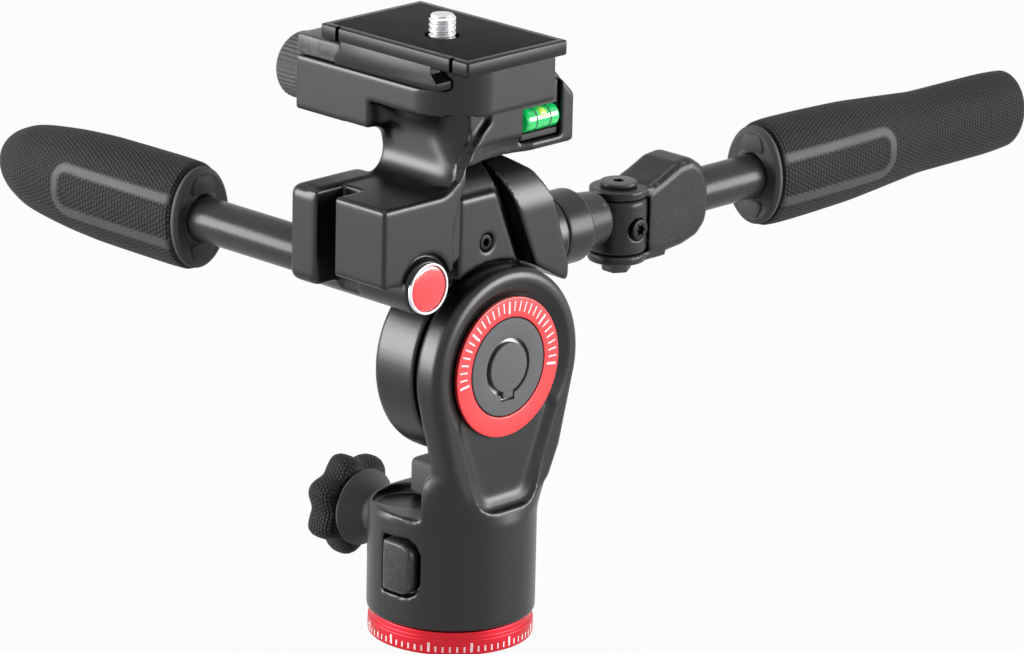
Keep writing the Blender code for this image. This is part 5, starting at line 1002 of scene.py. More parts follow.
def level_liquid(name, colour, glow):
    """Clear coloured liquid behind plastic, with a painted glow that stands for the light shining through it.
    """
    made, tree, shader, place = blank_finish(name)
    surface = grained(tree, place, colour, LIQUID_TONES, LIQUID_GRAIN, LIQUID_PATCH, LIQUID_ROUGH,
                      LIQUID_VARIATION, LIQUID_LIFT)
    lay(tree, shader, surface["Colour"], surface["Roughness"])
    shader.inputs["Transmission Weight"].default_value = LIQUID_CLEARNESS
    shader.inputs["Coat Weight"].default_value = LIQUID_COAT
    # painted glow: the liquid's colour emitted, though it is no lamp
    feed(tree, shader.inputs["Emission Color"], surface["Colour"])
    shader.inputs["Emission Strength"].default_value = glow
    return made


def shown_white(tree):
    """1 for what the camera, a reflection or clear plastic sees, 0 for the light that falls on things."""
    ray = add_node(tree, "ShaderNodeLightPath").outputs
    either = calc(tree, "ADD", ray["Is Camera Ray"], ray["Is Glossy Ray"])
    return calc(tree, "MINIMUM", calc(tree, "ADD", either, ray["Is Transmission Ray"]), 1.0)


def floor_finish():
    """Pale floor that shows as white and keeps the object's soft shadow."""
    made, tree, shader, place = blank_finish("studio_floor")
    surface = grained(tree, place, FLOOR_COLOUR, FLOOR_TONES, FLOOR_GRAIN, FLOOR_PATCH, FLOOR_ROUGH,
                      FLOOR_VARIATION)
    lay(tree, shader, surface["Colour"], surface["Roughness"], FLOOR_SPECULAR)
    glow = add_node(tree, "ShaderNodeEmission")
    mixed = add_node(tree, "ShaderNodeMixShader")
    feed(tree, mixed.inputs[0], calc(tree, "MULTIPLY", shown_white(tree), FLOOR_GLOW))
    tree.links.new(shader.outputs[0], mixed.inputs[1])
    tree.links.new(glow.outputs[0], mixed.inputs[2])
    tree.links.new(mixed.outputs[0], tree.nodes["Material Output"].inputs["Surface"])
    return made


def make_finishes():
    """All shader groups and finishes, by name."""
    sizes, colours = bpy.context.scene.head_sizes, bpy.context.scene.head_colours
    for build in (grain_group, glint_group, edge_highlight_group, turning_group, scale_group):
        build()
    cast_paint("black_paint", grain=0.00060, depth=0.00038, rough=0.40, gain=1.0, glints=0.05, edge_highlight=0.8,
               specular=0.13)
    # The low gains make the smooth and tube paints darker: partly their own glossier black, partly painted
    # shade, mostly for the rear handle and tubes where the right lamp falls strongly
    cast_paint("smooth_paint", grain=0.0007, depth=0.00003, rough=0.32, gain=0.20, glints=0.0, edge_highlight=0.8,
               specular=0.2)
    cast_paint("tube_paint", grain=0.0008, depth=0.00002, rough=0.28, gain=0.22, glints=0.0, edge_highlight=0.2,
               specular=0.2)
    for name, axis, centre in (("side_rubber", "X", (SIDE_Y, SIDE_HEIGHT)),
                               ("rear_rubber", "Y", (0.0, REAR_HEIGHT))):
        scaled_rubber(name, axis, centre, GRIP_RADIUS, GRIP_FLATNESS, sizes.scale_size)
    scaled_rubber("knob_rubber", "X", (0.0, LOCK_HEIGHT), KNOB_SCALE_RADIUS, 1.0,
                  sizes.scale_size * KNOB_SCALE_SHARE)
    moulded("pad_rubber", opaque(colours.rubber, PAD_RUBBER_GAIN)[:3], rough=0.66, grain=0.0005,
            depth=0.00010, edge_highlight=0.2, specular=0.06)
    moulded("black_plastic", colours.plastic, rough=0.36)
    moulded("grey_plastic", colours.disc, rough=0.46, edge_highlight=0.15)
    moulded("nylon", NYLON_COLOUR, rough=0.5, edge_highlight=0.0)
    moulded("print_white", colours.marks, rough=0.5, edge_highlight=0.0)
    metal("black_aluminium", ALUMINIUM_COLOUR, rough=0.42, pitch=0.0004, metallic=0.35)
    metal("steel", STEEL_COLOUR, rough=0.22)
    metal("bronze", BRONZE_COLOUR, rough=0.36)
    metal("red_metal", colours.anodised, rough=0.24)
    enamel("red_enamel", colours.enamel, rough=0.34, coat=0.25)
    enamel("red_dome", colours.enamel, rough=0.22, coat=1.0)
    level_liquid("level_liquid", colours.liquid, glow=0.25)
    level_liquid("level_bubble", BUBBLE_COLOUR, glow=0.30)


def look(name):
    """Finish of that name."""
    return bpy.data.materials[name]


# Shapes of the pieces


def shoulder_section(share, steps):
    """Section of the shoulder, from the cylinder's circle to the paddle's flat bar."""
    middle, half_depth = (PADDLE_BACK + PADDLE_FACE) / 2, (PADDLE_FACE - PADDLE_BACK) / 2
    height = SHOULDER_BOTTOM + (SHOULDER_TOP - SHOULDER_BOTTOM) * share
    power = 2.0 / SHOULDER_SQUARENESS
    points = []
    for i in range(steps):
        across, along = math.cos(2 * math.pi * i / steps), math.sin(2 * math.pi * i / steps)
        bar_x = middle + half_depth * math.copysign(abs(across) ** power, across)
        bar_y = PADDLE_SIDES[0][0] * math.copysign(abs(along) ** power, along)
        points.append((BODY_RADIUS * across * (1 - share) + bar_x * share,
                       BODY_RADIUS * along * (1 - share) + bar_y * share, height))
    return points


def field_cutter():
    """What is cut out of the paddle under the red ring, with sloping walls."""
    rows = []
    for depth, grow in ((PADDLE_FACE - RECESS_DEPTH, 0.0), (PADDLE_FACE, FIELD_SLOPE),
                        (PADDLE_FACE + BODY_RADIUS, FIELD_SLOPE)):
        wide, narrow, low = FIELD_TOP_HALF + grow, FIELD_BOTTOM_HALF + grow, FIELD_BOTTOM - grow
        outline = softened([(-narrow, low), (narrow, low), (wide, FIELD_TOP), (-wide, FIELD_TOP)],
                           FIELD_CORNER + grow, count=PAD_STEPS)
        rows.append([(depth, y, z) for y, z in outline])
    return skin("field_cutter", rows)


def pad_outline(grow):
    """Outline of the D shaped pad on the cylinder."""
    centre = (FRONT_PAD_LOW + FRONT_PAD_HIGH) / 2
    half = (FRONT_PAD_HIGH - FRONT_PAD_LOW) / 2
    wide, tall = half.x + grow, half.z + grow
    corner = min(wide, tall) * PAD_CORNER_SHARE
    points = softened([(-wide, -tall), (wide - corner, -tall)], SOFT_EDGE, closed=False)
    points += arc((wide - corner, corner - tall), corner, -90.0, 0.0, PAD_STEPS)[1:]
    points += arc((wide - corner, tall - corner), corner, 0.0, 90.0, PAD_STEPS)
    points += [(-wide, tall)]
    return [(centre.x + a, centre.z + b) for a, b in points]


def body_piece():
    """Main casting: cylinder, shoulder and paddle, with all that is cut out of it."""
    steps = bpy.context.scene.head_sizes.turned_steps
    rows = [[(r * math.cos(2 * math.pi * i / steps), r * math.sin(2 * math.pi * i / steps), z)
             for i in range(steps)] for r, z in ((BODY_RADIUS - EDGE, BODY_BOTTOM),
                                                 (BODY_RADIUS, BODY_BOTTOM + EDGE))]
    rows += [shoulder_section(i / SHOULDER_STEPS, steps) for i in range(SHOULDER_STEPS + 1)]
    body = skin("body_shell", rows)
    head = arc((0.0, TILT_HEIGHT), PADDLE_RADIUS, PADDLE_ARC_START, 180.0 - PADDLE_ARC_START,
               PADDLE_STEPS)
    left = [(-across, along) for across, along in PADDLE_SIDES]
    right = [(across, along) for across, along in reversed(PADDLE_SIDES)]
    paddle = prism("paddle", head + left + right, PADDLE_BACK, PADDLE_FACE, "X", PADDLE_EDGE, MOST_SEGMENTS)
    carve(body, [paddle], "UNION")
    face = (PADDLE_FACE, 0.0, TILT_HEIGHT)
    carve(body, [
        turned("mark_recess", [
            (0.0, OVERRUN), (RECESS_RADIUS + OVERRUN, OVERRUN), (RECESS_RADIUS, 0.0),
            (RECESS_FLOOR_RADIUS, -RECESS_DEPTH), (AXLE_HEAD_SPACE, -RECESS_DEPTH),
            (AXLE_HEAD_SPACE, -AXLE_HEAD_DEPTH), (AXLE_SPACE, -AXLE_HEAD_DEPTH), (AXLE_SPACE, -PADDLE_FACE),
            (0.0, -PADDLE_FACE)], face, "X"),
        field_cutter(),
        prism("pad_pocket", pad_outline(PAD_RECESS), -BODY_RADIUS - OVERRUN, -PAD_SEAT + GAP, "Y"),
        turned("spindle_cavity", [
            (0.0, SPINDLE_SPACE_TOP), (SPINDLE_CLEARANCE, SPINDLE_SPACE_TOP),
            (SPINDLE_CLEARANCE, CAVITY_TOP), (CAVITY_RADIUS, CAVITY_TOP),
            (CAVITY_RADIUS, BODY_BOTTOM - OVERRUN), (0.0, BODY_BOTTOM - OVERRUN)], (0.0, 0.0, 0.0)),
        drill("lock_bore", LOCK_BORE_RADIUS, -BODY_RADIUS - OVERRUN, -SPINDLE_CLEARANCE + EDGE,
              (0.0, 0.0, LOCK_HEIGHT), "X"),
        block("shelf_cut", (-BODY_RADIUS - OVERRUN, -BODY_RADIUS - OVERRUN, SHELF_TOP),
              (SHELF_END, BODY_RADIUS + OVERRUN, SHOULDER_TOP + 2 * OVERRUN)),
        drill("scoop", SCOOP_RADIUS, SCOOP_FLOOR, SHOULDER_TOP + OVERRUN, (*SCOOP_CENTRE, 0.0), "Z",
              ROUND_BORE_STEPS),
        block("stop_pocket", STOP_LOW - Vector((GAP, GAP, GAP)),
              (STOP_HIGH.x + GAP, STOP_HIGH.y + GAP, SHOULDER_TOP + OVERRUN))])
    cast(body)
    return melt(body, (SHOULDER_MELT_SIDE, -2 * PADDLE_RADIUS, SHOULDER_BOTTOM - SHOULDER_MELT_BELOW),
                (PADDLE_FACE - SHOULDER_MELT_FACE, 2 * PADDLE_RADIUS, SHOULDER_TOP + SHOULDER_MELT_ABOVE),
                SHOULDER_ROUNDS)


def drum_piece():
    """Drum and carriage in one casting."""
    axis = (0.0, 0.0, TILT_HEIGHT)
    middle = (DRUM_RADIUS, 0.0)
    profile = softened([(0.0, DRUM_FRONT), (DRUM_RADIUS, DRUM_FRONT), middle], EDGE, closed=False)[:-1]
    profile += softened([middle, (DRUM_RADIUS, DRUM_BACK), (0.0, DRUM_BACK)], DRUM_EDGE, closed=False)[1:]
    drum = turned("drum_shell", profile, axis, "X")
    carriage = prism("carriage", CARRIAGE_OUTLINE, -CARRIAGE_HALF_WIDTH, CARRIAGE_HALF_WIDTH, "X", SOFT_EDGE)
    web_outline = [(0.0 if y < 0.0 else y + WEB_SHIFT, z) for y, z in CARRIAGE_OUTLINE]
    web = prism("web", web_outline, -WEB_HALF_WIDTH, WEB_HALF_WIDTH, "X")
    nose = BARREL_RADIUS - BARREL_NOSE
    barrel = turned("pivot_barrel", [
        (0.0, BARREL_REAR), (BARREL_RADIUS, BARREL_REAR), (BARREL_RADIUS, CARRIAGE_FRONT + BARREL_NOSE),
        (nose, CARRIAGE_FRONT), (0.0, CARRIAGE_FRONT)], (0.0, 0.0, LATERAL_HEIGHT), "Y")
    carve(drum, [carriage, web, barrel], "UNION")
    clear = CARRIAGE_HALF_WIDTH + OVERRUN
    carve(drum, [
        turned("drum_cavity", [
            (0.0, clear), (PADDLE_RADIUS + 2 * GAP, clear), (PADDLE_RADIUS + 2 * GAP, DRUM_FRONT),
            (DRUM_BORE, DRUM_FRONT), (DRUM_BORE, DRUM_END), (BUSH_SPACE, DRUM_END), (BUSH_SPACE, NUT_FLOOR),
            (NUT_SPACE, NUT_FLOOR), (NUT_SPACE, DRUM_BACK - OVERRUN), (0.0, DRUM_BACK - OVERRUN)],
            axis, "X"),
        turned("shaft_bore", [
            (0.0, BARREL_REAR + OVERRUN), (SHAFT_HUB_SPACE, BARREL_REAR + OVERRUN),
            (SHAFT_HUB_SPACE, SHAFT_HUB_FRONT), (SHAFT_SPACE, SHAFT_HUB_FRONT),
            (SHAFT_SPACE, CARRIAGE_FRONT - OVERRUN), (0.0, CARRIAGE_FRONT - OVERRUN)],
            (0.0, 0.0, LATERAL_HEIGHT), "Y"),
        drill("set_screw_hole", SET_SCREW_RADIUS + GAP, SHAFT_HUB_SPACE / 2, BARREL_RADIUS + OVERRUN,
              (0.0, SET_SCREW_CENTRE.y, SET_SCREW_CENTRE.z), "X", FINE_HOLE_STEPS),
        drill("rod_hole", ROD_SPACE, 0.0, COVER_CORNER.y, (0.0, 0.0, REAR_HEIGHT), "Y", FINE_HOLE_STEPS)])
    return cast(drum)


def cover_piece():
    """Rear cover of the carriage, round on top, with the boss for the rear handle."""
    outline = softened(COVER_OUTLINE, SOFT_EDGE * 2)
    cover = prism("cover_shell", outline, -COVER_HALF_WIDTH, COVER_HALF_WIDTH, "X")
    centre = COVER_TOP - COVER_HALF_WIDTH
    arch = ([(COVER_HALF_WIDTH, TILT_HEIGHT)] + arc((0.0, centre), COVER_HALF_WIDTH, 0.0, 180.0, ARCH_STEPS)
            + [(-COVER_HALF_WIDTH, TILT_HEIGHT)])
    carve(cover, [prism("cover_arch", arch, -EDGE, 2 * COVER_CORNER.y, "Y")], "INTERSECT")
    axis = (0.0, 0.0, REAR_HEIGHT)
    carve(cover, [rod("boss", BOSS_RADIUS, BOSS_START, BOSS_END - GAP, axis, "Y")], "UNION")
    carve(cover, [drill("cover_rod_hole", ROD_SPACE, 0.0, BOSS_END + OVERRUN, axis, "Y", FINE_HOLE_STEPS)])
    return cast(cover)


def rail_outline(clearance):
    """Front outline of the plate's dovetail, grown by a clearance."""
    foot = BED_TOP + RAIL_FOOT
    shoulder, top = foot + RAIL_UNDERCUT, PLATE_BOTTOM + EDGE
    left, right = RAIL_LEFT - clearance, RAIL_RIGHT + clearance
    bottom = BED_TOP + GAP - clearance
    inner_left, inner_right = RAIL_LEFT + RAIL_UNDERCUT - clearance, RAIL_RIGHT - RAIL_UNDERCUT + clearance
    return [(left, bottom), (right, bottom), (right, foot), (inner_right, shoulder), (inner_right, top),
            (inner_left, top), (inner_left, shoulder), (left, foot)]


def bed_corner_cutter():
    """What rounds the clamp bed's right front corner off."""
    side, front = BED_RIGHT + GAP, BED_FRONT - GAP
    points = arc((side - BED_CORNER, front + BED_CORNER), BED_CORNER, -90.0, 0.0, CORNER_STEPS)
    points += [(side, front - OVERRUN), (side - BED_CORNER, front - OVERRUN)]
    return prism("bed_corner", points, SLAB_BOTTOM - OVERRUN, JAW_TOP + OVERRUN, "Z")


def neck_flare(height):
    """How far the neck's front stands out at that height, at its foot and under the bed."""
    low = max(0.0, BLOCK_TOP + NECK_FILLET - height)
    high = max(0.0, height - SLAB_BOTTOM + BED_BLEND)
    return (NECK_FILLET - math.sqrt(max(0.0, NECK_FILLET ** 2 - low ** 2))
            + BED_BLEND - math.sqrt(max(0.0, BED_BLEND ** 2 - high ** 2)))


def neck_corner_cutter():
    """What rounds the neck's right front corner off, wider where the neck flares."""
    rows = []
    low, high = BLOCK_TOP + EDGE, SLAB_BOTTOM
    for i in range(NECK_ROWS + 1):
        height = low + (high - low) * i / NECK_ROWS
        flare = neck_flare(height)
        above = min(1.0, max(0.0, (height - ARM_BOTTOM) / NECK_EASE))
        front = NECK_FRONT - flare
        wide = NECK_CORNER + flare + (NECK_TOP_CORNER - NECK_CORNER) * above
        deep = NECK_CORNER_DEPTH + flare + (NECK_TOP_CORNER - NECK_CORNER_DEPTH) * above
        outline = [(NECK_RIGHT - wide + wide * across, front + deep + deep * along)
                   for across, along in arc((0.0, 0.0), 1.0, -90.0, 0.0, CORNER_STEPS)]
        outline += [(NECK_RIGHT, front - OVERRUN), (NECK_RIGHT - wide, front - OVERRUN)]
        rows.append([(x, y, height) for x, y in outline])
    return skin("neck_corner", rows)


def hollow_corner(name, corner, radius, turn, low, high, axis):
    """Filler with a hollow round face for an inner corner, open towards that turn in degrees."""
    middle = (corner[0] + radius * math.copysign(1.0, math.cos(math.radians(turn))),
              corner[1] + radius * math.copysign(1.0, math.sin(math.radians(turn))))
    inset = tuple(at + (at - centre) * BLEND_INSET for at, centre in zip(corner, middle))
    points = arc(middle, radius, turn + 135.0, turn + 225.0, CORNER_STEPS)
    first, last = points[0], points[-1]
    if abs(first[0] - corner[0]) < abs(first[1] - corner[1]):
        edge = [(last[0], inset[1]), inset, (inset[0], first[1])]
    else:
        edge = [(inset[0], last[1]), inset, (first[0], inset[1])]
    return prism(name, points + edge, low, high, axis)


def platform_piece():
    """Platform casting: handle block, neck, arm and clamp bed with its fixed jaw."""
    top, right = BED_TOP - GAP, PLATFORM_RIGHT + OVERRUN
    bolt, pivot = (0.0, SIDE_Y, SIDE_HEIGHT), (0.0, 0.0, LATERAL_HEIGHT)
    core = [(BLOCK_FRONT, BLOCK_BOTTOM), (BLOCK_BACK, BLOCK_BOTTOM), (NECK_BACK, NECK_FOOT),
            (NECK_BACK, ARM_BOTTOM), (ARM_BACK, ARM_BOTTOM), (ARM_BACK, top - ARM_CHAMFER),
            (ARM_BACK - ARM_CHAMFER, top), (NECK_FRONT, top)]
    core += arc((NECK_FRONT - NECK_FILLET, BLOCK_TOP + NECK_FILLET), NECK_FILLET, 0.0, -90.0,
                FILLET_STEPS)
    core += [(BLOCK_FRONT, BLOCK_TOP)]
    platform = prism("platform_shell", core, NECK_LEFT, PLATFORM_RIGHT, "X", BLOCK_EDGE)
    bed = [(BED_LEFT, BED_BOTTOM), (HOUSING_RIGHT, BED_BOTTOM), (HOUSING_RIGHT, SLAB_BOTTOM),
           (BED_RIGHT, SLAB_BOTTOM), (BED_RIGHT, JAW_TOP)]
    rail = rail_outline(GAP)
    bed += [(rail[3][0], JAW_TOP), rail[3], rail[2], (rail[2][0], BED_TOP), (BED_LEFT, BED_TOP)]
    parts = [
        prism("bed", bed, BED_FRONT, BED_BACK, "Y", EDGE, FEW_SEGMENTS),
        block("flange", (PLATFORM_LEFT, BLOCK_FRONT - GAP, FLANGE_BOTTOM),
              (PLATFORM_LEFT + FLANGE_WIDTH, BLOCK_BACK - 2 * GAP, BLOCK_TOP + GAP), FLANGE_EDGE,
              MORE_SEGMENTS),
        rod("bolt_barrel", BOLT_BARREL_RADIUS, BOLT_BARREL_START, PLATFORM_RIGHT + GAP, bolt, "X",
            steps=ROUND_BORE_STEPS),
        hollow_corner("housing_side_blend", (HOUSING_RIGHT, NECK_FRONT), NECK_BLEND, -45.0, BED_BOTTOM + GAP,
                      SLAB_BOTTOM + EDGE, "Z"),
        hollow_corner("housing_under_blend", (NECK_LEFT, BED_BOTTOM), NECK_BLEND, -135.0, NECK_FRONT + GAP,
                      BED_BACK - EDGE, "Y"),
        hollow_corner("lip_under_blend", (NECK_FRONT, BED_BOTTOM), NECK_BLEND, -135.0, NECK_LEFT + GAP,
                      HOUSING_RIGHT, "X"),
        hollow_corner("slab_under_blend", (NECK_FRONT, SLAB_BOTTOM), BED_BLEND, -135.0, HOUSING_RIGHT - EDGE,
                      NECK_RIGHT, "X")]
    carve(platform, parts, "UNION")
    front = BLOCK_FRONT + BLOCK_EDGE
    front_cut = [*RIBBON_FRONT, (front, RIBBON_FRONT[-1][1]), (front, SLAB_BOTTOM + EDGE),
                 (RIBBON_FRONT[0][0], SLAB_BOTTOM + EDGE)]
    back_cut = [(BLOCK_BACK, FLANGE_BOTTOM), *RIBBON_BACK, (0.0, ARM_BOTTOM - BLOCK_EDGE),
                (0.0, FLANGE_BOTTOM)]
    notch_left = PLATFORM_LEFT + FLANGE_WIDTH - BLOCK_EDGE
    relief = (LATERAL_HEIGHT - TILT_HEIGHT, 0.0, 0.0)
    carve(platform, [
        neck_corner_cutter(),
        bed_corner_cutter(),
        ring("badge_groove", BADGE_GROOVE_RADIUS, BOLT_BARREL_RADIUS + GAP / 2,
             PLATFORM_RIGHT - BADGE_GROOVE_DEPTH, right, bolt, "X"),
        prism("ribbon_front_cut", softened(front_cut, RIBBON_CORNER, count=RIBBON_STEPS), NECK_RIGHT,
              right, "X"),
        prism("ribbon_back_cut", softened(back_cut, RIBBON_CORNER, count=RIBBON_STEPS), NECK_RIGHT,
              right, "X"),
        block("notch", (notch_left, BLOCK_FRONT - OVERRUN, FLANGE_BOTTOM - OVERRUN),
              (notch_left + NOTCH_WIDTH, NOTCH_BACK, BLOCK_TOP + OVERRUN)),
        turned("shaft_hole", [
            (0.0, SHAFT_HOLE_END), (SHAFT_SPACE, SHAFT_HOLE_END), (SHAFT_SPACE, PIVOT_SPACE_END),
            (PIVOT_SPACE, PIVOT_SPACE_END), (PIVOT_SPACE, NECK_BACK + OVERRUN),
            (0.0, NECK_BACK + OVERRUN)], pivot, "Y", steps=ROUND_STEPS),
        drill("bolt_bore", BOLT_SPACE, BOLT_BARREL_START - OVERRUN, BOLT_SPACE_END, bolt, "X"),
        rod("paddle_relief", PADDLE_RADIUS + GAP, ARM_BOTTOM - OVERRUN - SHAFT_SPACE,
            LATERAL_HEIGHT + PADDLE_FACE + GAP, relief, "Z", PADDLE_EDGE, BROAD_ROUND_STEPS),
        block("level_window", (PLATFORM_RIGHT - WINDOW_DEPTH, WINDOW_FRONT, WINDOW_BOTTOM),
              (right, WINDOW_BACK, WINDOW_TOP)),
        block("lug_cavity", (LUG_CAVITY_LEFT, CLAMP_Y - LUG_DEPTH / 2 - GAP, LUG_BOTTOM - 2 * GAP),
              (LUG_LEFT + LUG_WIDTH + JAW_TRAVEL, CLAMP_Y + LUG_DEPTH / 2 + GAP, BED_TOP + OVERRUN)),
        drill("clamp_bore", CLAMP_SCREW_SPACE, BED_LEFT - OVERRUN, LUG_CAVITY_LEFT + OVERRUN,
              (0.0, CLAMP_Y, CLAMP_HEIGHT), "X", FINE_HOLE_STEPS)])
    cast(platform)
    return melt(platform, (NECK_LEFT - NECK_BLEND, BED_FRONT - EDGE, BLOCK_TOP - EDGE),
                (NECK_RIGHT - EDGE, NECK_BACK - EDGE, SLAB_BOTTOM + GAP), NECK_ROUNDS)


def knuckle_piece(axis, hinge):
    """Collar of the rear handle with the round knuckle that the fork turns on."""
    low, high = PRONG_BOTTOM + PRONG_THICKNESS + GAP, PRONG_TOP - PRONG_THICKNESS - GAP
    tongue = FOLD_Y - KNUCKLE_TONGUE
    hub = lathed("rear_hub_turned", [
        (0.0, tongue), (TONGUE_RADIUS, tongue), (TONGUE_RADIUS, HUB_END + TONGUE_STEP),
        (HUB_RADIUS - HUB_DRAFT, HUB_END), (HUB_RADIUS, COLLAR_END + COLLAR_STEP),
        (COLLAR_RADIUS, COLLAR_END), (COLLAR_RADIUS, BOSS_END), (0.0, BOSS_END)], SMALL_EDGE, axis, "Y")
    carve(hub, [rod("knuckle", FOLD_RADIUS, low, high, hinge, "Z", SOFT_EDGE, BROAD_ROUND_STEPS)], "UNION")
    seat, bottom = FOLD_SCREW_SEAT - GAP, FOLD_SCREW_SEAT - FOLD_SCREW_HOLE_DEPTH
    outside = FOLD_RADIUS + OVERRUN
    carve(hub, [
        drill("fold_pin_hole", PIN_SPACE, low - OVERRUN, high + OVERRUN, hinge, "Z"),
        turned("fold_screw_hole", [
            (0.0, outside), (FOLD_SCREW_HEAD_SPACE, outside), (FOLD_SCREW_HEAD_SPACE, seat),
            (FOLD_SCREW_SHANK_SPACE, seat), (FOLD_SCREW_SHANK_SPACE, bottom), (0.0, bottom)],
            (0.0, FOLD_Y, FOLD_SCREW_HEIGHT), "X", steps=HOLE_STEPS)])
    return cast(hub, FORK_CELL, FORK_ROUNDS)


def fork_piece():
    """Hood and two prongs of the folding fork."""
    fork = prism("fork_shell", softened(HOOD_OUTLINE, HOOD_CORNER), -HOOD_HALF_WIDTH, HOOD_HALF_WIDTH, "X",
                 HOOD_EDGE, MOST_SEGMENTS)
    low, high = PRONG_BOTTOM + PRONG_THICKNESS, PRONG_TOP - PRONG_THICKNESS
    hinge = (0.0, FOLD_Y, 0.0)
    web = HOOD_HALF_WIDTH - EDGE
    carve(fork, [
        rod("upper_prong", FOLD_RADIUS, high, PRONG_TOP, hinge, "Z", steps=BROAD_ROUND_STEPS),
        rod("lower_prong", FOLD_RADIUS, PRONG_BOTTOM, low, hinge, "Z", steps=BROAD_ROUND_STEPS),
        block("upper_web", (-web, FOLD_Y, high), (web, PRONG_WEB_END, PRONG_TOP - GAP / 2)),
        block("lower_web", (-web, FOLD_Y, PRONG_BOTTOM + GAP / 2), (web, PRONG_WEB_END, low))], "UNION")
    carve(fork, [
        drill("knuckle_space", FOLD_RADIUS + 2 * GAP, low, high, hinge, "Z", BROAD_ROUND_STEPS),
        drill("prong_holes", PIN_SPACE, PRONG_BOTTOM - OVERRUN, PRONG_TOP + OVERRUN, hinge, "Z"),
        drill("fork_tube_hole", TUBE_RADIUS + GAP, REAR_TUBE_LOW.y - GAP, REAR_TUBE_HIGH.y,
              (0.0, 0.0, REAR_HEIGHT), "Y", ROUND_STEPS)])
    return cast(fork, FORK_CELL, FORK_ROUNDS)


def printed_mark(centre, axis, turn, inner, outer, half_width, low, high):
    """Thin block of a printed mark, turned about an axis through a centre."""
    across, beyond, along = AXES[axis]
    reach = across * math.cos(turn) + beyond * math.sin(turn)
    aside = beyond * math.cos(turn) - across * math.sin(turn)
    corners = [(inner, -half_width), (outer, -half_width), (outer, half_width), (inner, half_width)]
    return skin("mark", [[Vector(centre) + reach * r + aside * w + along * height for r, w in corners]
                         for height in (low, high)])


def knob_skin(name, sections, middle, steps, reach_at):
    """Knob about an axis along X, skinned over its sections and closed at both ends."""
    rows = [[Vector((sections[0][0], *middle))]]
    for place, *setting in sections:
        row = []
        for i in range(steps):
            angle = 2 * math.pi * i / steps
            reach = reach_at(angle, *setting)
            row.append(Vector((place, middle[0] + reach * math.cos(angle),
                               middle[1] + reach * math.sin(angle))))
        rows.append(row)
    rows.append([Vector((sections[-1][0], *middle))])
    return skin(name, rows)


def threaded(name, radius, root, low, high, centre, pitch):
    """A round bar with a real screw thread, tapered over its lead in."""
    count = max(2, round((high - low) / pitch * THREAD_ROWS))
    rows = []
    for k in range(count + 1):
        height = low + (high - low) * k / count
        outer = radius - max(0.0, height - (high - THREAD_LEAD)) * THREAD_TAPER
        row = []
        for i in range(THREAD_STEPS):
            turn = i / THREAD_STEPS
            phase = (height / pitch - turn) % 1.0
            crest = max(0.0, min(1.0, THREAD_CREST - THREAD_FLANK * abs(phase - 0.5)))
            reach = root + max(0.0, outer - root) * crest
            row.append((centre[0] + reach * math.cos(2 * math.pi * turn),
                        centre[1] + reach * math.sin(2 * math.pi * turn), height))
        rows.append(row)
    return skin(name, rows)


def eased(points):
    """Smooth function through given points that never swings past them."""
    gaps = [after[0] - before[0] for before, after in zip(points, points[1:])]
    slopes = [(after[1] - before[1]) / gap for before, after, gap in zip(points, points[1:], gaps)]
    bends = [slopes[0]]
    bends += [2 * a * b / (a + b) if a * b > 0 else 0.0 for a, b in zip(slopes, slopes[1:])]
    bends.append(slopes[-1])

    def at(place):
        i = sum(1 for point in points[1:-1] if point[0] <= place)
        gap = gaps[i]
        t = min(1.0, max(0.0, (place - points[i][0]) / gap))
        return (points[i][1] * (1 + 2 * t) * (1 - t) ** 2 + bends[i] * gap * t * (1 - t) ** 2
                + points[i + 1][1] * t * t * (3 - 2 * t) - bends[i + 1] * gap * t * t * (1 - t))
    return at


def band_share(up, distance):
    """How much a point of the grip lies on the raised band, and how much on the panel inside it."""
    past_side = abs(up) - (BAND_HALF_HEIGHT - BAND_CORNER)
    past_end = distance - (BAND_LENGTH - BAND_CORNER)
    line = (min(max(past_side, past_end), 0.0) + math.hypot(max(past_side, 0.0), max(past_end, 0.0))
            - BAND_CORNER)
    band = max(0.0, min(1.0, (BAND_HALF_WIDTH - abs(line)) / BAND_SOFT + 0.5))
    return band, 1.0 if line < -BAND_HALF_WIDTH else 0.0


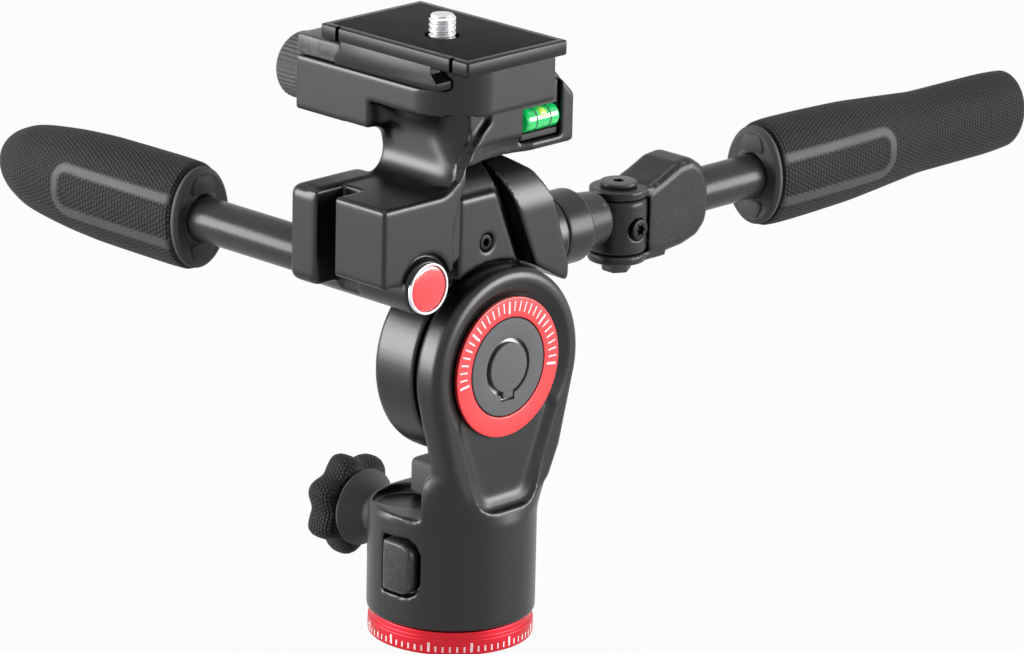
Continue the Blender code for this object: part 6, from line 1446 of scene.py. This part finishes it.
def grip_piece(name, axis, sign, start, length, centre, shares):
    """Rubber grip as a fine skin round its oval section, with a raised band on both flat sides."""
    steps = round(bpy.context.scene.head_sizes.turned_steps * GRIP_STEP_SHARE)
    across, beyond, along = AXES[axis]
    width_at = eased(shares)
    slow = length * GRIP_END_SHARE
    spots = [slow * k / round(slow / GRIP_ROW) for k in range(round(slow / GRIP_ROW))]
    spots += [slow + (length - slow) * k / GRIP_END_ROWS for k in range(GRIP_END_ROWS + 1)]
    bore = TUBE_RADIUS + GAP
    rows, bands = [], []

    def add_ring(distance, tall_radius, flat_radius, with_band):
        row = []
        for i in range(steps):
            flat, tall = math.cos(2 * math.pi * i / steps), math.sin(2 * math.pi * i / steps)
            band, panel = band_share(tall_radius * tall, distance) if with_band else (0.0, 0.0)
            lift = BAND_RISE * band - PANEL_SINK * panel
            row.append(Vector(centre) + along * (start + sign * distance)
                       + across * ((flat_radius + lift) * flat) + beyond * ((tall_radius + lift) * tall))
            bands.append(band)
        rows.append(row)

    def add_pole(distance):
        rows.append([Vector(centre) + along * (start + sign * distance)])
        bands.append(0.0)

    add_pole(GRIP_SOCKET)
    add_ring(GRIP_SOCKET, bore, bore, False)
    add_ring(0.0, bore, bore, False)
    rim = GRIP_RADIUS * shares[0][1] - EDGE
    add_ring(0.0, rim, rim * GRIP_FLATNESS, False)
    for spot in spots:
        radius = GRIP_RADIUS * width_at(spot / length)
        add_ring(spot + (EDGE / 2 if spot == 0.0 else 0.0), radius, radius * GRIP_FLATNESS, True)
    add_pole(length)
    made = skin(name, rows)
    band = made.data.attributes.new("band", "FLOAT", "POINT")
    band.data.foreach_set("value", bands)
    return made


def end_cap_piece(name, axis, low, high, centre, towards):
    """Moulded cap at the inner end of a grip: a domed oval with two raised lobes and a collar."""
    radius = GRIP_RADIUS * GRIP_CAP_SHARE
    outer, inner = (high, low) if towards > 0 else (low, high)
    face = inner + towards * GAP
    bore = TUBE_RADIUS + GAP
    profile = softened([(bore, outer), (radius, outer), (radius, inner + towards * SOFT_EDGE),
                        (radius * GRIP_CAP_RIM, face),
                        (radius * GRIP_CAP_SLOPE, inner + towards * SMALL_EDGE),
                        (radius * GRIP_CAP_COLLAR, face), (bore, face)], SMALL_EDGE)
    pieces = [turned(name, profile, centre, axis, closed=True, flat=(GRIP_FLATNESS, 1.0))]
    across, beyond = (Vector(centre).dot(direction) for direction in AXES[axis][:2])
    ends = sorted((inner, inner + towards * abs(high - low) / 2))
    for side in (-1.0, 1.0):
        middle = side * radius * LOBE_MIDDLE
        near, far = middle - side * LOBE_IN, middle + side * LOBE_OUT
        points = softened([(-radius * LOBE_INNER, near), (radius * LOBE_INNER, near),
                           (radius * LOBE_OUTER, far), (-radius * LOBE_OUTER, far)], LOBE_CORNER)
        pieces.append(prism("cap_lobe", [(across + a, beyond + b) for a, b in points], *ends, axis,
                            LOBE_EDGE, FEW_SEGMENTS))
    return together(name, pieces)


def dress_grip(handle, axis, sign, centre, shares):
    """Build and dress a handle's rubber grip and the moulded cap at the grip's inner end."""
    along = AXES[axis][2]
    low, high = (corner.dot(along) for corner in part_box(handle + "_grip"))
    grip = grip_piece(handle + "_grip_rubber", axis, sign, high if sign < 0.0 else low, high - low, centre,
                      shares)
    dress(grip, handle + "_rubber", handle + "_handle", [handle + "_grip"], SOFT_CREASE)
    low, high = (corner.dot(along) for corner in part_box(handle + "_end_cap"))
    cap = end_cap_piece(handle + "_end_cap_moulded", axis, low, high, centre, sign)
    dress(cap, "black_plastic", handle + "_handle", [handle + "_end_cap"])


def camera_turn():
    """How the camera is turned, from its directions round, above and about its own line of sight."""
    back = Vector((math.sin(CAMERA_AZIMUTH) * math.cos(CAMERA_ELEVATION),
                   -math.cos(CAMERA_AZIMUTH) * math.cos(CAMERA_ELEVATION), math.sin(CAMERA_ELEVATION)))
    level = Vector((math.cos(CAMERA_AZIMUTH), math.sin(CAMERA_AZIMUTH), 0.0))
    upright = back.cross(level)
    right = level * math.cos(CAMERA_ROLL) + upright * math.sin(CAMERA_ROLL)
    up = upright * math.cos(CAMERA_ROLL) - level * math.sin(CAMERA_ROLL)
    return Matrix((right, up, back)).transposed().to_4x4()


# Operators: the stage and each group of pieces


class HEAD_OT_stage(bpy.types.Operator):
    """Add the floor, the soft lights, the surroundings and the camera"""

    bl_idname = "head.stage"
    bl_label = "Stage, lights and camera"

    def execute(self, context):
        colours = context.scene.head_colours
        context.scene.view_settings.view_transform = "Standard"
        floor = turned("floor", [(0.0, -FLOOR_GAP), (FLOOR_RADIUS, -FLOOR_GAP), (FLOOR_RADIUS, -FLOOR_DEPTH),
                                 (0.0, -FLOOR_DEPTH)], (0.0, 0.0, 0.0), steps=BROAD_ROUND_STEPS)
        floor.data.materials.append(floor_finish())
        target = Vector((0.0, 0.0, LAMP_AIM))
        for name, size, place in LAMPS:
            lamp = bpy.data.lights.new(name, "AREA")
            lamp.shape = "RECTANGLE"
            lamp.size, lamp.size_y = size
            lamp.energy = getattr(colours, name)
            holder = bpy.data.objects.new(name, lamp)
            context.scene.collection.objects.link(holder)
            holder.location = place
            holder.rotation_euler = (Vector(place) - target).to_track_quat("Z", "Y").to_euler()
        world = bpy.data.worlds.new("studio")
        context.scene.world = world
        world.use_nodes = True
        tree = world.node_tree
        sky = tree.nodes["Background"]
        feed(tree, sky.inputs["Color"], WHITE)
        seen = calc(tree, "MULTIPLY", shown_white(tree), 1.0 - AMBIENT)
        feed(tree, sky.inputs["Strength"], calc(tree, "ADD", seen, AMBIENT))
        lens = bpy.data.cameras.new("camera")
        lens.sensor_width = CAMERA_SENSOR
        lens.lens = CAMERA_LENS
        lens.clip_end = CAMERA_REACH
        camera = bpy.data.objects.new("camera", lens)
        context.scene.collection.objects.link(camera)
        camera.matrix_world = Matrix.Translation(CAMERA_PLACE) @ camera_turn()
        context.scene.camera = camera
        return {"FINISHED"}


class HEAD_OT_finishes(bpy.types.Operator):
    """Make the shader groups and finishes, and paint the nodes of the frame that stay as they are"""

    bl_idname = "head.finishes"
    bl_label = "Finishes"

    def execute(self, context):
        make_finishes()
        paint_nodes("steel", "pan_spindle", "base_screw_1", "base_screw_2", "base_screw_3",
                    "pan_retaining_ring", "pan_lock_bolt", "tilt_axle", "tilt_axle_nut", "tilt_drag_rotor",
                    "tilt_brake_rod", "lateral_shaft", "clamp_screw", "side_bolt")
        paint_nodes("bronze", "tripod_thread_insert", "pan_bush", "tilt_bush", "lateral_bush")
        paint_nodes("black_aluminium", "base_plate", "pan_drag_cartridge", "tilt_drag_housing")
        paint_nodes("nylon", "pan_brake_shoe")
        paint_nodes("pad_rubber", "tilt_seal")
        return {"FINISHED"}


class HEAD_OT_base(bpy.types.Operator):
    """Build the red base ring with its marks"""

    bl_idname = "head.base"
    bl_label = "Base ring"

    def execute(self, context):
        radius, top = RING_HIGH.x, RING_HIGH.z
        bore, step = radius - RING_BORE_DEPTH, radius - RING_STEP
        profile = softened([(step, top), (step, RING_BAND + RING_STEP), (radius, RING_BAND), (radius, 0.0),
                            (bore, 0.0), (bore, top)], RING_EDGE)
        dress(turned("base_ring_turned", profile, (0.0, 0.0, 0.0), closed=True), "red_metal", "base",
              ["base_ring"])
        count = context.scene.head_sizes.base_marks
        marks = []
        for number in range(count):
            strong = number % BASE_MARK_GROUP == 0
            tall = BASE_MARK_LONG if strong else BASE_MARK_SHORT
            wide = BASE_MARK_BROAD if strong else BASE_MARK_FINE
            marks.append(printed_mark((0.0, 0.0, 0.0), "Z", 2 * math.pi * number / count, radius - GAP,
                                      radius + MARK_PROUD, wide, BASE_MARK_LOW, BASE_MARK_LOW + tall))
        dress(together("base_marks", marks), "print_white", "base", [])
        return {"FINISHED"}


class HEAD_OT_body(bpy.types.Operator):
    """Build the body casting with its front pad and the tilt stop"""

    bl_idname = "head.body"
    bl_label = "Body casting"

    def execute(self, context):
        dress(body_piece(), "black_paint", "pan_head", ["body_casting"])
        pad = prism("front_pad_cover", pad_outline(0.0), FRONT_PAD_LOW.y, FRONT_PAD_HIGH.y, "Y", PAD_EDGE,
                    MORE_SEGMENTS)
        dress(pad, "smooth_paint", "pan_head", ["front_pad"])
        stop = block("tilt_stop_block", STOP_LOW, STOP_HIGH, STOP_EDGE, MORE_SEGMENTS)
        dress(stop, "black_plastic", "pan_head", ["tilt_stop"])
        return {"FINISHED"}


class HEAD_OT_pan_knob(bpy.types.Operator):
    """Build the pan lock knob and its hub"""

    bl_idname = "head.pan_knob"
    bl_label = "Pan lock knob"

    def execute(self, context):
        centre = (0.0, 0.0, LOCK_HEIGHT)
        low, high, middle = HUB_LOW.x, HUB_HIGH.x, (HUB_LOW.x + HUB_HIGH.x) / 2
        hub = lathed("pan_knob_hub_turned", [
            (0.0, low), (HUB_FLANGE, low), (HUB_FLANGE, low + EDGE), (HUB_WAIST, middle),
            (HUB_WAIST, high - SOFT_EDGE), (HUB_TIP, high), (HUB_BORE, high), (HUB_BORE, low + OVERRUN),
            (0.0, low + OVERRUN)], BROAD_EDGE, centre, "X")
        dress(hub, "black_plastic", "pan_knob", ["pan_knob_hub"])
        sections = [(KNOB_LOW.x + inset, share) for inset, share in KNOB_OUTER_ROWS]
        sections += [(KNOB_HIGH.x - inset, share) for inset, share in KNOB_INNER_ROWS]

        def lobed(angle, share):
            return (KNOB_HIGH.y - LOBE_DEPTH + LOBE_DEPTH * math.cos(KNOB_LOBES * angle)) * share

        knob = knob_skin("pan_lock_knob_rubber", sections, (0.0, LOCK_HEIGHT), KNOB_STEPS, lobed)
        dress(knob, "knob_rubber", "pan_knob", ["pan_lock_knob"], SOFT_CREASE)
        return {"FINISHED"}


class HEAD_OT_tilt_face(bpy.types.Operator):
    """Build the red ring with its marks, the grey disc and the keyed cap on the paddle"""

    bl_idname = "head.tilt_face"
    bl_label = "Tilt face"

    def execute(self, context):
        centre = (0.0, 0.0, TILT_HEIGHT)
        low, high = MARK_LOW.x, MARK_HIGH.x
        red = ring("tilt_ring_enamel", MARK_HIGH.y, MARK_BORE, low, high, centre, "X", THIN_EDGE)
        dress(red, "red_enamel", "pan_head", ["tilt_mark_ring"])
        disc = ring("tilt_disc", MARK_BORE - GAP, DISC_BORE, low, high, centre, "X", FINE_EDGE)
        key_low, key_high = TILT_HEIGHT - CAP_RADIUS - KEY_REACH, TILT_HEIGHT - CAP_RADIUS / 2
        key_space = KEY_HALF_WIDTH + KEY_GAP
        carve(disc, [block("disc_key", (low - OVERRUN, -key_space, key_low - KEY_GAP),
                           (high + OVERRUN, key_space, key_high))])
        dress(disc, "grey_plastic", "pan_head", ["tilt_face_disc"])
        cap = rod("tilt_cap_turned", CAP_RADIUS, low, low + CAP_RISE, centre, "X", FINE_EDGE)
        key = block("cap_key", (low + TINY, -KEY_HALF_WIDTH, key_low),
                    (low + CAP_RISE - KEY_DROP, KEY_HALF_WIDTH, key_high), FINE_EDGE, FEW_SEGMENTS)
        carve(cap, [key], "UNION")
        dress(cap, "grey_plastic", "pan_head", ["tilt_cap"])
        count = context.scene.head_sizes.tilt_marks
        marks = []
        for number in range(count):
            angle = math.radians(TILT_MARK_SPAN) * (2 * number / (count - 1) - 1)
            strong = abs(number - count // 2) % TILT_MARK_GROUP == 0
            inner = MARK_BORE + (TILT_MARK_LONG if strong else TILT_MARK_SHORT)
            outer = MARK_HIGH.y - TILT_MARK_END
            wide = TILT_MARK_BROAD if strong else TILT_MARK_FINE
            marks.append(printed_mark(centre, "X", math.pi / 2 - angle, inner, outer, wide, high - GAP,
                                      high + MARK_PROUD))
        dress(together("tilt_marks", marks), "print_white", "pan_head", [])
        return {"FINISHED"}


class HEAD_OT_carriage(bpy.types.Operator):
    """Build the drum with its carriage, the rear cover, the drum's end cap and the set screw"""

    bl_idname = "head.carriage"
    bl_label = "Drum and carriage"

    def execute(self, context):
        dress(drum_piece(), "black_paint", "tilt_unit", ["tilt_casting"])
        dress(cover_piece(), "black_paint", "tilt_unit", ["carriage_rear_cover"])
        back = DRUM_BACK - GAP
        face = back - END_CAP_DEPTH
        cap = lathed("drum_end_cap_turned", [
            (0.0, back), (END_CAP_RADIUS, back), (END_CAP_RADIUS, back - EDGE),
            (END_CAP_RADIUS - SOFT_EDGE, face), (END_CAP_RADIUS * DRUM_CAP_DISH, face),
            (END_CAP_RADIUS * DRUM_CAP_GROOVE, face + DRUM_CAP_GROOVE_DEPTH),
            (END_CAP_RADIUS * DRUM_CAP_HUB, face), (0.0, face - EDGE)],
            MOULD_EDGE, (0.0, 0.0, TILT_HEIGHT), "X")
        dress(cap, "black_plastic", "tilt_unit", ["drum_end_cap"])
        centre = (0.0, SET_SCREW_CENTRE.y, SET_SCREW_CENTRE.z)
        screw = rod("set_screw_turned", SET_SCREW_RADIUS, SET_SCREW_LOW.x, SET_SCREW_HIGH.x, centre, "X",
                    FINE_EDGE, HOLE_STEPS)
        carve(screw, [drill("hex_socket", SOCKET_RADIUS, 0.0, SOCKET_REACH,
                            (SET_SCREW_HIGH.x - SOCKET_DEPTH, centre[1], centre[2]), "X", HEX)])
        dress(screw, "black_aluminium", "tilt_unit", ["side_set_screw"])
        return {"FINISHED"}


class HEAD_OT_platform(bpy.types.Operator):
    """Build the platform casting, the level in its arm and the round badge with its bright rim"""

    bl_idname = "head.platform"
    bl_label = "Platform, level and badge"

    def execute(self, context):
        dress(platform_piece(), "black_paint", "platform", ["platform_casting"])
        middle = (VIAL_LOW + VIAL_HIGH) / 2
        along = (middle.x, 0.0, middle.z)
        radius, half = (VIAL_HIGH.z - VIAL_LOW.z) / 2, (VIAL_HIGH.y - VIAL_LOW.y) / 2
        holder = block("level_holder", FRAME_LOW, FRAME_HIGH, SMALL_EDGE)
        carve(holder, [
            drill("vial_trough", radius + GAP, VIAL_LOW.y - GAP, VIAL_HIGH.y + GAP, along, "Y", ROUND_STEPS),
            block("vial_opening", (middle.x, VIAL_LOW.y - GAP, middle.z - radius - GAP),
                  (FRAME_HIGH.x + OVERRUN, VIAL_HIGH.y + GAP, middle.z + radius + GAP))])
        dress(holder, "black_plastic", "platform", ["level_frame"])
        vial = rod("level_tube", radius, VIAL_LOW.y, VIAL_HIGH.y, along, "Y", BROAD_EDGE)
        dress(vial, "level_liquid", "platform", ["level_vial"])
        turns = [math.pi * k / BUBBLE_ROWS for k in range(BUBBLE_ROWS + 1)]
        bubble = turned("level_bubble", [
            (radius * BUBBLE_SHARE * math.sin(turn), half * BUBBLE_LENGTH * math.cos(turn))
            for turn in turns], (middle.x + radius * BUBBLE_PLACE, middle.y,
                                 middle.z + radius * BUBBLE_PLACE), "Y", steps=HOLE_STEPS)
        dress(bubble, "level_bubble", "platform", [])
        lines = []
        for side in (-1.0, 1.0):
            place = middle.y + side * half * LINE_PLACE
            lines.append(ring("level_line", radius + LINE_RISE, radius - GAP, place - LINE_HALF_WIDTH,
                              place + LINE_HALF_WIDTH, along, "Y"))
        dress(together("level_lines", lines), "black_plastic", "platform", [])
        centre = (0.0, SIDE_Y, SIDE_HEIGHT)
        inside, outside = (BADGE_HIGH.y - BADGE_LOW.y) / 2, (RIM_HIGH.y - RIM_LOW.y) / 2
        rise = BADGE_HIGH.x - BADGE_LOW.x
        dome = [(0.0, BADGE_LOW.x), (inside, BADGE_LOW.x)]
        for turn in (math.pi * k / DOME_ROWS for k in range(DOME_ROWS // 2)):
            height = DOME_FOOT + (1.0 - DOME_FOOT) * math.sin(turn)
            dome.append((inside * math.cos(turn), BADGE_LOW.x + rise * height))
        dome.append((0.0, BADGE_HIGH.x))
        dress(turned("badge_dome", dome, centre, "X"), "red_dome", "platform", ["badge_cap"])
        rim = ring("badge_rim_turned", outside, inside + GAP / 2, RIM_LOW.x, RIM_HIGH.x, centre, "X",
                   THIN_EDGE)
        dress(rim, "steel", "platform", ["badge_rim"])
        return {"FINISHED"}


class HEAD_OT_clamp(bpy.types.Operator):
    """Build the movable jaw and the ribbed clamp knob"""

    bl_idname = "head.clamp"
    bl_label = "Clamp jaw and knob"

    def execute(self, context):
        jaw = block("jaw_body", (JAW_LOW.x, BED_FRONT, BED_TOP + GAP), JAW_HIGH, JAW_EDGE)
        lug = block("jaw_lug", (LUG_LEFT, CLAMP_Y - LUG_DEPTH / 2, LUG_BOTTOM),
                    (LUG_LEFT + LUG_WIDTH, CLAMP_Y + LUG_DEPTH / 2, BED_TOP + 2 * EDGE))
        carve(jaw, [lug], "UNION")
        carve(jaw, [
            prism("jaw_rail_cut", rail_outline(GAP), BED_FRONT - OVERRUN, BED_BACK + OVERRUN, "Y"),
            drill("lug_hole", CLAMP_SCREW_SPACE, LUG_LEFT - OVERRUN, LUG_LEFT + LUG_WIDTH + OVERRUN,
                  (0.0, CLAMP_Y, CLAMP_HEIGHT), "X", FINE_HOLE_STEPS)])
        dress(jaw, "smooth_paint", "jaw", ["clamp_jaw"])
        ribs = context.scene.head_sizes.knob_ribs
        radius = (CLAMP_HIGH.y - CLAMP_LOW.y) / 2
        sections = [(CLAMP_LOW.x + inset, share, depth) for inset, share, depth in RIBBED_ROWS]
        sections += [(CLAMP_KNOB_END + inset, share, depth) for inset, share, depth in COLLAR_ROWS]
        sections.append((BED_LEFT - 2 * GAP, *COLLAR_ROWS[-1][1:]))

        def ribbed(angle, share, depth):
            return radius * share - RIB_DEPTH * depth * (0.5 - 0.5 * math.cos(ribs * angle))

        knob = knob_skin("clamp_knob_ribbed", sections, (CLAMP_Y, CLAMP_HEIGHT), ribs * RIB_STEPS, ribbed)
        dress(knob, "black_plastic", "clamp_knob_unit", ["clamp_knob"], RIB_CREASE)
        return {"FINISHED"}


class HEAD_OT_plate(bpy.types.Operator):
    """Build the quick release plate, its rubber pad and the camera screw with a real thread"""

    bl_idname = "head.plate"
    bl_label = "Plate and camera screw"

    def execute(self, context):
        centre = (SCREW_LOW + SCREW_HIGH) / 2
        centre.z = 0.0
        plate = block("plate_body", (PLATE_LOW.x, PLATE_LOW.y, PLATE_BOTTOM), PLATE_HIGH, SMALL_EDGE)
        rail = prism("plate_rail", rail_outline(0.0), PLATE_LOW.y, PLATE_HIGH.y, "Y", RAIL_EDGE,
                     FEW_SEGMENTS)
        carve(plate, [rail], "UNION")
        above, below = PLATE_HIGH.z + OVERRUN, BED_TOP - OVERRUN
        cuts = [block("pad_seat", PAD_LOW - Vector((GAP, GAP, GAP)), PAD_HIGH + Vector((GAP, GAP, OVERRUN))),
                turned("screw_pocket", [
                    (0.0, above), (SCREW_SPACE, above), (SCREW_SPACE, PLATE_BOTTOM + EDGE),
                    (SCREW_HEAD_SPACE, PLATE_BOTTOM + EDGE), (SCREW_HEAD_SPACE, below), (0.0, below)],
                    centre, steps=ROUND_BORE_STEPS)]
        for side in (-1.0, 1.0):
            middle = side * (PLATE_HIGH.x - PLATE_NOTCH_INSET)
            cuts.append(block("plate_notch", (middle - PLATE_NOTCH / 2, PLATE_LOW.y - OVERRUN,
                                              PLATE_BOTTOM - EDGE),
                              (middle + PLATE_NOTCH / 2, PLATE_LOW.y + PLATE_NOTCH, above)))
        carve(plate, cuts)
        dress(plate, "black_aluminium", "plate", ["release_plate"])
        pad = block("plate_pad_rubber", PAD_LOW, PAD_HIGH, THIN_EDGE, FEW_SEGMENTS)
        carve(pad, [drill("pad_hole", PAD_HOLE, PAD_LOW.z - OVERRUN, PAD_HIGH.z + OVERRUN, centre, "Z",
                          context.scene.head_sizes.turned_steps)])
        dress(pad, "pad_rubber", "plate", ["plate_pad"])
        head_top = PLATE_BOTTOM + EDGE - GAP
        screw = threaded("camera_screw_threaded", SCREW_RADIUS, SCREW_ROOT, head_top - EDGE, SCREW_HIGH.z,
                         centre, context.scene.head_sizes.thread_pitch)
        head = rod("screw_head", SCREW_HEAD, SCREW_LOW.z, head_top, centre, "Z", FINE_EDGE)
        carve(head, [block("screw_slot", (centre.x - 2 * SCREW_HEAD, centre.y - SLOT_HALF_WIDTH,
                                          SCREW_LOW.z - OVERRUN),
                           (centre.x + 2 * SCREW_HEAD, centre.y + SLOT_HALF_WIDTH,
                            SCREW_LOW.z + SLOT_DEPTH))])
        dress(together("camera_screw_turned", [screw, head]), "steel", "camera_stud",
              ["camera_screw"])
        return {"FINISHED"}


class HEAD_OT_side_handle(bpy.types.Operator):
    """Build the side handle: tube, inner end cap and rubber grip"""

    bl_idname = "head.side_handle"
    bl_label = "Side handle"

    def execute(self, context):
        centre = (0.0, SIDE_Y, SIDE_HEIGHT)
        low, high = SIDE_TUBE_LOW.x, SIDE_TUBE_HIGH.x
        groove = [(TUBE_RADIUS - sunk, place) for place, sunk in TUBE_GROOVE]
        tube = lathed("side_tube_turned", [
            (0.0, low), (TUBE_RADIUS, low), *groove, (TUBE_RADIUS, high), (TUBE_BORE, high),
            (TUBE_BORE, TUBE_BORE_END), (0.0, TUBE_BORE_END)], FINE_EDGE, centre, "X")
        dress(tube, "tube_paint", "side_handle", ["side_tube"])
        dress_grip("side", "X", -1.0, centre, SIDE_GRIP_SHAPE)
        return {"FINISHED"}


class HEAD_OT_rear_handle(bpy.types.Operator):
    """Build the rear handle: collar, knuckle, fork, pin, star socket screw, tube, cap and rubber grip"""

    bl_idname = "head.rear_handle"
    bl_label = "Rear handle"

    def execute(self, context):
        axis, hinge = (0.0, 0.0, REAR_HEIGHT), (0.0, FOLD_Y, 0.0)
        dress(knuckle_piece(axis, hinge), "smooth_paint", "rear_collar", ["rear_hub"])
        top, tip = FOLD_SCREW_SEAT + FOLD_SCREW_RISE, FOLD_SCREW_SEAT - FOLD_SCREW_DEPTH
        screw = lathed("fold_screw_turned", [
            (0.0, top), (FOLD_SCREW_HEAD, top), (FOLD_SCREW_HEAD, FOLD_SCREW_SEAT),
            (FOLD_SCREW_SHANK, FOLD_SCREW_SEAT), (FOLD_SCREW_SHANK, tip), (0.0, tip)],
            MOULD_EDGE, (0.0, FOLD_Y, FOLD_SCREW_HEIGHT), "X", ROUND_STEPS)
        star = []
        for angle in (2 * math.pi * i / STAR_STEPS for i in range(STAR_STEPS)):
            reach = STAR_RADIUS + STAR_WAVE * math.cos(STAR_POINTS * angle)
            star.append((reach * math.cos(angle) + FOLD_Y, reach * math.sin(angle) + FOLD_SCREW_HEIGHT))
        carve(screw, [prism("star_socket", star, FOLD_SCREW_SEAT + GAP, FOLD_RADIUS + OVERRUN, "X")])
        dress(screw, "black_aluminium", "rear_collar", ["fold_screw"])
        pin = lathed("fold_pin_turned", [
            (0.0, PIN_HIGH.z), (PIN_HEAD, PIN_HIGH.z), (PIN_HEAD, PRONG_TOP + GAP),
            (PIN_SHANK, PRONG_TOP + GAP), (PIN_SHANK, PIN_LOW.z), (0.0, PIN_LOW.z)],
            MOULD_EDGE, hinge, steps=ROUND_STEPS)
        carve(pin, [drill("pin_socket", PIN_SOCKET, 0.0, SOCKET_REACH,
                          (0.0, FOLD_Y, PIN_HIGH.z - PIN_SOCKET_DEPTH), "Z", HEX)])
        dress(pin, "smooth_paint", "rear_collar", ["fold_pin"])
        recess = NUT_HIGH.z - EDGE - GAP
        nut = turned("fold_nut_moulded", [
            (0.0, recess), (NUT_BORE, recess), (NUT_BORE, NUT_HIGH.z), (NUT_RADIUS, NUT_HIGH.z),
            (NUT_RADIUS, NUT_LOW.z + EDGE), (NUT_FOOT, NUT_LOW.z), (0.0, NUT_LOW.z)], hinge, steps=HEX)
        rounded(nut, FINE_EDGE, limit=NUT_EDGE_LIMIT)
        dress(nut, "black_plastic", "rear_collar", ["fold_pin_nut"])
        dress(fork_piece(), "smooth_paint", "rear_handle", ["rear_fork"])
        tube = rod("rear_tube_turned", TUBE_RADIUS, REAR_TUBE_LOW.y, REAR_TUBE_HIGH.y, axis, "Y")
        dress(tube, "tube_paint", "rear_handle", ["rear_tube"])
        dress_grip("rear", "Y", 1.0, axis, REAR_GRIP_SHAPE)
        return {"FINISHED"}


STEPS = (HEAD_OT_finishes, HEAD_OT_base, HEAD_OT_body, HEAD_OT_pan_knob, HEAD_OT_tilt_face, HEAD_OT_carriage,
         HEAD_OT_platform, HEAD_OT_clamp, HEAD_OT_plate, HEAD_OT_side_handle, HEAD_OT_rear_handle,
         HEAD_OT_stage)


class HEAD_PT_panel(bpy.types.Panel):
    """Sidebar panel with the head's sizes, colours and steps"""

    bl_label = "Pan Tilt Head"
    bl_idname = "HEAD_PT_panel"
    bl_space_type = "VIEW_3D"
    bl_region_type = "UI"
    bl_category = "Pan Tilt Head"

    def draw(self, context):
        layout = self.layout
        for settings in (context.scene.head_sizes, context.scene.head_colours):
            column = layout.box().column()
            for label in settings.__annotations__:
                column.prop(settings, label)
        for step in STEPS:
            layout.operator(step.bl_idname)


def register():
    for kind in (HeadSizes, HeadColours, *STEPS, HEAD_PT_panel):
        bpy.utils.register_class(kind)
    bpy.types.Scene.head_sizes = PointerProperty(type=HeadSizes)
    bpy.types.Scene.head_colours = PointerProperty(type=HeadColours)


def unregister():
    del bpy.types.Scene.head_colours
    del bpy.types.Scene.head_sizes
    for kind in (HEAD_PT_panel, *reversed(STEPS), HeadColours, HeadSizes):
        bpy.utils.unregister_class(kind)


def main():
    register()
    for step in STEPS:
        group, name = step.bl_idname.split(".")
        getattr(getattr(bpy.ops, group), name)()


if __name__ == "__main__":
    main()
